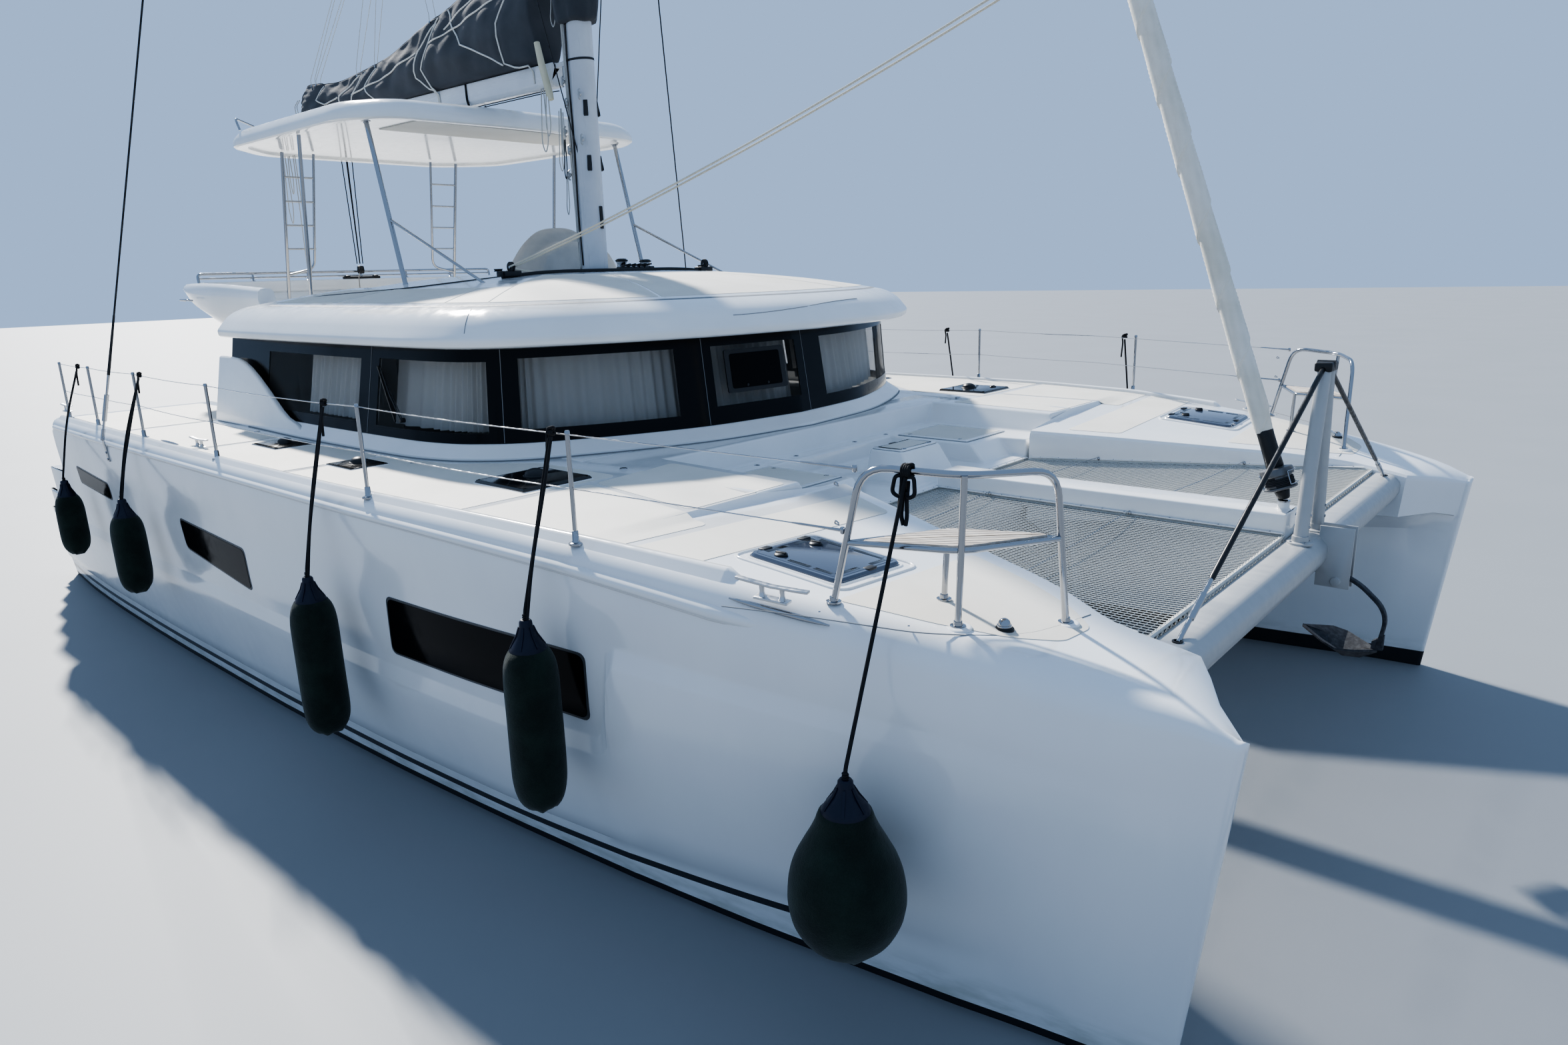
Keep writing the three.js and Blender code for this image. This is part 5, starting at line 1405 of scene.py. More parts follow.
for side_name, s in BOTH_SIDES:
    body = f"locker_lid_{side_name}"
    low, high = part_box(body)
    for number, x in enumerate((low.x + 0.10, high.x - 0.10), 1):
        latch(x, s * 0.985, high.z, f"lid_latch_{side_name}_{number}", body)
    corners = [(2.631, s * 1.60), (2.631, s * 0.921), (3.389, s * 0.921), (3.389, s * 1.60)]
    seam_path = rounded_path([(x, y, LOCKER_Z - 0.0014) for x, y in corners], 0.03, 5)
    dress(bar(f"lid_seam_{side_name}", seam_path, 0.012, 0.0052), seal, angle=60, slot="acrylic")
    barrels = [
        tube("barrel", [(x - 0.035, s * 1.64, 2.0003), (x + 0.035, s * 1.64, 2.0003)], 0.0065, sides=12)
        for x in (2.78, 3.24)
    ]
    dress(joined(f"lid_hinges_{side_name}", barrels), stainless, angle=40)
for number, y in enumerate((-0.92, -0.42, 0.42, 0.92), 1):
    latch(2.50, y, LOCKER_Z, f"deck_latch_{number}")
lid_plan = oblong(3.192, 3.488, -0.262, 0.262, 0.03)
windlass_lid = plate("windlass_lid", lid_plan, -0.004, 0.010, at_height(2.105))
dress(windlass_lid, gelcoat, angle=40)
dress(surround(
    "windlass_lid_seam", [p + (p - Vector((3.34, 0, 0))).normalized() * 0.006 for p in lid_plan], 0.01,
    -0.003, 0.0015, at_height(2.105),
), seal, angle=60, slot="acrylic")
for number, y in enumerate((-0.18, 0.18), 1):
    latch(3.45, y, 2.115, f"windlass_latch_{number}")
windlass_pad = plate("windlass_lid_pad", inset(lid_plan, 0.045), 0.0, 0.0025, at_height(2.115))
dress(windlass_pad, nonskid, angle=40)
grip = plate("windlass_grip", oblong(3.205, 3.235, -0.05, 0.05, 0.012), 0.0, 0.0032, at_height(2.115))
dress(grip, black_plastic, angle=40)


# Net edges
# White screwed track along the gusset and the locker, white lacing round the crossbeam, and thin guard
# wires shackled across the nets.
lacing_line = Finish("white_lacing", (0.72, 0.70, 0.65), roughness=0.8, slot="black_line")
lacing_line.tint((60, 3), (0.62, 0.60, 0.54), (0.80, 0.78, 0.73))
lacing_line.bump((400, 1), 0.0006, 0.4)
laces, tracks, heads, wires = [], [], [], []
for k in range(36):
    y = 0.19 + 2.19 * k / 35
    over = [
        (6.334, y - 0.020, 1.812), (6.347, y - 0.012, 1.80), (6.348, y, 1.775), (6.340, y + 0.014, 1.79),
        (6.330, y + 0.030, 1.812),
    ]
    laces.append(tube("lace", over, 0.0045, sides=6))
laces.append(tube("lace", [(6.330, 0.17, 1.815), (6.330, 2.39, 1.815)], 0.007, sides=6))
for k in range(40):
    y = 0.155 + 2.24 * k / 39
    laces.append(tube("lace", [
        (6.328, y, 1.822), (6.334, y + 0.012, 1.828), (6.338, y + 0.028, 1.818),
    ], 0.0032, sides=5))
gusset = [Vector((3.80, 1.372, 1.835)), Vector((6.285, 2.412, 1.835))]
tracks.append(bar("track", [gusset[0], gusset[1]], 0.030, 0.007))
tracks.append(bar("track", [(3.765, 0.16, 1.835), (3.765, 1.35, 1.835)], 0.026, 0.007))
tracks.append(bar("track", [(3.78, 0.165, 1.838), (6.34, 0.165, 1.838)], 0.022, 0.006))
screw_at = [gusset[0].lerp(gusset[1], (k + 0.5) / 17) + UP * 0.003 for k in range(17)]
screw_at += [(3.765, 0.22 + 0.15 * k, 1.838) for k in range(8)] + [
    (3.86 + 0.16 * k, 0.165, 1.841) for k in range(16)
]
for p in screw_at:
    heads.append(turned("screw", [(0.006, 0.0), (0.0055, 0.003), (0.003, 0.0045)], p, sides=10))
for x in (4.35, 5.45):
    outer = Vector((x, net_outer(x) - 0.02, 1.86))
    inner = Vector((x - 0.1, 0.19, 1.86))
    wires.append(tube("net_wire", [outer, outer.lerp(inner, 0.5) + UP * -0.012, inner], 0.003, sides=6))
    for p in (outer, inner):
        wires.append(turned("eye", [
            (0.008, -0.012), (0.012, -0.004), (0.012, 0.006), (0.005, 0.016),
        ], p - UP * 0.016, p, 10))
for name, pieces, finish, slot in (
    ("net_lacing", laces, lacing_line, "netting"), ("net_track", tracks, gelcoat, "gelcoat"),
    ("net_screws", heads, stainless, "stainless"), ("net_wires", wires, stainless, "stainless"),
):
    both(joined(f"{name}_port", pieces), finish, angle=45, slot=slot)


# Striker
# Two anodised struts bolted to the crossbeam and to a black head fitting, with rod stays down to the beam's
# ends.
STRIKER_X, STRIKER_TOP = 6.45, 2.88
struts, bolts, sleeves, rods = [], [], [], []
for s in (1, -1):
    foot, head = Vector((STRIKER_X, s * 0.205, 1.80)), Vector((STRIKER_X, s * 0.046, STRIKER_TOP - 0.02))
    struts.append(tube(
        "strut", [foot, foot.lerp(head, 0.04), foot.lerp(head, 0.96), head], [0.043, 0.042, 0.042, 0.040],
        sides=28,
    ))
    struts.append(turned(
        "shoe", [(0.075, -0.002), (0.075, 0.010), (0.066, 0.014), (0.050, 0.016), (0.049, 0.05)],
        (STRIKER_X, s * 0.203, 1.80), (STRIKER_X, s * 0.19, 2.3), 28,
    ))
    for angle in (45, 135, 225, 315):
        p = Vector((STRIKER_X + 0.062 * cos(radians(angle)), s * 0.203 + 0.062 * sin(radians(angle)), 1.811))
        bolts.append(turned("bolt", [(0.008, 0.0), (0.008, 0.007), (0.006, 0.009)], p, sides=6))
    for share in (0.17, 0.10):
        p = foot.lerp(head, share)
        for out in (1, -1):
            bolts.append(turned("bolt", [(0.009, 0.0), (0.009, 0.006), (0.006, 0.008)],
                                p + Vector((out * 0.040, 0, 0)), p + Vector((out * 1, 0, 0)), 12))
    stay_foot = Vector((STRIKER_X, s * 2.33, 1.79))
    stay_head = Vector((STRIKER_X, s * 0.06, STRIKER_TOP + 0.005))
    rods.append(tube("stay", [
        stay_foot.lerp(stay_head, 0.19), stay_foot.lerp(stay_head, 0.195), stay_head,
    ], [0.012, 0.0155, 0.0155], sides=16))
    sleeves.append(tube(
        "screw",
        [
            stay_foot.lerp(stay_head, 0.005), stay_foot.lerp(stay_head, 0.07),
            stay_foot.lerp(stay_head, 0.072), stay_foot.lerp(stay_head, 0.145),
            stay_foot.lerp(stay_head, 0.147), stay_foot.lerp(stay_head, 0.20),
        ],
        [0.012, 0.012, 0.0175, 0.0175, 0.0125, 0.0115], sides=16,
    ))
    dress(turned(
        f"stay_hole_{'port' if s > 0 else 'starboard'}",
        [(0.026, -0.004), (0.026, 0.004), (0.018, 0.006), (0.016, -0.002)], (STRIKER_X, s * 2.325, 1.802),
        sides=20,
    ), black_plastic)
cap = block("striker_cap", (STRIKER_X - 0.050, -0.085, 2.86), (STRIKER_X + 0.050, 0.085, 2.918), 0.012, 3)
saddle = tube("saddle", [(STRIKER_X - 0.052, 0, 2.905), (STRIKER_X + 0.052, 0, 2.905)], 0.022, sides=20)
dress(joined("striker_head", [cap, saddle]), black_plastic, angle=40, slot="alloy")
striker = dress(joined("striker_struts", struts), alloy, angle=40)
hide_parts("striker")
dress(joined("striker_bolts", bolts), stainless, angle=30)
dress(joined("striker_screws", sleeves), stainless, angle=30)
dark_rod = Finish("dark_rod", (0.05, 0.05, 0.052), roughness=0.3, metallic=0.6, slot="black_line")
dark_rod.rough((30, 4), 0.3, 0.7, 0.25, 0.42)
dress(joined("striker_stays", rods), dark_rod, angle=30, slot="alloy")


# Furled headsail and its furler
# Cream sailcloth wound round the aluminium foil, the turns climbing it with the edge of each lying over the
# last. A drum with its line turns stands in a black cup over a toggle on the beam, and a black sleeve
# covers the tack.
STAY_FOOT, STAY_HEAD = Vector((6.285, 0, 2.031)), Vector((-0.41, 0, 20.5))
stay_length = (STAY_HEAD - STAY_FOOT).length
stay_turn = (STAY_HEAD - STAY_FOOT).to_track_quat("Z", "Y")


def on_stay(profile, name, sides=32):
    return turned(name, profile, STAY_FOOT, STAY_HEAD, sides)


def round_stay(radius, angle, lift):
    """A point at a distance and an angle round the stay."""
    return STAY_FOOT + stay_turn @ polar(radius, angle, lift)


SAIL = [
    (0.43, 0.044), (0.46, 0.053), (0.60, 0.062), (2.5, 0.070), (7.0, 0.084), (12.0, 0.078), (16.5, 0.052),
    (18.65, 0.024), (18.75, 0.018),
]
TURN_PITCH, RING_STEP, SIDES = 0.46, 0.03, 32
sail_rings = []
for number in range(611):
    lift = 0.43 + RING_STEP * number
    _, radius = smooth(SAIL, lift)
    full = min(1, radius / 0.07)
    ring = []
    for k in range(SIDES):
        turned_by = k / SIDES
        around = turned_by + lift / TURN_PITCH
        lap = 0.0105 * full * turned_by
        pucker = 0.0026 * sin(14 * around * pi + 5.3 * lift) * sin(3.1 * lift + 9 * turned_by)
        r = radius - 0.004 + lap + pucker * full * min(1, 6 * turned_by, 6 - 6 * turned_by)
        ring.append(round_stay(r, 2 * pi * around, lift))
    sail_rings.append(ring)
sailcloth = Finish(
    "cream_sailcloth", (0.80, 0.765, 0.68), roughness=0.75, sheen_weight=0.15, slot="sailcloth",
)
tone = sailcloth.noise(1.3, 5, (1, 1, 2.2))
sailcloth.tint(tone, (0.84, 0.81, 0.74), (0.72, 0.68, 0.585), 0.3, 0.75)
sailcloth.bump((22, 4, (1, 1, 0.35)), 0.004, 0.5)
sail = dress(skin("headsail_wound", sail_rings), sailcloth, "headsail", angle=50)
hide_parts("furled_headsail")


drum = on_stay([
    (0.0, 0.062), (0.092, 0.062), (0.100, 0.066), (0.102, 0.074), (0.098, 0.080), (0.082, 0.084),
    (0.080, 0.10), (0.080, 0.148), (0.096, 0.152), (0.101, 0.158), (0.101, 0.194), (0.096, 0.203),
    (0.07, 0.208), (0.049, 0.212), (0.046, 0.262), (0.034, 0.27),
], "furler_drum")
furler_metal = Finish("furler_metal", (0.20, 0.20, 0.205), roughness=0.38, metallic=0.7, slot="alloy")
furler_metal.rough((30, 4), 0.3, 0.7, 0.3, 0.48)
dress(drum, furler_metal, "headsail", angle=35)
turns = []
for k in range(5):
    lift = 0.090 + 0.0105 * k
    path = [round_stay(0.086 + 0.002 * (k % 2), a, lift + 0.0105 * a / 6.283) for a in circle(28, 1)]
    turns.append(tube("turn", path, 0.0052, sides=7))
dark_line = Finish("dark_line", (0.045, 0.046, 0.052), roughness=0.8, slot="netting")
dark_line.tint((70, 3), (0.03, 0.031, 0.036), (0.07, 0.071, 0.078))
dress(joined("furling_line_turns", turns), dark_line, "headsail", angle=60)
tack = on_stay([
    (0.0, 0.205), (0.050, 0.210), (0.054, 0.218), (0.052, 0.30), (0.051, 0.42), (0.052, 0.455),
    (0.047, 0.462), (0.0, 0.463),
], "tack_sleeve", 28)
dress(tack, black_plastic, "headsail", angle=40)
cup = on_stay([
    (0.0, -0.004), (0.030, -0.003), (0.036, 0.004), (0.047, 0.050), (0.046, 0.055), (0.0, 0.0555),
], "furler_cup", 28)
dress(cup, black_plastic, angle=40)
toggle = joined("furler_toggle", [
    turned("toggle", [
        (0.040, 0.0), (0.040, 0.008), (0.020, 0.014), (0.018, 0.05),
    ], (6.285, 0, 2.012), sides=24),
    tube("pin", [(6.285, -0.032, 2.045), (6.285, 0.032, 2.045)], 0.009, sides=14),
])
dress(toggle, stainless, angle=40)
hoops = [[round_stay(0.107, 0.9 + 4.5 * j / 24, lift) for j in range(25)] for lift in (0.088, 0.176)]
hoops += [[round_stay(0.107, a, lift) for lift in (0.088, 0.176)] for a in (0.9, 3.1, 5.4)]
guard = [tube("guard", path, 0.0035, sides=8) for path in hoops]
leg = [round_stay(0.107, 3.1, 0.09), round_stay(0, 0, 0.03), (6.285, 0, 2.03)]
guard.append(tube("guard", leg, 0.004, bend=0.02, sides=8))
dress(joined("furler_guard", guard), stainless, angle=40)


# Anchor
# A galvanised plough with its shank drawn up over the roller. Its coat is painted a near-black grey, part
# weathering and part painted shade for the shadow it hangs in under the bow.
# Base colour and spangle tint are far darker than galvanising: painted shade, with some weathering.
zinc_and_shade = Finish(
    "galvanised_zinc", (0.07, 0.074, 0.084), roughness=0.7, metallic=0.1, specular_ior_level=0.3,
    slot="galvanised",
)
spangle = zinc_and_shade.noise(38, 4)
zinc_and_shade.tint(spangle, (0.055, 0.058, 0.067), (0.095, 0.10, 0.11), 0.35, 0.7)
zinc_and_shade.rough((11, 5), 0.3, 0.75, 0.6, 0.8)
zinc_and_shade.bump(spangle, 0.0012, 0.4)
ANCHOR_Y = 0.104
shank = rounded_path([
    (6.235, ANCHOR_Y, 1.562), (6.70, ANCHOR_Y, 1.56), (6.93, ANCHOR_Y, 1.35), (6.895, ANCHOR_Y, 1.115),
], 0.16, 8)
shank = bar("shank", shank, 0.022, 0.046, up=Vector((0, 1, 0)))
round_edges(shank, 0.004, 2, 40)
flukes = []
for s in (1, -1):
    top_edge = [
        Vector((6.452, ANCHOR_Y + s * 0.012, 1.172)), Vector((6.60, ANCHOR_Y + s * 0.165, 1.146)),
        Vector((6.685, ANCHOR_Y + s * 0.192, 1.120)), Vector((6.78, ANCHOR_Y + s * 0.12, 1.105)),
        Vector((6.888, ANCHOR_Y + s * 0.016, 1.098)),
    ]
    keel_edge = [
        Vector((6.452, ANCHOR_Y, 1.168)), Vector((6.58, ANCHOR_Y, 1.085)), Vector((6.70, ANCHOR_Y, 1.020)),
        Vector((6.80, ANCHOR_Y, 1.03)), Vector((6.895, ANCHOR_Y, 1.088)),
    ]
    fluke_rings = []
    for a, b in zip(top_edge, keel_edge):
        fall = UP * -0.012
        fluke_rings.append([
            a, a.lerp(b, 0.5) + Vector((0, -s * 0.012, 0.008)), b, b + fall,
            a.lerp(b, 0.5) + fall + Vector((0, -s * 0.006, -0.004)), a + fall,
        ])
    flukes.append(skin("fluke", fluke_rings))
socket = skin("socket", [
    [
        Vector((6.86, ANCHOR_Y + y, z))
        for y, z in ((-0.02, 1.09), (0.02, 1.09), (0.02, 1.15), (-0.02, 1.15))
    ],
    [
        Vector((6.925, ANCHOR_Y + y, z))
        for y, z in ((-0.016, 1.10), (0.016, 1.10), (0.016, 1.20), (-0.016, 1.20))
    ],
])
shackle = joined("anchor_shackle", [
    tube("bow", [
        (6.25, ANCHOR_Y - 0.018, 1.562), (6.205, ANCHOR_Y - 0.022, 1.562), (6.180, ANCHOR_Y, 1.562),
        (6.205, ANCHOR_Y + 0.022, 1.562), (6.25, ANCHOR_Y + 0.018, 1.562),
    ], 0.007, bend=0.02, sides=10),
    tube("pin", [(6.250, ANCHOR_Y - 0.028, 1.562), (6.250, ANCHOR_Y + 0.028, 1.562)], 0.006, sides=10),
])
anchor = joined("anchor_plough", [shank, *flukes, socket])
dress(anchor, zinc_and_shade, angle=30)
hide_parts("anchor")
dress(shackle, zinc_and_shade, angle=40)


# Bow pulpits and their seats
# Bent stainless tube, the top rail stouter than the legs, with a grey teak grating in the frame between
# them.
weathered_teak = Finish("weathered_teak", (0.50, 0.46, 0.41), roughness=0.8, slot="teak")
grain = weathered_teak.noise(34, 6, (0.12, 1, 1))
weathered_teak.tint(grain, (0.56, 0.52, 0.47), (0.42, 0.37, 0.32), 0.3, 0.72)
weathered_teak.rough(grain, 0.3, 0.7, 0.7, 0.9)
weathered_teak.bump(grain, 0.0012, 0.5)


def on_foot(x, y, lift=0.0):
    return Vector((x, y, deck_z(x, y) + lift))


rail_path = [
    on_foot(5.26, 3.43), (5.41, 3.41, 2.715), (5.83, 3.25, 2.69), (6.04, 2.81, 2.665), on_foot(6.06, 2.70),
]
seat_frame = [(5.338, 3.418, 2.357), (5.81, 3.235, 2.350), (6.048, 2.78, 2.345)]
legs = [
    tube("rail", rail_path, 0.0165, bend=0.13, sides=20),
    tube("leg", [on_foot(5.79, 3.215), (5.828, 3.246, 2.69)], 0.0155, sides=18),
    tube("leg", [on_foot(5.56, 2.96), (5.57, 2.95, 2.352)], 0.0145, sides=18),
    tube("seat_frame", seat_frame, 0.0135, bend=0.10, sides=16),
    tube("seat_frame", [
        (5.338, 3.418, 2.357), (5.57, 2.95, 2.345), (6.048, 2.78, 2.345),
    ], 0.0125, bend=0.05, sides=16),
]
pads = []
for x, y in ((5.26, 3.43), (6.06, 2.70), (5.79, 3.215), (5.56, 2.96)):
    p = on_foot(x, y, 0.006)
    legs.append(flange(p, p + UP, 0.036, 0.004))
    if x > 5.7:
        pads.append(turned("pad", [(0.064, -0.03), (0.064, 0.001), (0.060, 0.005), (0.052, 0.0068)],
                           p - UP * 0.006, p + UP, 32))
for p in ((5.345, 3.42, 2.44), (5.345, 3.42, 2.62)):
    legs.append(tube("eye", [
        (p[0] - 0.055, p[1], p[2]), (p[0] - 0.075, p[1], p[2] + 0.012), (p[0] - 0.080, p[1], p[2] - 0.004),
        (p[0] - 0.055, p[1], p[2] - 0.006),
    ], 0.0035, bend=0.006, sides=8))
pulpit = joined("pulpit_tubes_port", legs)


def clipped(plan, normal, limit):
    """The part of a convex plan that lies below a limit along a direction."""
    kept = []
    for a, b in zip(plan, plan[1:] + plan[:1]):
        over_a, over_b = a.dot(normal) - limit, b.dot(normal) - limit
        if over_a <= 0:
            kept.append(a)
        if over_a * over_b < 0:
            kept.append(a.lerp(b, over_a / (over_a - over_b)))
    return kept


seat_plan = loop([(5.372, 3.392, 0), (5.802, 3.214, 0), (6.026, 2.796, 0), (5.588, 2.972, 0)], 0.06)
across_slats = Vector((0.668, 0.744, 0))
reach = [p.dot(across_slats) for p in seat_plan]
slats = []
for k in range(8):
    start = min(reach) + (max(reach) - min(reach)) * k / 8
    end = start + (max(reach) - min(reach)) / 8 - 0.004
    plan = clipped(clipped(seat_plan, across_slats, end), -across_slats, -start)
    slats.append(plate("slat", plan, 0.0, 0.013, at_height(2.3555)))
for share in (0.22, 0.78):
    a = Vector((5.40, 3.345, 2.354)).lerp(Vector((5.795, 3.205, 2.354)), share)
    b = Vector((5.60, 2.99, 2.354)).lerp(Vector((5.98, 2.83, 2.354)), share)
    slats.append(bar("slat", [a, b], 0.03, 0.010))
seat = joined("pulpit_seat_port", slats)
round_edges(seat, 0.002, 1, 50)
both(pulpit, stainless, angle=40, node="pulpit")
both(seat, weathered_teak, angle=40)
both(joined("pulpit_pads_port", pads), gelcoat, angle=40)


# Stanchions and guard wires
# Stainless posts in cast feet with two wires, led through each post's eyes and swaged into toggles at the
# pulpit.
GUARD_POSTS = [(-5.0, 3.80), (-3.94, 3.82), (-2.59, 3.82), (-0.69, 3.88), (1.80, 3.88), (3.77, 3.74)]
GUARD_WIRES = (0.59, 0.30)
WIRE_SAG = 0.006
posts = []
for x, y in GUARD_POSTS:
    base = on_foot(x, y)
    top = base + UP * 0.605
    posts.append(turned("foot", [
        (0.040, -0.004), (0.040, 0.005), (0.036, 0.008), (0.024, 0.011), (0.019, 0.018), (0.018, 0.065),
        (0.0165, 0.070), (0.0135, 0.072),
    ], base, top, 22))
    posts.append(turned("post", [
        (0.0125, 0.05), (0.0125, 0.585), (0.0145, 0.586), (0.0145, 0.602), (0.011, 0.608), (0.0, 0.609),
    ], base, top, 18))
    for height in GUARD_WIRES:
        posts.append(tube("eye", [
            base + Vector((-0.014, 0, height + 0.008)), base + Vector((0.014, 0, height + 0.008)),
        ], 0.0055, sides=8))
for height in GUARD_WIRES:
    points = [on_foot(x, y, height) for x, y in GUARD_POSTS]
    x_leg = 5.26 + 0.15 * (2.11 + height - 2.05) / 0.665
    end = Vector((x_leg - 0.045, 3.43 - 0.02 * (2.11 + height - 2.05) / 0.665, 2.11 + height))
    run = []
    for first, second in zip(points + [end], points[1:] + [end]):
        sag = WIRE_SAG * (second - first).length
        run += [
            first.lerp(second, share) - Vector((0, 0, sag * 4 * share * (1 - share)))
            for share in (0, 0.25, 0.5, 0.75)
        ]
    run = run[:-4] + [end]
    posts.append(tube("wire", run, 0.0031, sides=6))
    last = points[-1].lerp(end, 0.93)
    posts.append(tube("swage", [
        points[-1].lerp(end, 0.84), points[-1].lerp(end, 0.87), last, end + Vector((0.02, 0, 0)),
    ], [0.0035, 0.006, 0.006, 0.0085], sides=10))
    posts.append(turned(
        "toggle", [(0.009, -0.016), (0.012, -0.012), (0.012, 0.012), (0.009, 0.016)],
        end + Vector((0.012, 0, 0)), end + Vector((0.012, 0, 1)), 12,
    ))
both(joined("lifeline_metal_port", posts), stainless, angle=40, node="lifelines")


# Deck hatches
# Smoked acrylic lenses in flat black frames, in shallow moulded recesses. The side deck's hatches carry
# domed vents, the largest a round handle too, and the foredeck's two handles and their hinge blocks.
acrylic = Finish(
    "smoked_acrylic", (0.068, 0.086, 0.125), roughness=0.08, coat_weight=0.8, coat_roughness=0.04,
)
acrylic.rough((5, 5), 0.3, 0.75, 0.05, 0.16)
dark_acrylic = Finish(
    "dark_acrylic", (0.016, 0.017, 0.019), roughness=0.14, coat_weight=0.4, coat_roughness=0.05,
    slot="acrylic",
)
dark_acrylic.rough((6, 5), 0.3, 0.75, 0.10, 0.24)


def hatch(name, corners, glass_finish, body, bend, lift=0.028, edge_finish=dark_acrylic, rim_width=0.012):
    """A lens in its frame, made for port and copied to starboard."""
    aft, front, inner, outer = corners
    plan = oblong(*corners, bend)
    frame_piece = surround(f"{name}_frame", plan, 0.045, 0.004, lift - 0.003, on_foot)
    lens = plate(f"{name}_lens", inset(plan, 0.030), 0.006, lift - 0.001, on_foot)
    rim = surround(f"{name}_rim", [
        p + (p - Vector(((aft + front) / 2, (inner + outer) / 2, 0))).normalized() * rim_width for p in plan
    ], rim_width, -0.003, 0.007, on_foot)
    for side_name, flip in (("port", False), ("starboard", True)):
        rides = body_on(side_name, body)
        pieces = [
            mirrored(piece, f"{piece.name}_starboard") if flip else piece
            for piece in (frame_piece, lens, rim)
        ]
        dress(pieces[0], edge_finish, rides, angle=40, slot="acrylic")
        dress(pieces[1], glass_finish, rides, angle=40, slot="acrylic")
        dress(pieces[2], gelcoat, angle=40)
        if body:
            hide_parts(rides)


def dome(name, x, y, lift, radius, tall, finish, body=None):
    """A domed fitting on both side decks."""
    for side_name, s in BOTH_SIDES:
        base = on_foot(x, y, lift)
        base.y *= s
        profile = [(radius, -0.003), (radius, 0.004), (radius * 0.96, 0.007)]
        profile += [
            (radius * 0.86 * cos(a), 0.008 + tall * sin(a)) for a in (0.0, 0.3, 0.6, 0.9, 1.2, 1.45)
        ] + [(0.0, 0.008 + tall)]
        made = turned(f"{name}_{side_name}", profile, base)
        dress(made, finish, body_on(side_name, body), angle=40)


def handle(name, x, y, lift, along_x, body):
    """A round boss with a raised thumb bar."""
    for side_name, s in BOTH_SIDES:
        base = on_foot(x, y, lift)
        base.y *= s
        boss = turned("boss", [
            (0.036, -0.002), (0.036, 0.006), (0.030, 0.012), (0.016, 0.014),
        ], base, sides=22)
        reach = Vector((0.033, 0, 0)) if along_x else Vector((0, 0.033, 0))
        grip_bar = bar("grip", [base - reach + UP * 0.013, base + reach + UP * 0.013], 0.014, 0.012)
        round_edges(grip_bar, 0.003, 2, 40)
        made = joined(f"{name}_{side_name}", [boss, grip_bar])
        dress(made, black_plastic, body_on(side_name, body), angle=40)


foredeck_lens = (4.525, 5.125, 2.665, 3.225)
hatch("foredeck_hatch", foredeck_lens, acrylic, "foredeck_hatch", 0.06, edge_finish=acrylic, rim_width=0.024)
bands = []
for corners in (
    (4.575, 4.603, 2.75, 2.91), (4.575, 4.603, 2.96, 3.14), (5.047, 5.075, 2.74, 2.87),
    (5.047, 5.075, 2.97, 3.15), (4.62, 4.82, 2.715, 2.743), (4.86, 5.04, 2.715, 2.743),
    (4.76, 4.90, 3.147, 3.175), (4.93, 5.04, 3.147, 3.175),
):
    bands.append(plate("band", oblong(*corners, 0.003, 3), 0.0262, 0.0276, on_foot))
both(joined("hatch_bands_port", bands), dark_acrylic, "foredeck_hatch", angle=40)
handle("foredeck_hatch_handle_a", 4.68, 3.13, 0.027, True, "foredeck_hatch")
handle("foredeck_hatch_handle_b", 4.66, 2.82, 0.027, True, "foredeck_hatch")
recess_rim = surround(
    "hatch_recess_port", oblong(4.46, 5.20, 2.60, 3.29, 0.09), 0.018, -0.004, 0.010, on_foot,
)
both(recess_rim, gelcoat, angle=50)
blocks = []
for x, y in ((4.545, 2.78), (4.545, 3.10), (5.095, 2.92)):
    p = on_foot(x, y, 0.020)
    blocks.append(block_about("hinge_block", p, 0.022, 0.035, 0.006, 0.012, 0.005, 2))
both(joined("hatch_hinge_blocks_port", blocks), black_plastic, "foredeck_hatch", angle=40)
hatch("side_hatch", (1.995, 2.565, 2.665, 3.225), dark_acrylic, "side_hatch", 0.012)
dome("side_hatch_vent", 2.24, 2.90, 0.027, 0.085, 0.045, black_plastic, "side_hatch")
handle("side_hatch_handle", 2.44, 3.08, 0.027, False, "side_hatch")
hatch("small_hatch_fore", (0.38, 0.78, 3.20, 3.50), dark_acrylic, None, 0.012, 0.016)
dome("small_hatch_fore_vent", 0.57, 3.33, 0.014, 0.070, 0.038, black_plastic)
hatch("small_hatch_aft", (-1.19, -0.71, 3.08, 3.42), dark_acrylic, None, 0.012, 0.016)
dome("small_hatch_aft_vent", -0.96, 3.23, 0.014, 0.070, 0.038, black_plastic)


# Cleats, chafe strips and bow fittings
# Flat bar cleats of satin stainless on the deck edge, half-round strips let in below them, a domed light by
# the pulpit, and the joint of the deck moulding with its screws.
satin = Finish("satin_stainless", (0.60, 0.605, 0.61), roughness=0.34, metallic=1.0, slot="stainless")
satin.rough((30, 5), 0.3, 0.75, 0.26, 0.44)
satin.bump((220, 2, (0.06, 1, 1)), 0.0004, 0.3)
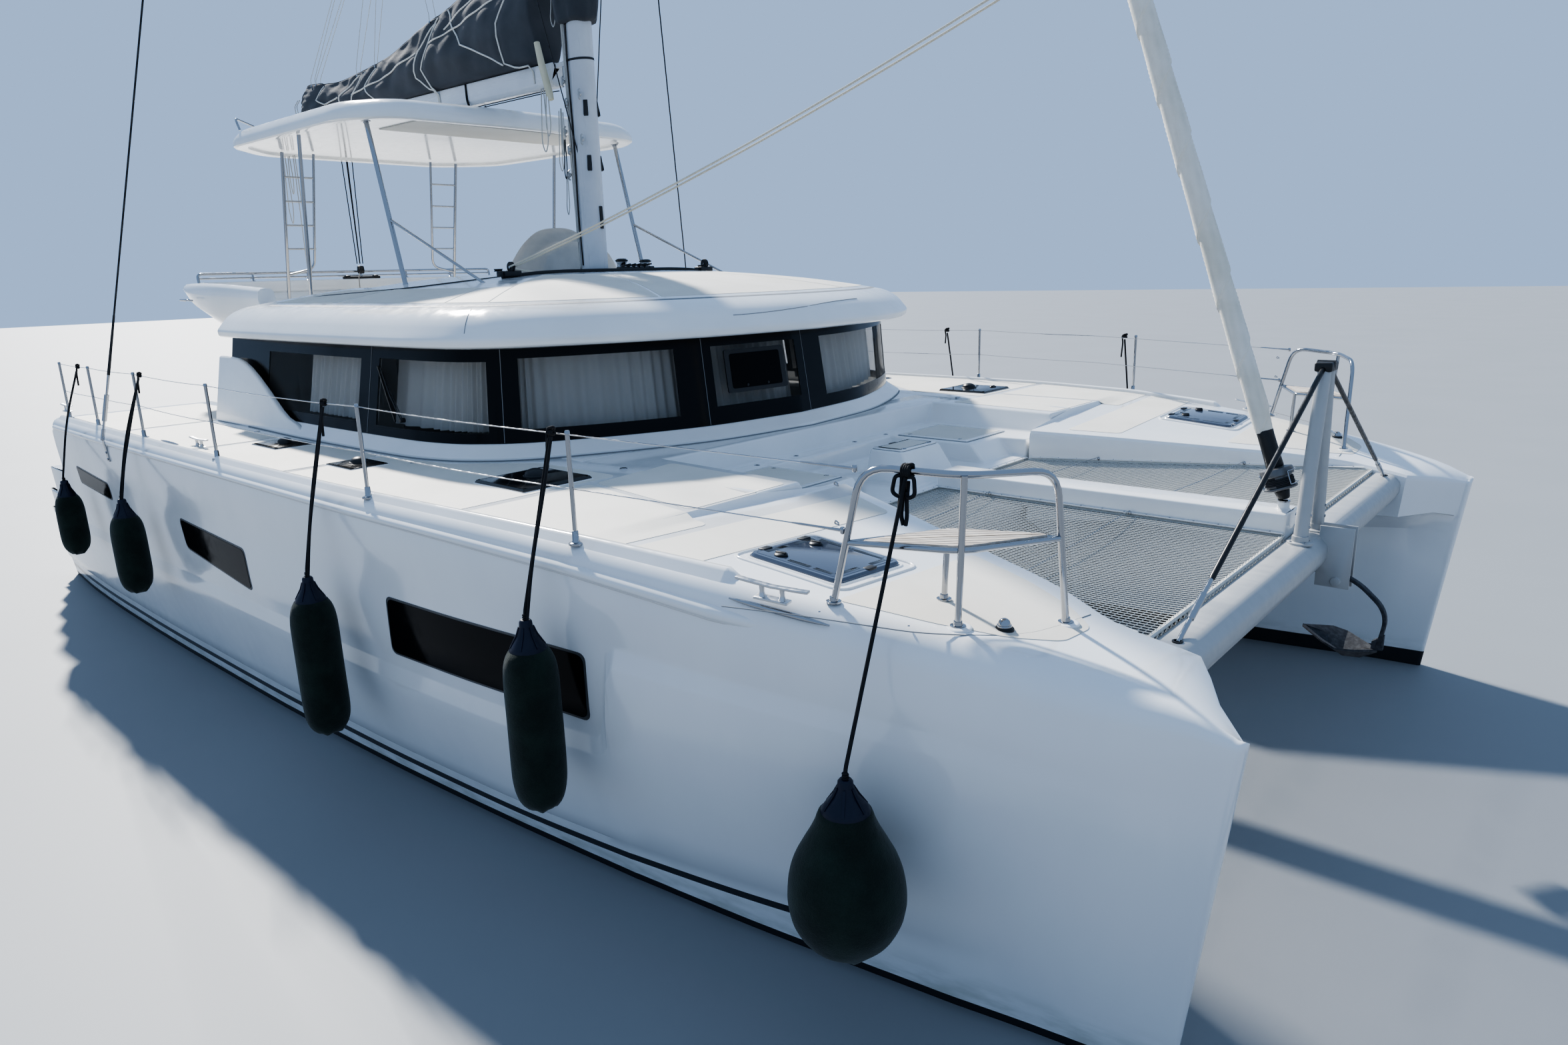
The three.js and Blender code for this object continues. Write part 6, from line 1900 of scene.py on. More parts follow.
# Cleats: the two ends of each, x, y
CLEATS = [((4.86, 3.655), (5.22, 3.56)), ((-1.70, 3.72), (-1.34, 3.72)), ((-6.0, 3.62), (-5.64, 3.62))]
cleats, screws = [], []
for a, b in CLEATS:
    first, last = on_foot(*a), on_foot(*b)
    run = (last - first).normalized()
    middle = first.lerp(last, 0.5)
    up = UP * 0.062
    arm = [
        first + up + UP * 0.010, first.lerp(last, 0.14) + up + UP * 0.006, middle + up,
        first.lerp(last, 0.86) + up + UP * 0.006, last + up + UP * 0.010,
    ]
    top_bar = bar("cleat", arm, 0.034, 0.014)
    round_edges(top_bar, 0.004, 2, 40)
    cleats.append(top_bar)
    for share in (0.36, 0.64):
        foot = first.lerp(last, share)
        cleats.append(turned("leg", [
            (0.024, -0.004), (0.024, 0.004), (0.015, 0.012), (0.012, 0.03), (0.014, 0.058),
        ], foot, sides=18))
    base_plate = bar("base", [first.lerp(last, 0.27), first.lerp(last, 0.73)], 0.062, 0.012)
    round_edges(base_plate, 0.003, 2, 40)
    cleats.append(base_plate)
cleat_set = joined("cleats_port", cleats)
chafe_path = []
for k in range(9):
    x = 4.80 + 0.52 * k / 8
    _, _, _, _, side, deck, edge, *_ = section(x)
    angle = radians(38)
    chafe_path.append(Vector((
        x, side - edge + (edge + 0.004) * cos(angle), deck - edge + (edge + 0.004) * sin(angle),
    )))
chafe = tube("chafe_strip_port", chafe_path, [
    0.004, 0.010, 0.014, 0.015, 0.015, 0.015, 0.014, 0.010, 0.004,
], sides=16)
chafe_mid = []
for k in range(9):
    x = -1.72 + 0.42 * k / 8
    _, _, _, _, side, deck, edge, *_ = section(x)
    chafe_mid.append(Vector((x, side - 1.1 * edge + 0.07, deck + 0.072)))
chafe = joined("chafe_strip_port", [chafe, tube("chafe", chafe_mid, [
    0.003, 0.007, 0.009, 0.010, 0.010, 0.010, 0.009, 0.007, 0.003,
], sides=12)])
SEAM = [
    (4.94, 3.84), (5.18, 3.70), (5.37, 3.60), (5.54, 3.51), (5.70, 3.42), (5.86, 3.27), (5.97, 3.11),
    (6.03, 2.97), (6.06, 2.76), (6.08, 2.47),
]
seam_curve = rounded_path([on_foot(x, y, 0.0008) for x, y in SEAM], 0.08, 4)
seam_line = tube("deck_joint_port", seam_curve, 0.0028, sides=6)
for x, y in ((5.66, 3.40), (5.93, 3.11), (6.03, 2.80), (5.30, 3.58)):
    p = on_foot(x - 0.02, y - 0.02, 0.0)
    screws.append(turned("screw", [(0.006, -0.001), (0.0055, 0.0015), (0.0, 0.002)], p, sides=10))
screw_set = joined("deck_screws_port", screws)
both(cleat_set, satin, angle=45)
both(chafe, stainless, angle=45)
both(seam_line, seal, angle=45, slot="acrylic")
both(screw_set, stainless, angle=45)
dome("bow_light_base", 5.93, 3.05, 0.0, 0.046, 0.016, black_plastic)
dome("bow_light_cap", 5.93, 3.05, 0.016, 0.034, 0.030, stainless)
for number, (x, y) in enumerate([(2.46, 2.30), (0.9, 3.06), (-0.35, 3.07), (-2.0, 3.05)], 1):
    dome(f"deck_drain_{number}", x, y, -0.004, 0.030, 0.004, stainless)


# Roof fittings
# A curved athwartships track for the headsail with its cars, the black joint of the raised aft part,
# winches and clutches for the halyards.
on_roof = seated(roof)
TRACK_X, TRACK_HALF = -0.14, 1.36
track_path = [
    on_roof(TRACK_X - 0.10 * (2 * k / 24 - 1) ** 2, TRACK_HALF * (2 * k / 24 - 1), 0.016) for k in range(25)
]
track = bar("jib_track", track_path, 0.034, 0.030)
round_edges(track, 0.004, 2, 40)
dress(track, black_plastic, angle=40)
cars, car_metal = [], []
for s in (1, -1):
    p = on_roof(TRACK_X - 0.09, s * 1.27, 0.04)
    cars.append(block_about("car", p, 0.06, 0.09, 0.028, 0.022, 0.012, 3))
    cars.append(turned(
        "sheave", [(0.048, -0.014), (0.050, -0.009), (0.040, 0.0), (0.050, 0.009), (0.048, 0.014)],
        p + Vector((0.02, 0, 0.055)), p + Vector((0.02, s, 0.055)), 22,
    ))
    cars.append(turned(
        "sheave", [(0.040, -0.012), (0.042, -0.008), (0.034, 0.0), (0.042, 0.008), (0.040, 0.012)],
        p + Vector((-0.10, s * 0.06, 0.030)), p + Vector((-0.10, s * 0.06, 1)), 20,
    ))
    cars.append(block(
        "end_stop", (TRACK_X - 0.14, s * TRACK_HALF - 0.03, p.z - 0.03),
        (TRACK_X - 0.06, s * TRACK_HALF + 0.03, p.z + 0.02), 0.01, 2,
    ))
    car_metal.append(turned(
        "pin", [(0.012, -0.02), (0.012, 0.02)], p + Vector((0.02, 0, 0.055)), p + Vector((0.02, s, 0.055)),
        14,
    ))
dress(joined("jib_track_cars", cars), black_plastic, angle=40)
dress(joined("jib_track_pins", car_metal), stainless, angle=40)
line_path = [
    on_roof(x, y, 0.004)
    for x, y in (
        (-2.95, -2.28), (-2.2, -2.22), (-1.4, -2.06), (-0.9, -1.86), (-0.62, -1.5), (-0.50, -0.9),
        (-0.46, -0.3),
    )
]
trim_line = joined("roof_joint", [
    tube("joint", rounded_path(line_path, 0.3, 6), 0.007, sides=8),
    tube("joint", [Vector((p.x, -p.y, p.z)) for p in rounded_path(line_path, 0.3, 6)], 0.007, sides=8),
])
dress(trim_line, black_plastic, angle=60)


def winch(name, x, y):
    base = on_roof(x, y, 0.0)
    body = turned(name, [
        (0.072, -0.004), (0.072, 0.020), (0.062, 0.024), (0.052, 0.045), (0.050, 0.085), (0.062, 0.108),
        (0.070, 0.112), (0.070, 0.124), (0.056, 0.130), (0.054, 0.136), (0.030, 0.140), (0.028, 0.132),
    ], base, sides=32)
    dress(body, black_plastic, angle=35)
    drum_top = turned(f"{name}_drum", [
        (0.053, 0.040), (0.0515, 0.062), (0.0515, 0.088), (0.064, 0.107),
    ], base, sides=32)
    dress(drum_top, stainless, angle=35)


winch("winch_inner", -0.86, 0.62)
winch("winch_outer", -0.92, 1.02)
clutches = []
for k in range(5):
    p = on_roof(-0.62, 0.46 + 0.075 * k, 0.0)
    clutches.append(block_about("clutch", p, 0.11, 0.030, 0.006, 0.050, 0.008, 2))
    clutches.append(bar("lever", [p + Vector((-0.05, 0, 0.055)), p + Vector((0.09, 0, 0.075))], 0.022, 0.014))
dress(joined("rope_clutches", clutches), black_plastic, angle=40)


# Mast
# An oval aluminium extrusion painted pale grey, stepped on the roof, with swept spreaders, diamond stays
# and the masthead. Halyards leave it through dark wedge slots and come down its aft side.
spar_paint = Finish(
    "spar_paint", (0.60, 0.615, 0.64), roughness=0.32, coat_weight=0.2, coat_roughness=0.2, slot="spar",
)
spar_paint.tint((3, 5), (0.58, 0.595, 0.62), (0.64, 0.655, 0.675), 0.3, 0.75)
spar_paint.rough((14, 5, (1, 1, 0.1)), 0.3, 0.75, 0.26, 0.42)
spar_paint.bump((60, 2, (1, 1, 0.02)), 0.0005, 0.25)
# The oval: its middle, its half length and half breadth, and the heights of foot, head and stay fittings
MAST_X, MAST_A, MAST_B, MAST_FOOT, MAST_HEAD, HOUNDS = -0.565, 0.172, 0.113, 3.59, 22.2, 20.5


def round_mast(out, angle, z):
    """A point at a distance outside the mast's oval."""
    return Vector((MAST_X + (MAST_A + out) * cos(angle), (MAST_B + out) * sin(angle), z))


rings = []
for z, scale in (
    (MAST_FOOT + 0.0003, 1), (4.6, 1), (5.6, 1), (8, 1), (12.4, 1), (16, 1), (20.2, 1), (21.2, 0.86),
    (MAST_HEAD, 0.72),
):
    ring = []
    for a in circle(40):
        pinch = 1 - 0.06 * max(0, -cos(a)) ** 3
        ring.append(Vector((MAST_X + MAST_A * scale * cos(a), MAST_B * scale * pinch * sin(a), z)))
    rings.append(ring)
mast_parts = [skin("mast_tube", rings)]
SPREADER_Z, SPREADER_REACH, SPREADER_SWEEP = 12.4, 1.65, 0.52
for s in (1, -1):
    wing = []
    for k in range(9):
        t = k / 8
        half, thick = 0.095 - 0.045 * t, 0.020 - 0.008 * t
        centre = Vector((
            MAST_X - 0.03 - SPREADER_SWEEP * t, s * (0.04 + SPREADER_REACH * t),
            SPREADER_Z + SPREADER_REACH * t * 0.02,
        ))
        wing.append([centre + Vector((half * cos(a), 0, thick * sin(a))) for a in circle(16)])
    mast_parts.append(skin("spreader", wing))
mast_parts.append(block(
    "masthead", (MAST_X - 0.33, -0.045, MAST_HEAD - 0.02), (MAST_X + 0.23, 0.045, MAST_HEAD + 0.06), 0.015,
    3,
))
mast_parts.append(block(
    "stay_tang", (MAST_X + 0.10, -0.012, HOUNDS - 0.07), (-0.39, 0.012, HOUNDS + 0.07), 0.004, 1,
))
mast = dress(joined("mast_extrusion", mast_parts), spar_paint, angle=40)
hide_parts("mast")
TIP_X = MAST_X - 0.03 - SPREADER_SWEEP
diamonds = []
for s in (1, -1):
    diamonds.append(tube("diamond", [
        (MAST_X, s * (MAST_B - 0.008), 4.75), (TIP_X, s * (SPREADER_REACH + 0.02), SPREADER_Z + 0.033),
        (MAST_X, s * 0.09, HOUNDS - 0.25),
    ], 0.0055, sides=8))
dress(joined("diamond_stays", diamonds), dark_rod, angle=30)
fittings = [
    block("gooseneck", (-0.80, -0.020, 5.50), (MAST_X - 0.15, 0.020, 5.62), 0.006, 2),
    turned("pin", [
        (0.030, 0.0), (0.034, 0.004), (0.034, 0.116), (0.030, 0.12),
    ], (-0.80, 0, 5.50), sides=20),
    tube("stay_end", [STAY_HEAD, STAY_HEAD.lerp(STAY_FOOT, 0.41 / stay_length)], 0.009, sides=8),
    tube("aerial", [(MAST_X, 0, MAST_HEAD + 0.05), (MAST_X, 0, MAST_HEAD + 0.50)], 0.004, sides=6),
    tube("vane", [
        (MAST_X + 0.20, 0, MAST_HEAD + 0.05), (MAST_X + 0.24, 0, MAST_HEAD + 0.30),
        (MAST_X + 0.05, 0, MAST_HEAD + 0.36),
    ], 0.004, bend=0.03, sides=6),
]
dress(joined("mast_metalwork", fittings), satin, angle=40)
collar = [round_mast(0.045, a, 0) for a in circle(48)]
mast_foot = plate("mast_foot", collar, -0.02, 0.030, at_height(MAST_FOOT + 0.002))
dress(mast_foot, black_plastic, angle=40)
band = [
    [round_mast(out, a, z) for a in circle(40)]
    for out, z in ((0.000, 5.628), (0.003, 5.630), (0.003, 5.648), (0.000, 5.650))
]
dress(skin("mast_band", band), black_plastic, angle=40)
slots = []
for s in (1, -1):
    for z in (5.18, 4.66):
        a = 0.72
        p = Vector((MAST_X + MAST_A * cos(a), s * MAST_B * sin(a), z))
        out = Vector((cos(a) / MAST_A, s * sin(a) / MAST_B, 0)).normalized()
        side = out.cross(UP)
        wedge = [
            [
                p + side * w + out * d + UP * h
                for w, d in ((-0.024, -0.006), (-0.019, depth), (0.019, depth), (0.024, -0.006))
            ]
            for h, depth in (
                (0.075, 0.001), (0.065, 0.007), (0.015, 0.013), (-0.04, 0.024), (-0.065, 0.026),
                (-0.075, 0.004),
            )
        ]
        slots.append(skin("slot", wedge))
strip = bar("strip", [
    (MAST_X + MAST_A + 0.006, -0.01, 4.02), (MAST_X + MAST_A + 0.010, -0.01, 4.12),
    (MAST_X + MAST_A + 0.006, -0.01, 4.24),
], 0.030, 0.018, up=Vector((1, 0, 0)))
slots.append(strip)
dress(joined("halyard_slots", slots), black_plastic, angle=40)


# Halyards at the mast
# Braided lines lead down the aft side to the clutches, hitched off with spare turns hanging in loops.
grey_line = Finish("grey_line", (0.52, 0.51, 0.48), roughness=0.85, slot="black_line")
grey_line.tint((90, 2), (0.44, 0.43, 0.40), (0.62, 0.61, 0.58))
grey_line.bump((420, 1), 0.0006, 0.4)
black_rope = Finish("black_rope", (0.018, 0.018, 0.020), roughness=0.85, slot="black_line")
black_rope.tint((120, 2), (0.012, 0.012, 0.013), (0.035, 0.035, 0.038))
black_rope.bump((420, 1), 0.0006, 0.4)
light, dark = [], []
for k, (a, out, top, low, is_dark) in enumerate([
    (2.15, 0.010, 7.6, 3.66, False), (2.35, 0.012, 9.0, 3.64, True), (2.55, 0.010, 6.9, 3.62, False),
    (2.75, 0.014, 7.8, 3.63, True), (3.55, 0.010, 8.2, 3.62, False), (3.85, 0.012, 7.2, 3.63, True),
    (4.10, 0.010, 6.8, 3.63, False), (4.30, 0.013, 8.6, 3.64, False), (4.48, 0.010, 7.0, 3.66, True),
    (4.02, 0.020, 7.0, 3.9, False), (4.22, 0.022, 6.4, 4.0, False),
]):
    path = []
    for j in range(13):
        t = j / 12
        z = top + (low - top) * t
        wander = 0.004 * sin(5 * t * pi + 1.7 * k)
        path.append(round_mast(out + wander, a, z))
    (dark if is_dark else light).append(tube("halyard", path, 0.0064 if k % 3 else 0.008, sides=7))
for k, (x, y, top, low, wide, is_dark) in enumerate([
    (-0.76, -0.155, 5.18, 4.58, 0.085, False), (-0.72, -0.15, 5.16, 4.72, 0.06, False),
    (-0.72, -0.15, 4.55, 4.15, 0.05, False), (-0.74, -0.15, 5.2, 4.6, 0.04, False),
    (-0.70, -0.16, 4.9, 4.5, 0.045, True), (-0.80, -0.10, 6.35, 5.95, 0.09, False),
]):
    hang = [
        (x + wide * 0.25, y, top), (x + wide * 0.42, y - 0.008, (top + low) / 2),
        (x + wide * 0.5, y - 0.012, low + 0.10), (x, y - 0.016, low), (x - wide * 0.5, y - 0.012, low + 0.10),
        (x - wide * 0.30, y - 0.006, (top + low) / 2), (x - wide * 0.05, y, top),
    ]
    (dark if is_dark else light).append(tube("loop", hang, 0.0050, bend=0.09, sides=7))
dress(joined("halyards_grey", light), grey_line, angle=60)
dress(joined("halyards_black", dark), black_rope, angle=60)
hanging = []
for x, y, low, wide in ((-1.12, -0.075, 4.80, 0.11), (-1.05, -0.070, 4.95, 0.08)):
    hang = [(x + wide * 0.2, y, 5.446), (x + wide * 0.5, y - 0.01, low + 0.12), (x, y - 0.015, low),
            (x - wide * 0.5, y - 0.01, low + 0.12), (x - wide * 0.1, y, 5.446)]
    hanging.append(tube("loop", hang, 0.0062, bend=0.09, sides=7))
dress(joined("boom_line_loops", hanging), grey_line, "boom", angle=60)
small_blocks = []
for x, y, z in (
    (-0.70, -0.125, 5.45), (-0.66, -0.135, 5.24), (-0.72, -0.125, 4.98), (-0.66, -0.14, 4.80),
    (-0.70, -0.13, 4.56), (-0.44, -0.135, 5.30), (-0.45, -0.135, 4.88),
):
    small_blocks.append(turned("block", [
        (0.014, -0.012), (0.022, -0.009), (0.024, 0.0), (0.022, 0.009), (0.014, 0.012),
    ], (x, y, z), (x, y - 1, z + 0.2), 16))
    small_blocks.append(bar("cleat", [
        (x, y + 0.004, z - 0.05), (x, y - 0.012, z - 0.035), (x, y - 0.012, z + 0.035),
        (x, y + 0.004, z + 0.05),
    ], 0.018, 0.010, up=Vector((0, 1, 0))))
dress(joined("mast_blocks", small_blocks), alloy, angle=40)
sleeve = tube("vang_sleeve", [
    (-1.045, -0.150, 5.86), (-0.99, -0.155, 5.66), (-0.90, -0.150, 5.36), (-0.875, -0.15, 5.30),
], [0.030, 0.036, 0.036, 0.026], sides=18)
sleeve_cloth = Finish("sleeve_cloth", (0.70, 0.66, 0.48), roughness=0.8, slot="bag_cloth")
sleeve_cloth.tint((9, 4), (0.62, 0.58, 0.42), (0.76, 0.72, 0.56))
sleeve_cloth.bump((300, 2), 0.0006, 0.4)
dress(sleeve, sleeve_cloth, "boom", angle=50)


# Boom
# A white extrusion with chamfered lower edges, end castings and lines along its underside.
boom = moulded("boom_extrusion", "boom", radius=0.008)
boom_paint = Finish(
    "boom_paint", (0.80, 0.81, 0.82), roughness=0.28, coat_weight=0.2, coat_roughness=0.15, slot="spar",
)
boom_paint.rough((14, 5, (0.1, 1, 1)), 0.3, 0.75, 0.22, 0.38)
boom_paint.tint((2.5, 5), (0.81, 0.82, 0.83), (0.75, 0.76, 0.775), 0.35, 0.75)
dress(boom, boom_paint, "boom", angle=38)
boom_end = block("boom_end_casting", (-6.632, -0.088, 5.436), (-6.60, 0.088, 5.673), 0.010, 2)
dress(boom_end, black_plastic, "boom", angle=40)
under = [
    tube("line", [
        (-6.45, y, 5.432), (-5.75, y, 5.425), (-3.0, y, 5.418), (-1.25, y, 5.425), (-1.0, y * 1.5, 5.42),
    ], 0.005, sides=7)
    for y in (-0.035, 0.035)
]
strap = [tube("strap", [
    (-2.49, -0.090, 5.66), (-2.48, -0.096, 5.50), (-2.46, -0.090, 5.43), (-2.42, -0.05, 5.375),
    (-2.36, 0.02, 5.37), (-2.34, 0.05, 5.43),
], 0.012, bend=0.03, sides=8)]
dress(joined("boom_lines", under + strap), black_rope, "boom", angle=50)


# Sail bag on the boom
# Charcoal acrylic cloth over the flaked mainsail: full low down, drawn to a ridge where its two sides meet,
# hanging in long folds. It is laced with an off-white line that bites into it, and gathered at its after
# end.
bag_cloth = Finish(
    "charcoal_cloth", (0.050, 0.055, 0.062), roughness=0.88, sheen_weight=0.12, slot="bag_cloth",
)
patches = bag_cloth.noise(2.2, 5)
bag_cloth.tint(patches, (0.056, 0.061, 0.069), (0.094, 0.100, 0.111), 0.3, 0.75)
bag_cloth.rough(patches, 0.3, 0.7, 0.8, 0.95)
bag_cloth.bump(bag_cloth.noise(700, 1) * 0.4 + bag_cloth.noise(9, 5, (0.6, 1, 1.6)) * 3, 0.004, 0.5)
BAG_LOW, BAG_AFT, BAG_LENGTH = 5.6703, -6.56, 5.50
# Stations: x, crown z, half width
BAG = [
    (-6.56, 6.07, 0.10), (-6.42, 6.17, 0.135), (-6.15, 6.15, 0.15), (-5.64, 6.10, 0.16),
    (-4.8, 6.15, 0.178), (-4.3, 6.20, 0.19), (-3.7, 6.33, 0.205), (-3.1, 6.46, 0.22), (-2.6, 6.56, 0.235),
    (-1.7, 6.78, 0.245), (-1.06, 6.99, 0.215),
]
LASHES = [
    [(-1.46, 0.62), (-1.62, 0.40), (-1.60, 0.06), (-1.23, -0.06)],
    [(-2.79, 0.97), (-2.63, 0.72), (-2.34, 0.38), (-1.63, 0.05)],
    [(-1.40, 0.68), (-2.30, 0.62), (-3.08, 0.63)], [(-2.10, 0.86), (-2.45, 0.80), (-2.78, 0.70)],
    [(-3.02, 0.97), (-3.32, 0.60), (-3.35, 0.22), (-3.07, -0.04)],
    [(-3.04, 0.90), (-3.20, 0.30), (-3.05, -0.05)],
    [(-3.37, 0.60), (-4.0, 0.52), (-4.65, 0.46), (-4.95, 0.40)],
    [(-4.54, 0.92), (-4.63, 0.50), (-4.38, 0.02)], [(-4.79, 0.95), (-4.92, 0.45), (-5.0, 0.06)],
    [(-4.93, 0.93), (-5.28, 0.48), (-5.29, 0.12)],
    [(-5.95, 0.95), (-6.05, 0.55), (-5.80, 0.40), (-5.35, 0.46)],
]


def bag_point(x, share, side, proud=0.0):
    """A point of the bag: share 0 at its foot to 1 at its ridge, side 1 to port and -1 to starboard."""
    _, crown, half = smooth(BAG, x)
    tall = crown - BAG_LOW
    up = min(1.0, max(-0.08, share))
    swell = 0.60 + 0.46 * max(0, sin(pi * min(1, up * 1.05))) ** 0.9
    full = half * swell * max(0.0, 1 - max(0, up - 0.30) / 0.72) ** 0.62
    full = max(half * 0.09, full)
    slack = 0.011 * sin(7.3 * x + 9 * up + 1.3 * side) + 0.007 * sin(17 * x - 6 * up + side)
    slack += 0.009 * sin(3.1 * x * (1 + 0.2 * up) + 14 * up)
    gather = max(0, (-6.0 - x) / 0.56)
    slack += 0.014 * gather * sin(40 * up + 9 * x)
    bite = 0.0
    for lash in LASHES:
        for (xa, ua), (xb, ub) in zip(lash, lash[1:]):
            run_x, run_u = xb - xa, (ub - ua) * tall
            reached = (x - xa) * run_x + (up - ua) * tall * run_u
            along_lash = min(1, max(0, reached / max(1e-6, run_x * run_x + run_u * run_u)))
            away = hypot(x - xa - run_x * along_lash, (up - ua) * tall - run_u * along_lash)
            bite = max(bite, exp(-(away / 0.055) ** 2))
    fade = min(1, up / 0.12) * (1 if up < 0.97 else 0.4)
    out = max(0.006, full + slack * fade - 0.020 * bite * fade + proud)
    z = BAG_LOW + tall * up + (0.004 * sin(5 * x) if up > 0.9 else 0) - 0.010 * bite * (up > 0.85)
    return Vector((x, side * out, max(BAG_LOW + 0.0005, z)))


rings = []
for k in range(133):
    x = BAG_AFT + BAG_LENGTH * k / 132
    port_side = [bag_point(x, j / 17, 1) for j in range(18)]
    starboard_side = [bag_point(x, j / 17, -1) for j in range(17, -1, -1)]
    rings.append(port_side + starboard_side)


aft_centre, front_centre = (sum(ring, Vector()) / len(ring) for ring in (rings[0], rings[-1]))
aft_end = closing(rings[0], aft_centre, (0.25, 0.6, 0.85), -0.012)
front_end = closing(rings[-1], front_centre, (0.85, 0.6, 0.25), 0.012)
bag = skin("sail_bag_cloth", aft_end + rings + front_end)
modified(bag, "SUBSURF", levels=1, render_levels=1)
for vertex in bag.data.vertices:
    vertex.co.z = max(BAG_LOW + 0.0004, vertex.co.z)
dress(bag, bag_cloth, "boom", angle=70)
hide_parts("sail_bag")
lashings = []
for lash in LASHES:
    for side in (-1, 1):
        path = []
        for (xa, ua), (xb, ub) in zip(lash, lash[1:]):
            count = max(3, int(hypot(xb - xa, (ub - ua) * 0.8) / 0.07))
            path += [
                bag_point(xa + (xb - xa) * j / count, ua + (ub - ua) * j / count, side, 0.006)
                for j in range(count)
            ]
        path.append(bag_point(*lash[-1], side, 0.006))
        if lash[-1][1] <= 0:
            end = path[-1]
            path += [Vector((end.x + 0.01, side * 0.096, 5.62)), Vector((end.x + 0.02, side * 0.092, 5.50))]
        lashings.append(tube("lash", path, 0.0095, sides=8))
dress(joined("bag_lashings", lashings), lacing_line, "boom", angle=60)
piping = tube("bag_piping", [
    bag_point(-6.5 + 5.4 * k / 90, 1, 1, -0.012) + UP * 0.004 for k in range(91)
], 0.007, sides=8)
dress(piping, bag_cloth, "boom", angle=60)
tie_ends = []
for x, drop in ((-6.50, 0.20), (-6.44, 0.13)):
    tie_ends.append(tube("tie", [
        (x, -0.13, 5.98), (x - 0.04, -0.17, 5.90), (x - 0.02, -0.165, 5.90 - drop),
        (x - 0.05, -0.16, 5.86 - drop),
    ], 0.005, bend=0.03, sides=7))
dress(joined("bag_tie_ends", tie_ends), grey_line, "boom", angle=60)

# The part of the bag that wraps the front of the mast
FRONT = [(5.97, 0.86), (6.05, 0.93), (6.2, 1.0), (6.45, 1.0), (6.7, 0.95), (6.87, 0.84), (6.97, 0.74)]
rings = []
for k in range(22):
    z = 5.965 + 1.01 * k / 21
    _, scale = smooth(FRONT, z)
    outer, inner = [], []
    for j in range(33):
        a = radians(-134 + 268 * j / 32)
        fold = 0.010 * sin(9 * a + 4 * z) + 0.006 * sin(17 * a - 9 * z)
        reach_x, reach_y = MAST_A * 1.72 * scale + fold, MAST_B * 1.62 * scale + fold
        outer.append(Vector((MAST_X - 0.02 + reach_x * cos(a), reach_y * sin(a), z + 0.01 * sin(4 * a))))
        inner.append(round_mast(0.006, a, z + 0.01 * sin(4 * a)))
    rings.append(outer + inner[::-1])
wrap = skin("sail_bag_front_cloth", rings)
modified(wrap, "SUBSURF", levels=1, render_levels=1)
dress(wrap, bag_cloth, angle=70)
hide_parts("sail_bag_front")


# Lazy jacks
# Thin lines from the mast down to the bag's edges each side, spliced to small eyes on the cloth.
jacks, eyes = [], []
for side in (1, -1):
    root, fork = (-0.80, side * 0.02, 12.6), (-3.6, side * 0.10, 8.6)
    for x, share in ((-6.28, 0.92), (-6.12, 0.92), (-4.98, 0.9), (-4.56, 0.93), (-3.15, 0.93)):
        end = bag_point(x, share, side, 0.004)
        jacks.append(tube("jack", [end, end + UP * 0.10, fork], 0.0035, sides=6))
        eyes.append(turned(
            "eye", [(0.016, -0.004), (0.016, 0.004), (0.007, 0.005)], end + UP * 0.02,
            end + Vector((0, side, 0.3)), 12,
        ))
    jacks.append(tube("jack", [root, fork], 0.004, sides=6))
dress(joined("lazy_jacks", jacks), grey_line, "boom", angle=60)
dress(joined("lazy_jack_eyes", eyes), stainless, "boom", angle=40)


# Shrouds
# Stranded wire in black sleeve from the topsides to the hounds, with stainless screws and forks on
# chainplates bolted through the hull.
SHROUD_FOOT, SHROUD_TOP = Vector((-3.24, 3.99, 2.15)), Vector((MAST_X - 0.06, MAST_B + 0.006, HOUNDS))
for side_name, s in BOTH_SIDES:
    foot, head = (Vector((p.x, p.y * s, p.z)) for p in (SHROUD_FOOT, SHROUD_TOP))
    up = (head - foot).normalized()
    wire = tube(f"shroud_wire_{side_name}", [foot + up * 0.62, head], 0.0085, sides=10)
    dress(wire, dark_rod, angle=40)
    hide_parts(f"shroud_{side_name}")
    metal = [
        tube("fork", [foot - up * 0.01, foot + up * 0.10], 0.017, sides=14),
        tube(
            "screw",
            [
                foot + up * 0.08, foot + up * 0.18, foot + up * 0.181, foot + up * 0.44, foot + up * 0.441,
                foot + up * 0.66,
            ],
            [0.011, 0.011, 0.021, 0.021, 0.011, 0.0125], sides=14,
        ),
        turned(
            "pin", [(0.011, -0.026), (0.011, 0.026)], foot + up * 0.02,
            foot + up * 0.02 + Vector((1, 0, 0)), 12,
        ),
        turned(
            "pin", [(0.009, -0.022), (0.009, 0.022)], foot + up * 0.31,
            foot + up * 0.31 + Vector((0, 1, 0)), 12,
        ),
    ]
    plate_bar = bar("chainplate", [
        (-3.24, s * (topside_y(-3.24, 1.93) + 0.006), 1.93),
        (-3.24, s * (topside_y(-3.24, 2.05) + 0.008), 2.05), (-3.24, s * 3.990, 2.175),
    ], 0.05, 0.010, up=Vector((0, s, 0)))
    metal.append(plate_bar)
    for z in (1.955, 2.02):
        p = Vector((-3.24, s * (topside_y(-3.24, z) + 0.010), z))
        metal.append(turned(
            "bolt", [(0.011, -0.002), (0.011, 0.006), (0.007, 0.009)], p, p + Vector((0, s, 0)), 12,
        ))
    dress(joined(f"shroud_fittings_{side_name}", metal), stainless, angle=40)
    boot = tube(
        f"shroud_boot_{side_name}", [foot + up * 0.63, foot + up * 0.70, foot + up * 1.20],
        [0.014, 0.0135, 0.010], sides=14,
    )
    dress(boot, black_plastic, angle=40, slot="black_line")


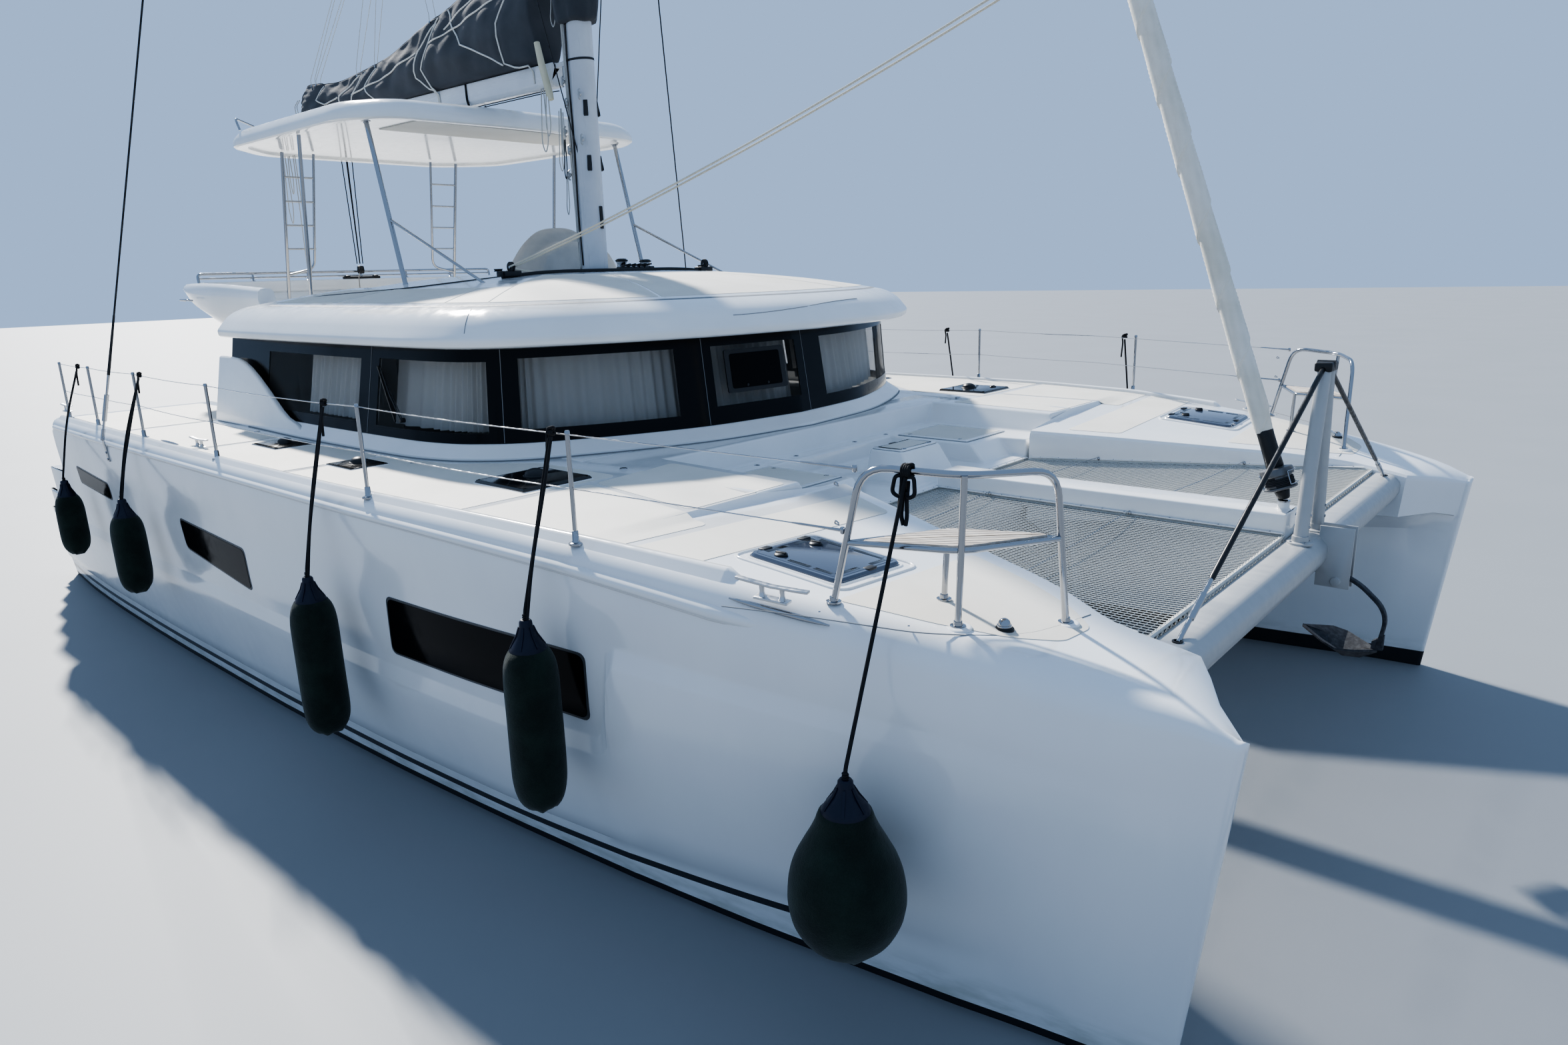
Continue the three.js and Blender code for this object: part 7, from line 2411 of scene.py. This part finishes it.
# Mainsheet
# Black blocks on a traveller bar on the flybridge's aft coaming and under the boom, with four parts
# between.
SHEET_X = -5.61
sheet_parts, sheet_blocks, sheet_metal = [], [], []
for x, y in ((-0.020, -0.030), (0.020, -0.012), (-0.020, 0.012), (0.020, 0.030)):
    part = [(SHEET_X + x, y, 3.80), (SHEET_X + x * 1.6, y * 1.9, 5.17)]
    sheet_parts.append(tube("part", part, 0.0062, sides=8))
sheet_parts.append(tube("part", [
    (SHEET_X + 0.03, -0.03, 3.76), (SHEET_X + 0.16, -0.10, 3.66), (SHEET_X + 0.40, -0.24, 3.618),
    (SHEET_X + 0.9, -0.5, 3.40),
], 0.0062, bend=0.08, sides=8))
traveller = bar("traveller", [(SHEET_X, -0.26, 3.618), (SHEET_X, 0.26, 3.618)], 0.044, 0.030)
round_edges(traveller, 0.004, 2, 40)
sheet_blocks.append(traveller)
for z in (3.72, 5.20):
    for y in (-0.026, 0.026):
        sheet_blocks.append(turned("sheave", [
            (0.030, -0.011), (0.036, -0.009), (0.026, 0.0), (0.036, 0.009), (0.030, 0.011),
        ], (SHEET_X, y, z), (SHEET_X, y + 1, z), 24))
    sheet_blocks.append(block(
        "cheek", (SHEET_X - 0.030, -0.042, z - 0.052), (SHEET_X + 0.030, 0.042, z + 0.052), 0.018, 3,
    ))
for y in (-0.20, 0.20):
    sheet_blocks.append(block(
        "car", (SHEET_X - 0.036, y - 0.03, 3.61), (SHEET_X + 0.036, y + 0.03, 3.648), 0.01, 2,
    ))
sheet_metal.append(tube("shackle", [(SHEET_X, 0, 3.625), (SHEET_X, 0, 3.68)], 0.012, sides=10))
sheet_metal.append(tube("shackle", [(SHEET_X, 0, 5.245), (SHEET_X, 0, 5.43)], 0.008, sides=10))
tackle = dress(joined("mainsheet_parts", sheet_parts), black_rope, angle=60)
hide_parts("mainsheet")
dress(joined("mainsheet_blocks", sheet_blocks), black_plastic, angle=40, slot="black_line")
dress(joined("mainsheet_shackles", sheet_metal), stainless, angle=40)
coils = []
for x, y, top, low, wide in (
    (-5.16, -1.02, 5.085, 4.25, 0.10), (-5.02, -0.96, 5.09, 3.55, 0.09), (-5.12, -0.98, 5.085, 4.6, 0.07),
):
    coils.append(tube("coil", [
        (x + wide * 0.2, y, top), (x + wide * 0.5, y, low + 0.18), (x, y - 0.006, low),
        (x - wide * 0.5, y - 0.01, low + 0.18), (x - wide * 0.2, y - 0.004, top),
    ], 0.0055, bend=0.09, sides=7))
dress(joined("hanging_lines", coils), grey_line, angle=60)


# Headsail sheets
# Two cream lines from the wound sail's clew down to the starboard car on the roof track, with their tails
# on the roof beside the mast.
CLEW = STAY_FOOT.lerp(STAY_HEAD, 0.194)
sheets = []
car_at = Vector((TRACK_X - 0.06, -1.27, on_roof(TRACK_X, -1.27).z + 0.10))
for shift in (-0.05, 0.05):
    start, end = CLEW + Vector((-0.06, -0.06 + shift, 0.02)), car_at + Vector((0.02, shift * 0.6, 0.0))
    sheets.append(tube("sheet", [
        start.lerp(end, t) + Vector((0, 0, -0.10 * 4 * t * (1 - t))) for t in [k / 14 for k in range(15)]
    ], 0.0085, sides=8))
sheets.append(tube("sheet", [
    car_at + Vector((-0.04, 0.03, -0.02)), on_roof(-0.40, -0.85, 0.012), on_roof(-0.62, -0.40, 0.012),
    on_roof(-0.66, -0.16, 0.03),
], 0.0085, bend=0.12, sides=8))
sheets.append(tube("sheet", [
    on_roof(-0.70, -0.24, 0.012), on_roof(-0.80, -0.36, 0.010), on_roof(-0.93, -0.28, 0.012),
    on_roof(-0.86, -0.14, 0.014), on_roof(-0.74, -0.2, 0.02),
], 0.0085, bend=0.07, sides=8))
sheet_cream = Finish("cream_line", (0.68, 0.62, 0.50), roughness=0.85, slot="black_line")
sheet_cream.tint((80, 3), (0.60, 0.54, 0.42), (0.76, 0.71, 0.60))
sheet_cream.bump((380, 1), 0.0007, 0.4)
dress(joined("headsail_sheets", sheets), sheet_cream, angle=60)


# Fenders
# Blown vinyl in fleece covers of dark green, hemmed at the shoulder, with a navy cone and eye at the top of
# each. The pear's cover is drawn to points underneath. Each hangs on a black line, the pear from the pulpit
# and the long ones from the upper guard wire.
fleece = Finish("fleece_cover", (0.010, 0.022, 0.016), roughness=0.95, sheen_weight=0.2, slot="fender_cloth")
pile = fleece.noise(150, 4)
fleece.tint((6, 5), (0.008, 0.017, 0.012), (0.017, 0.034, 0.025), 0.3, 0.75)
fleece.rough(pile, 0.3, 0.7, 0.88, 1.0)
fleece.bump(pile + fleece.noise(16, 4) * 2, 0.003, 0.6)
navy = Finish("navy_vinyl", (0.010, 0.013, 0.032), roughness=0.42, slot="fender_cloth")
navy.rough((30, 4), 0.3, 0.7, 0.34, 0.52)
FENDERS = [
    ("fender_1", -1, 5.6, 3.80, 1.44, 0.86, 0.265), ("fender_2", -1, 3.64, 4.01, 1.80, 1.12, 0.15),
    ("fender_3", -1, 1.34, 4.15, 1.65, 1.15, 0.15), ("fender_4", -1, -2.4, 4.15, 1.70, 0.90, 0.14),
    ("fender_5", -1, -4.3, 4.13, 1.65, 0.80, 0.13), ("fender_6", 1, 3.64, 4.01, 1.80, 1.12, 0.15),
    ("fender_7", 1, 1.34, 4.15, 1.65, 1.15, 0.15),
]
# Height up from the lowest point and share of the full radius, of the pear and of the long kind
PEAR = [
    (0.0, 0.02), (0.015, 0.30), (0.06, 0.56), (0.14, 0.82), (0.22, 0.95), (0.30, 0.995), (0.38, 0.97),
    (0.46, 0.89), (0.55, 0.72), (0.62, 0.575), (0.68, 0.475), (0.705, 0.44),
]
LONG = [(0.0, 0.02), (0.010, 0.32), (0.035, 0.60), (0.09, 0.85), (0.16, 0.96), (0.24, 0.995), (0.5, 1.0)]


def fender_radius(is_pear, up, length):
    if is_pear:
        return smooth(PEAR, up)[1]
    top_up = length - 0.17
    return smooth(LONG, min(up, 0.5))[1] if up < length - 0.42 else smooth([
        (length - 0.42, 1.0), (length - 0.33, 0.985), (length - 0.26, 0.94), (length - 0.21, 0.85),
        (top_up, 0.70), (top_up + 0.01, 0.66),
    ], up)[1]


for number, (name, s, x, y, top, length, radius) in enumerate(FENDERS):
    is_pear = name == "fender_1"
    hem_up = 0.705 if is_pear else length - 0.17
    base = Vector((x, s * y, top - length))
    rings = []
    count = 34
    for k in range(count + 1):
        up = hem_up * k / count
        share = fender_radius(is_pear, up, length)
        ring = []
        for a in circle(48):
            slack = 0.010 * sin(3 * a + 2.1 * number + 4 * up) + 0.006 * sin(5 * a - 7 * up + number)
            droop = 0.012 * sin(2 * a + 3 * number) * exp(-((up - 0.10) / 0.10) ** 2)
            gather = 0.05 * exp(-(up / 0.05) ** 2) * cos(9 * a)
            if is_pear:
                gather = 0.16 * exp(-(up / 0.085) ** 2) * abs(cos(2.5 * a))
            cuff = 0.03 * exp(-((up - hem_up + 0.012) / 0.012) ** 2)
            r = radius * min(1.0, share * (1 + slack + droop + gather) + cuff * 0.4)
            dip = (0.018 if not is_pear else 0.05) * (abs(cos(2.5 * a)) - 0.5) * exp(-(up / 0.06) ** 2)
            ring.append(base + polar(r, a, max(0.001, up + (dip if k else 0))))
        rings.append(ring)
    lip = rings[-1]
    centre = base + UP * hem_up
    for share, lift in ((0.93, 0.004), (0.90, -0.03)):
        rings.append([centre + (p - centre) * share + UP * lift for p in lip])
    cover_piece = skin(f"{name}_cover", rings)
    dress(cover_piece, fleece, angle=70)
    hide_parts(name)
    cone_r = radius * fender_radius(is_pear, hem_up - 0.005, length) * 0.93
    cone = turned(f"{name}_cone", [
        (cone_r, hem_up - 0.05), (cone_r, hem_up + 0.006), (cone_r * 0.86, hem_up + 0.030),
        (cone_r * 0.52, (hem_up + length) / 2), (0.036, length - 0.035), (0.034, length - 0.012),
        (0.026, length - 0.002), (0.0, length - 0.001),
    ], base, sides=32)
    rib_at = [(cone_r * 0.90, hem_up + 0.02), (cone_r * 0.53, (hem_up + length) / 2), (0.037, length - 0.04)]
    ribs = []
    for j in range(6):
        a = pi * j / 3
        path = [base + polar(r, a, lift) for r, lift in rib_at]
        ribs.append(bar("rib", path, 0.012, 0.010))
    dress(joined(f"{name}_cone", [cone, *ribs]), navy, angle=40)
    # Its line: from the eye over the deck edge to a hitch on the wire
    eye = base + Vector((0, 0, length - 0.012))
    if is_pear:
        tie = Vector((5.6, s * 3.3376, 2.7037))
    else:
        spans = list(zip(GUARD_POSTS, GUARD_POSTS[1:]))
        (xa, ya), (xb, yb) = next(span for span in spans if span[1][0] >= x)
        share = (x - xa) / (xb - xa)
        tie = on_foot(xa, ya, GUARD_WIRES[0]).lerp(on_foot(xb, yb, GUARD_WIRES[0]), share)
        tie.y *= s
        tie.z -= WIRE_SAG * hypot(xb - xa, yb - ya) * 4 * share * (1 - share)
    route = [eye, eye + UP * 0.05, tie + Vector((0, s * 0.012, -0.03))]
    if not is_pear:
        route.insert(2, Vector((x, s * max(section(x)[4] + 0.05, 0.55 * y + 0.45 * abs(tie.y)), 2.25)))
    line_path = rounded_path(route, 0.3, 6)
    lines = [tube("line", line_path, 0.0095, sides=10)]
    if name in ("fender_2", "fender_3", "fender_4"):
        slack = [eye + Vector((0.014, 0, 0)), eye.lerp(tie, 0.3) + Vector((0.030, s * 0.030, 0)),
                 eye.lerp(tie, 0.7) + Vector((0.042, s * 0.024, 0)), tie + Vector((0.022, s * 0.014, -0.02))]
        lines.append(tube("line", rounded_path(slack, 0.3, 5), 0.0085, sides=9))
    for lift in (0.004, 0.016, 0.028):
        lines.append(tube("turn", [
            eye + Vector((0.011 * cos(a), 0.011 * sin(a), lift + 0.012 * a / 6.28))
            for a in circle(12, 1)
        ], 0.0055, sides=6))
    hitch_r = 0.024 if is_pear else 0.010
    for shift in (-0.016, -0.005, 0.006, 0.017):
        ring = [
            tie + Vector((shift + 0.006 * a / 6.28, hitch_r * cos(a), hitch_r * sin(a)))
            for a in circle(14, 1)
        ]
        lines.append(tube("hitch", ring, 0.0085, sides=7))
    hitch = [
        (-0.014, 0.008, 0.010), (0.024, 0.012, 0.020), (0.030, -0.004, 0.030), (-0.004, -0.012, 0.022),
        (-0.026, 0.0, 0.004), (-0.020, s * 0.014, -0.06), (-0.030, s * 0.016, -0.16 - 0.03 * (number % 3)),
    ]
    lines.append(tube("hitch", [tie + Vector(off) for off in hitch], 0.0085, bend=0.014, sides=7))
    if is_pear:
        for shift in (-0.03, 0.03):
            bow = [
                (0, 0, -0.03), (shift * 1.6, s * 0.02, -0.02), (shift * 2.0, s * 0.03, -0.10),
                (shift * 0.5, s * 0.022, -0.12), (0, 0.01, -0.05),
            ]
            lines.append(tube("bow", [tie + Vector(off) for off in bow], 0.0092, bend=0.025, sides=7))
            end = [
                (shift * 0.3, s * 0.018, -0.06 - abs(shift)), (shift * 0.5, s * 0.022, -0.20),
                (shift * 0.2, s * 0.020, -0.24),
            ]
            lines.append(tube("bow", [tie + Vector(off) for off in end], 0.0095, bend=0.02, sides=7))
    dress(joined(f"{name}_line", lines), black_rope, angle=60)


# Saloon's aft wall, its sliding door and the furniture
# White moulding with glass either side, one leaf of the door running behind the other, and veneered lockers
# inside.
bulkhead = moulded("saloon_aft_wall", "aft_bulkhead", radius=0.004)
dress(bulkhead, gelcoat, angle=40)
door = moulded("saloon_door_leaf", "saloon_door", radius=0.004)
door_glass = Finish(
    "door_glass", (0.02, 0.024, 0.028), roughness=0.06, coat_weight=0.4, coat_roughness=0.03,
    slot="glazing",
)
door_glass.rough((4, 5), 0.3, 0.75, 0.04, 0.12)
dress(door, door_glass, "saloon_door", angle=40)
veneer = Finish("oak_veneer", (0.42, 0.31, 0.20), roughness=0.45, slot="teak")
figure = veneer.noise(7, 7, (0.12, 1, 1))
veneer.tint(figure, (0.47, 0.35, 0.235), (0.33, 0.23, 0.145), 0.3, 0.72)
veneer.rough(figure, 0.3, 0.7, 0.38, 0.55)
veneer.bump(figure, 0.0006, 0.3)
for node, name in (
    ("saloon_furniture", "saloon_lockers"), ("saloon_table", "saloon_table_top"),
    ("cockpit_table", "cockpit_table_top"),
):
    dress(moulded(name, node, radius=0.012), veneer, angle=40)


# Keels, rudders, sail drives and propellers
# Stub keels and spade rudders moulded and painted with the hulls' antifouling, cast legs, bronze propellers.
antifouling = Finish("antifouling", (0.018, 0.019, 0.021), roughness=0.85)
antifouling.tint((4, 6), (0.014, 0.015, 0.017), (0.034, 0.036, 0.038), 0.3, 0.75)
antifouling.bump((60, 4), 0.0015, 0.4)
bronze = Finish("manganese_bronze", (0.42, 0.28, 0.13), roughness=0.38, metallic=0.9)
bronze.tint((14, 5), (0.46, 0.31, 0.15), (0.30, 0.23, 0.14), 0.35, 0.7)
bronze.rough((20, 4), 0.3, 0.7, 0.28, 0.5)
cast_leg = Finish("cast_leg", (0.10, 0.105, 0.11), roughness=0.55, metallic=0.3)
cast_leg.rough((18, 5), 0.3, 0.75, 0.45, 0.65)
cast_leg.bump((120, 3), 0.0008, 0.3)
for side_name in ("port", "starboard"):
    for node, finish in ((f"keel_{side_name}", antifouling), (f"rudder_{side_name}", antifouling),
                         (f"sail_drive_{side_name}", cast_leg), (f"propeller_{side_name}", bronze)):
        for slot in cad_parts[node].material_slots:
            slot.material = finish.material
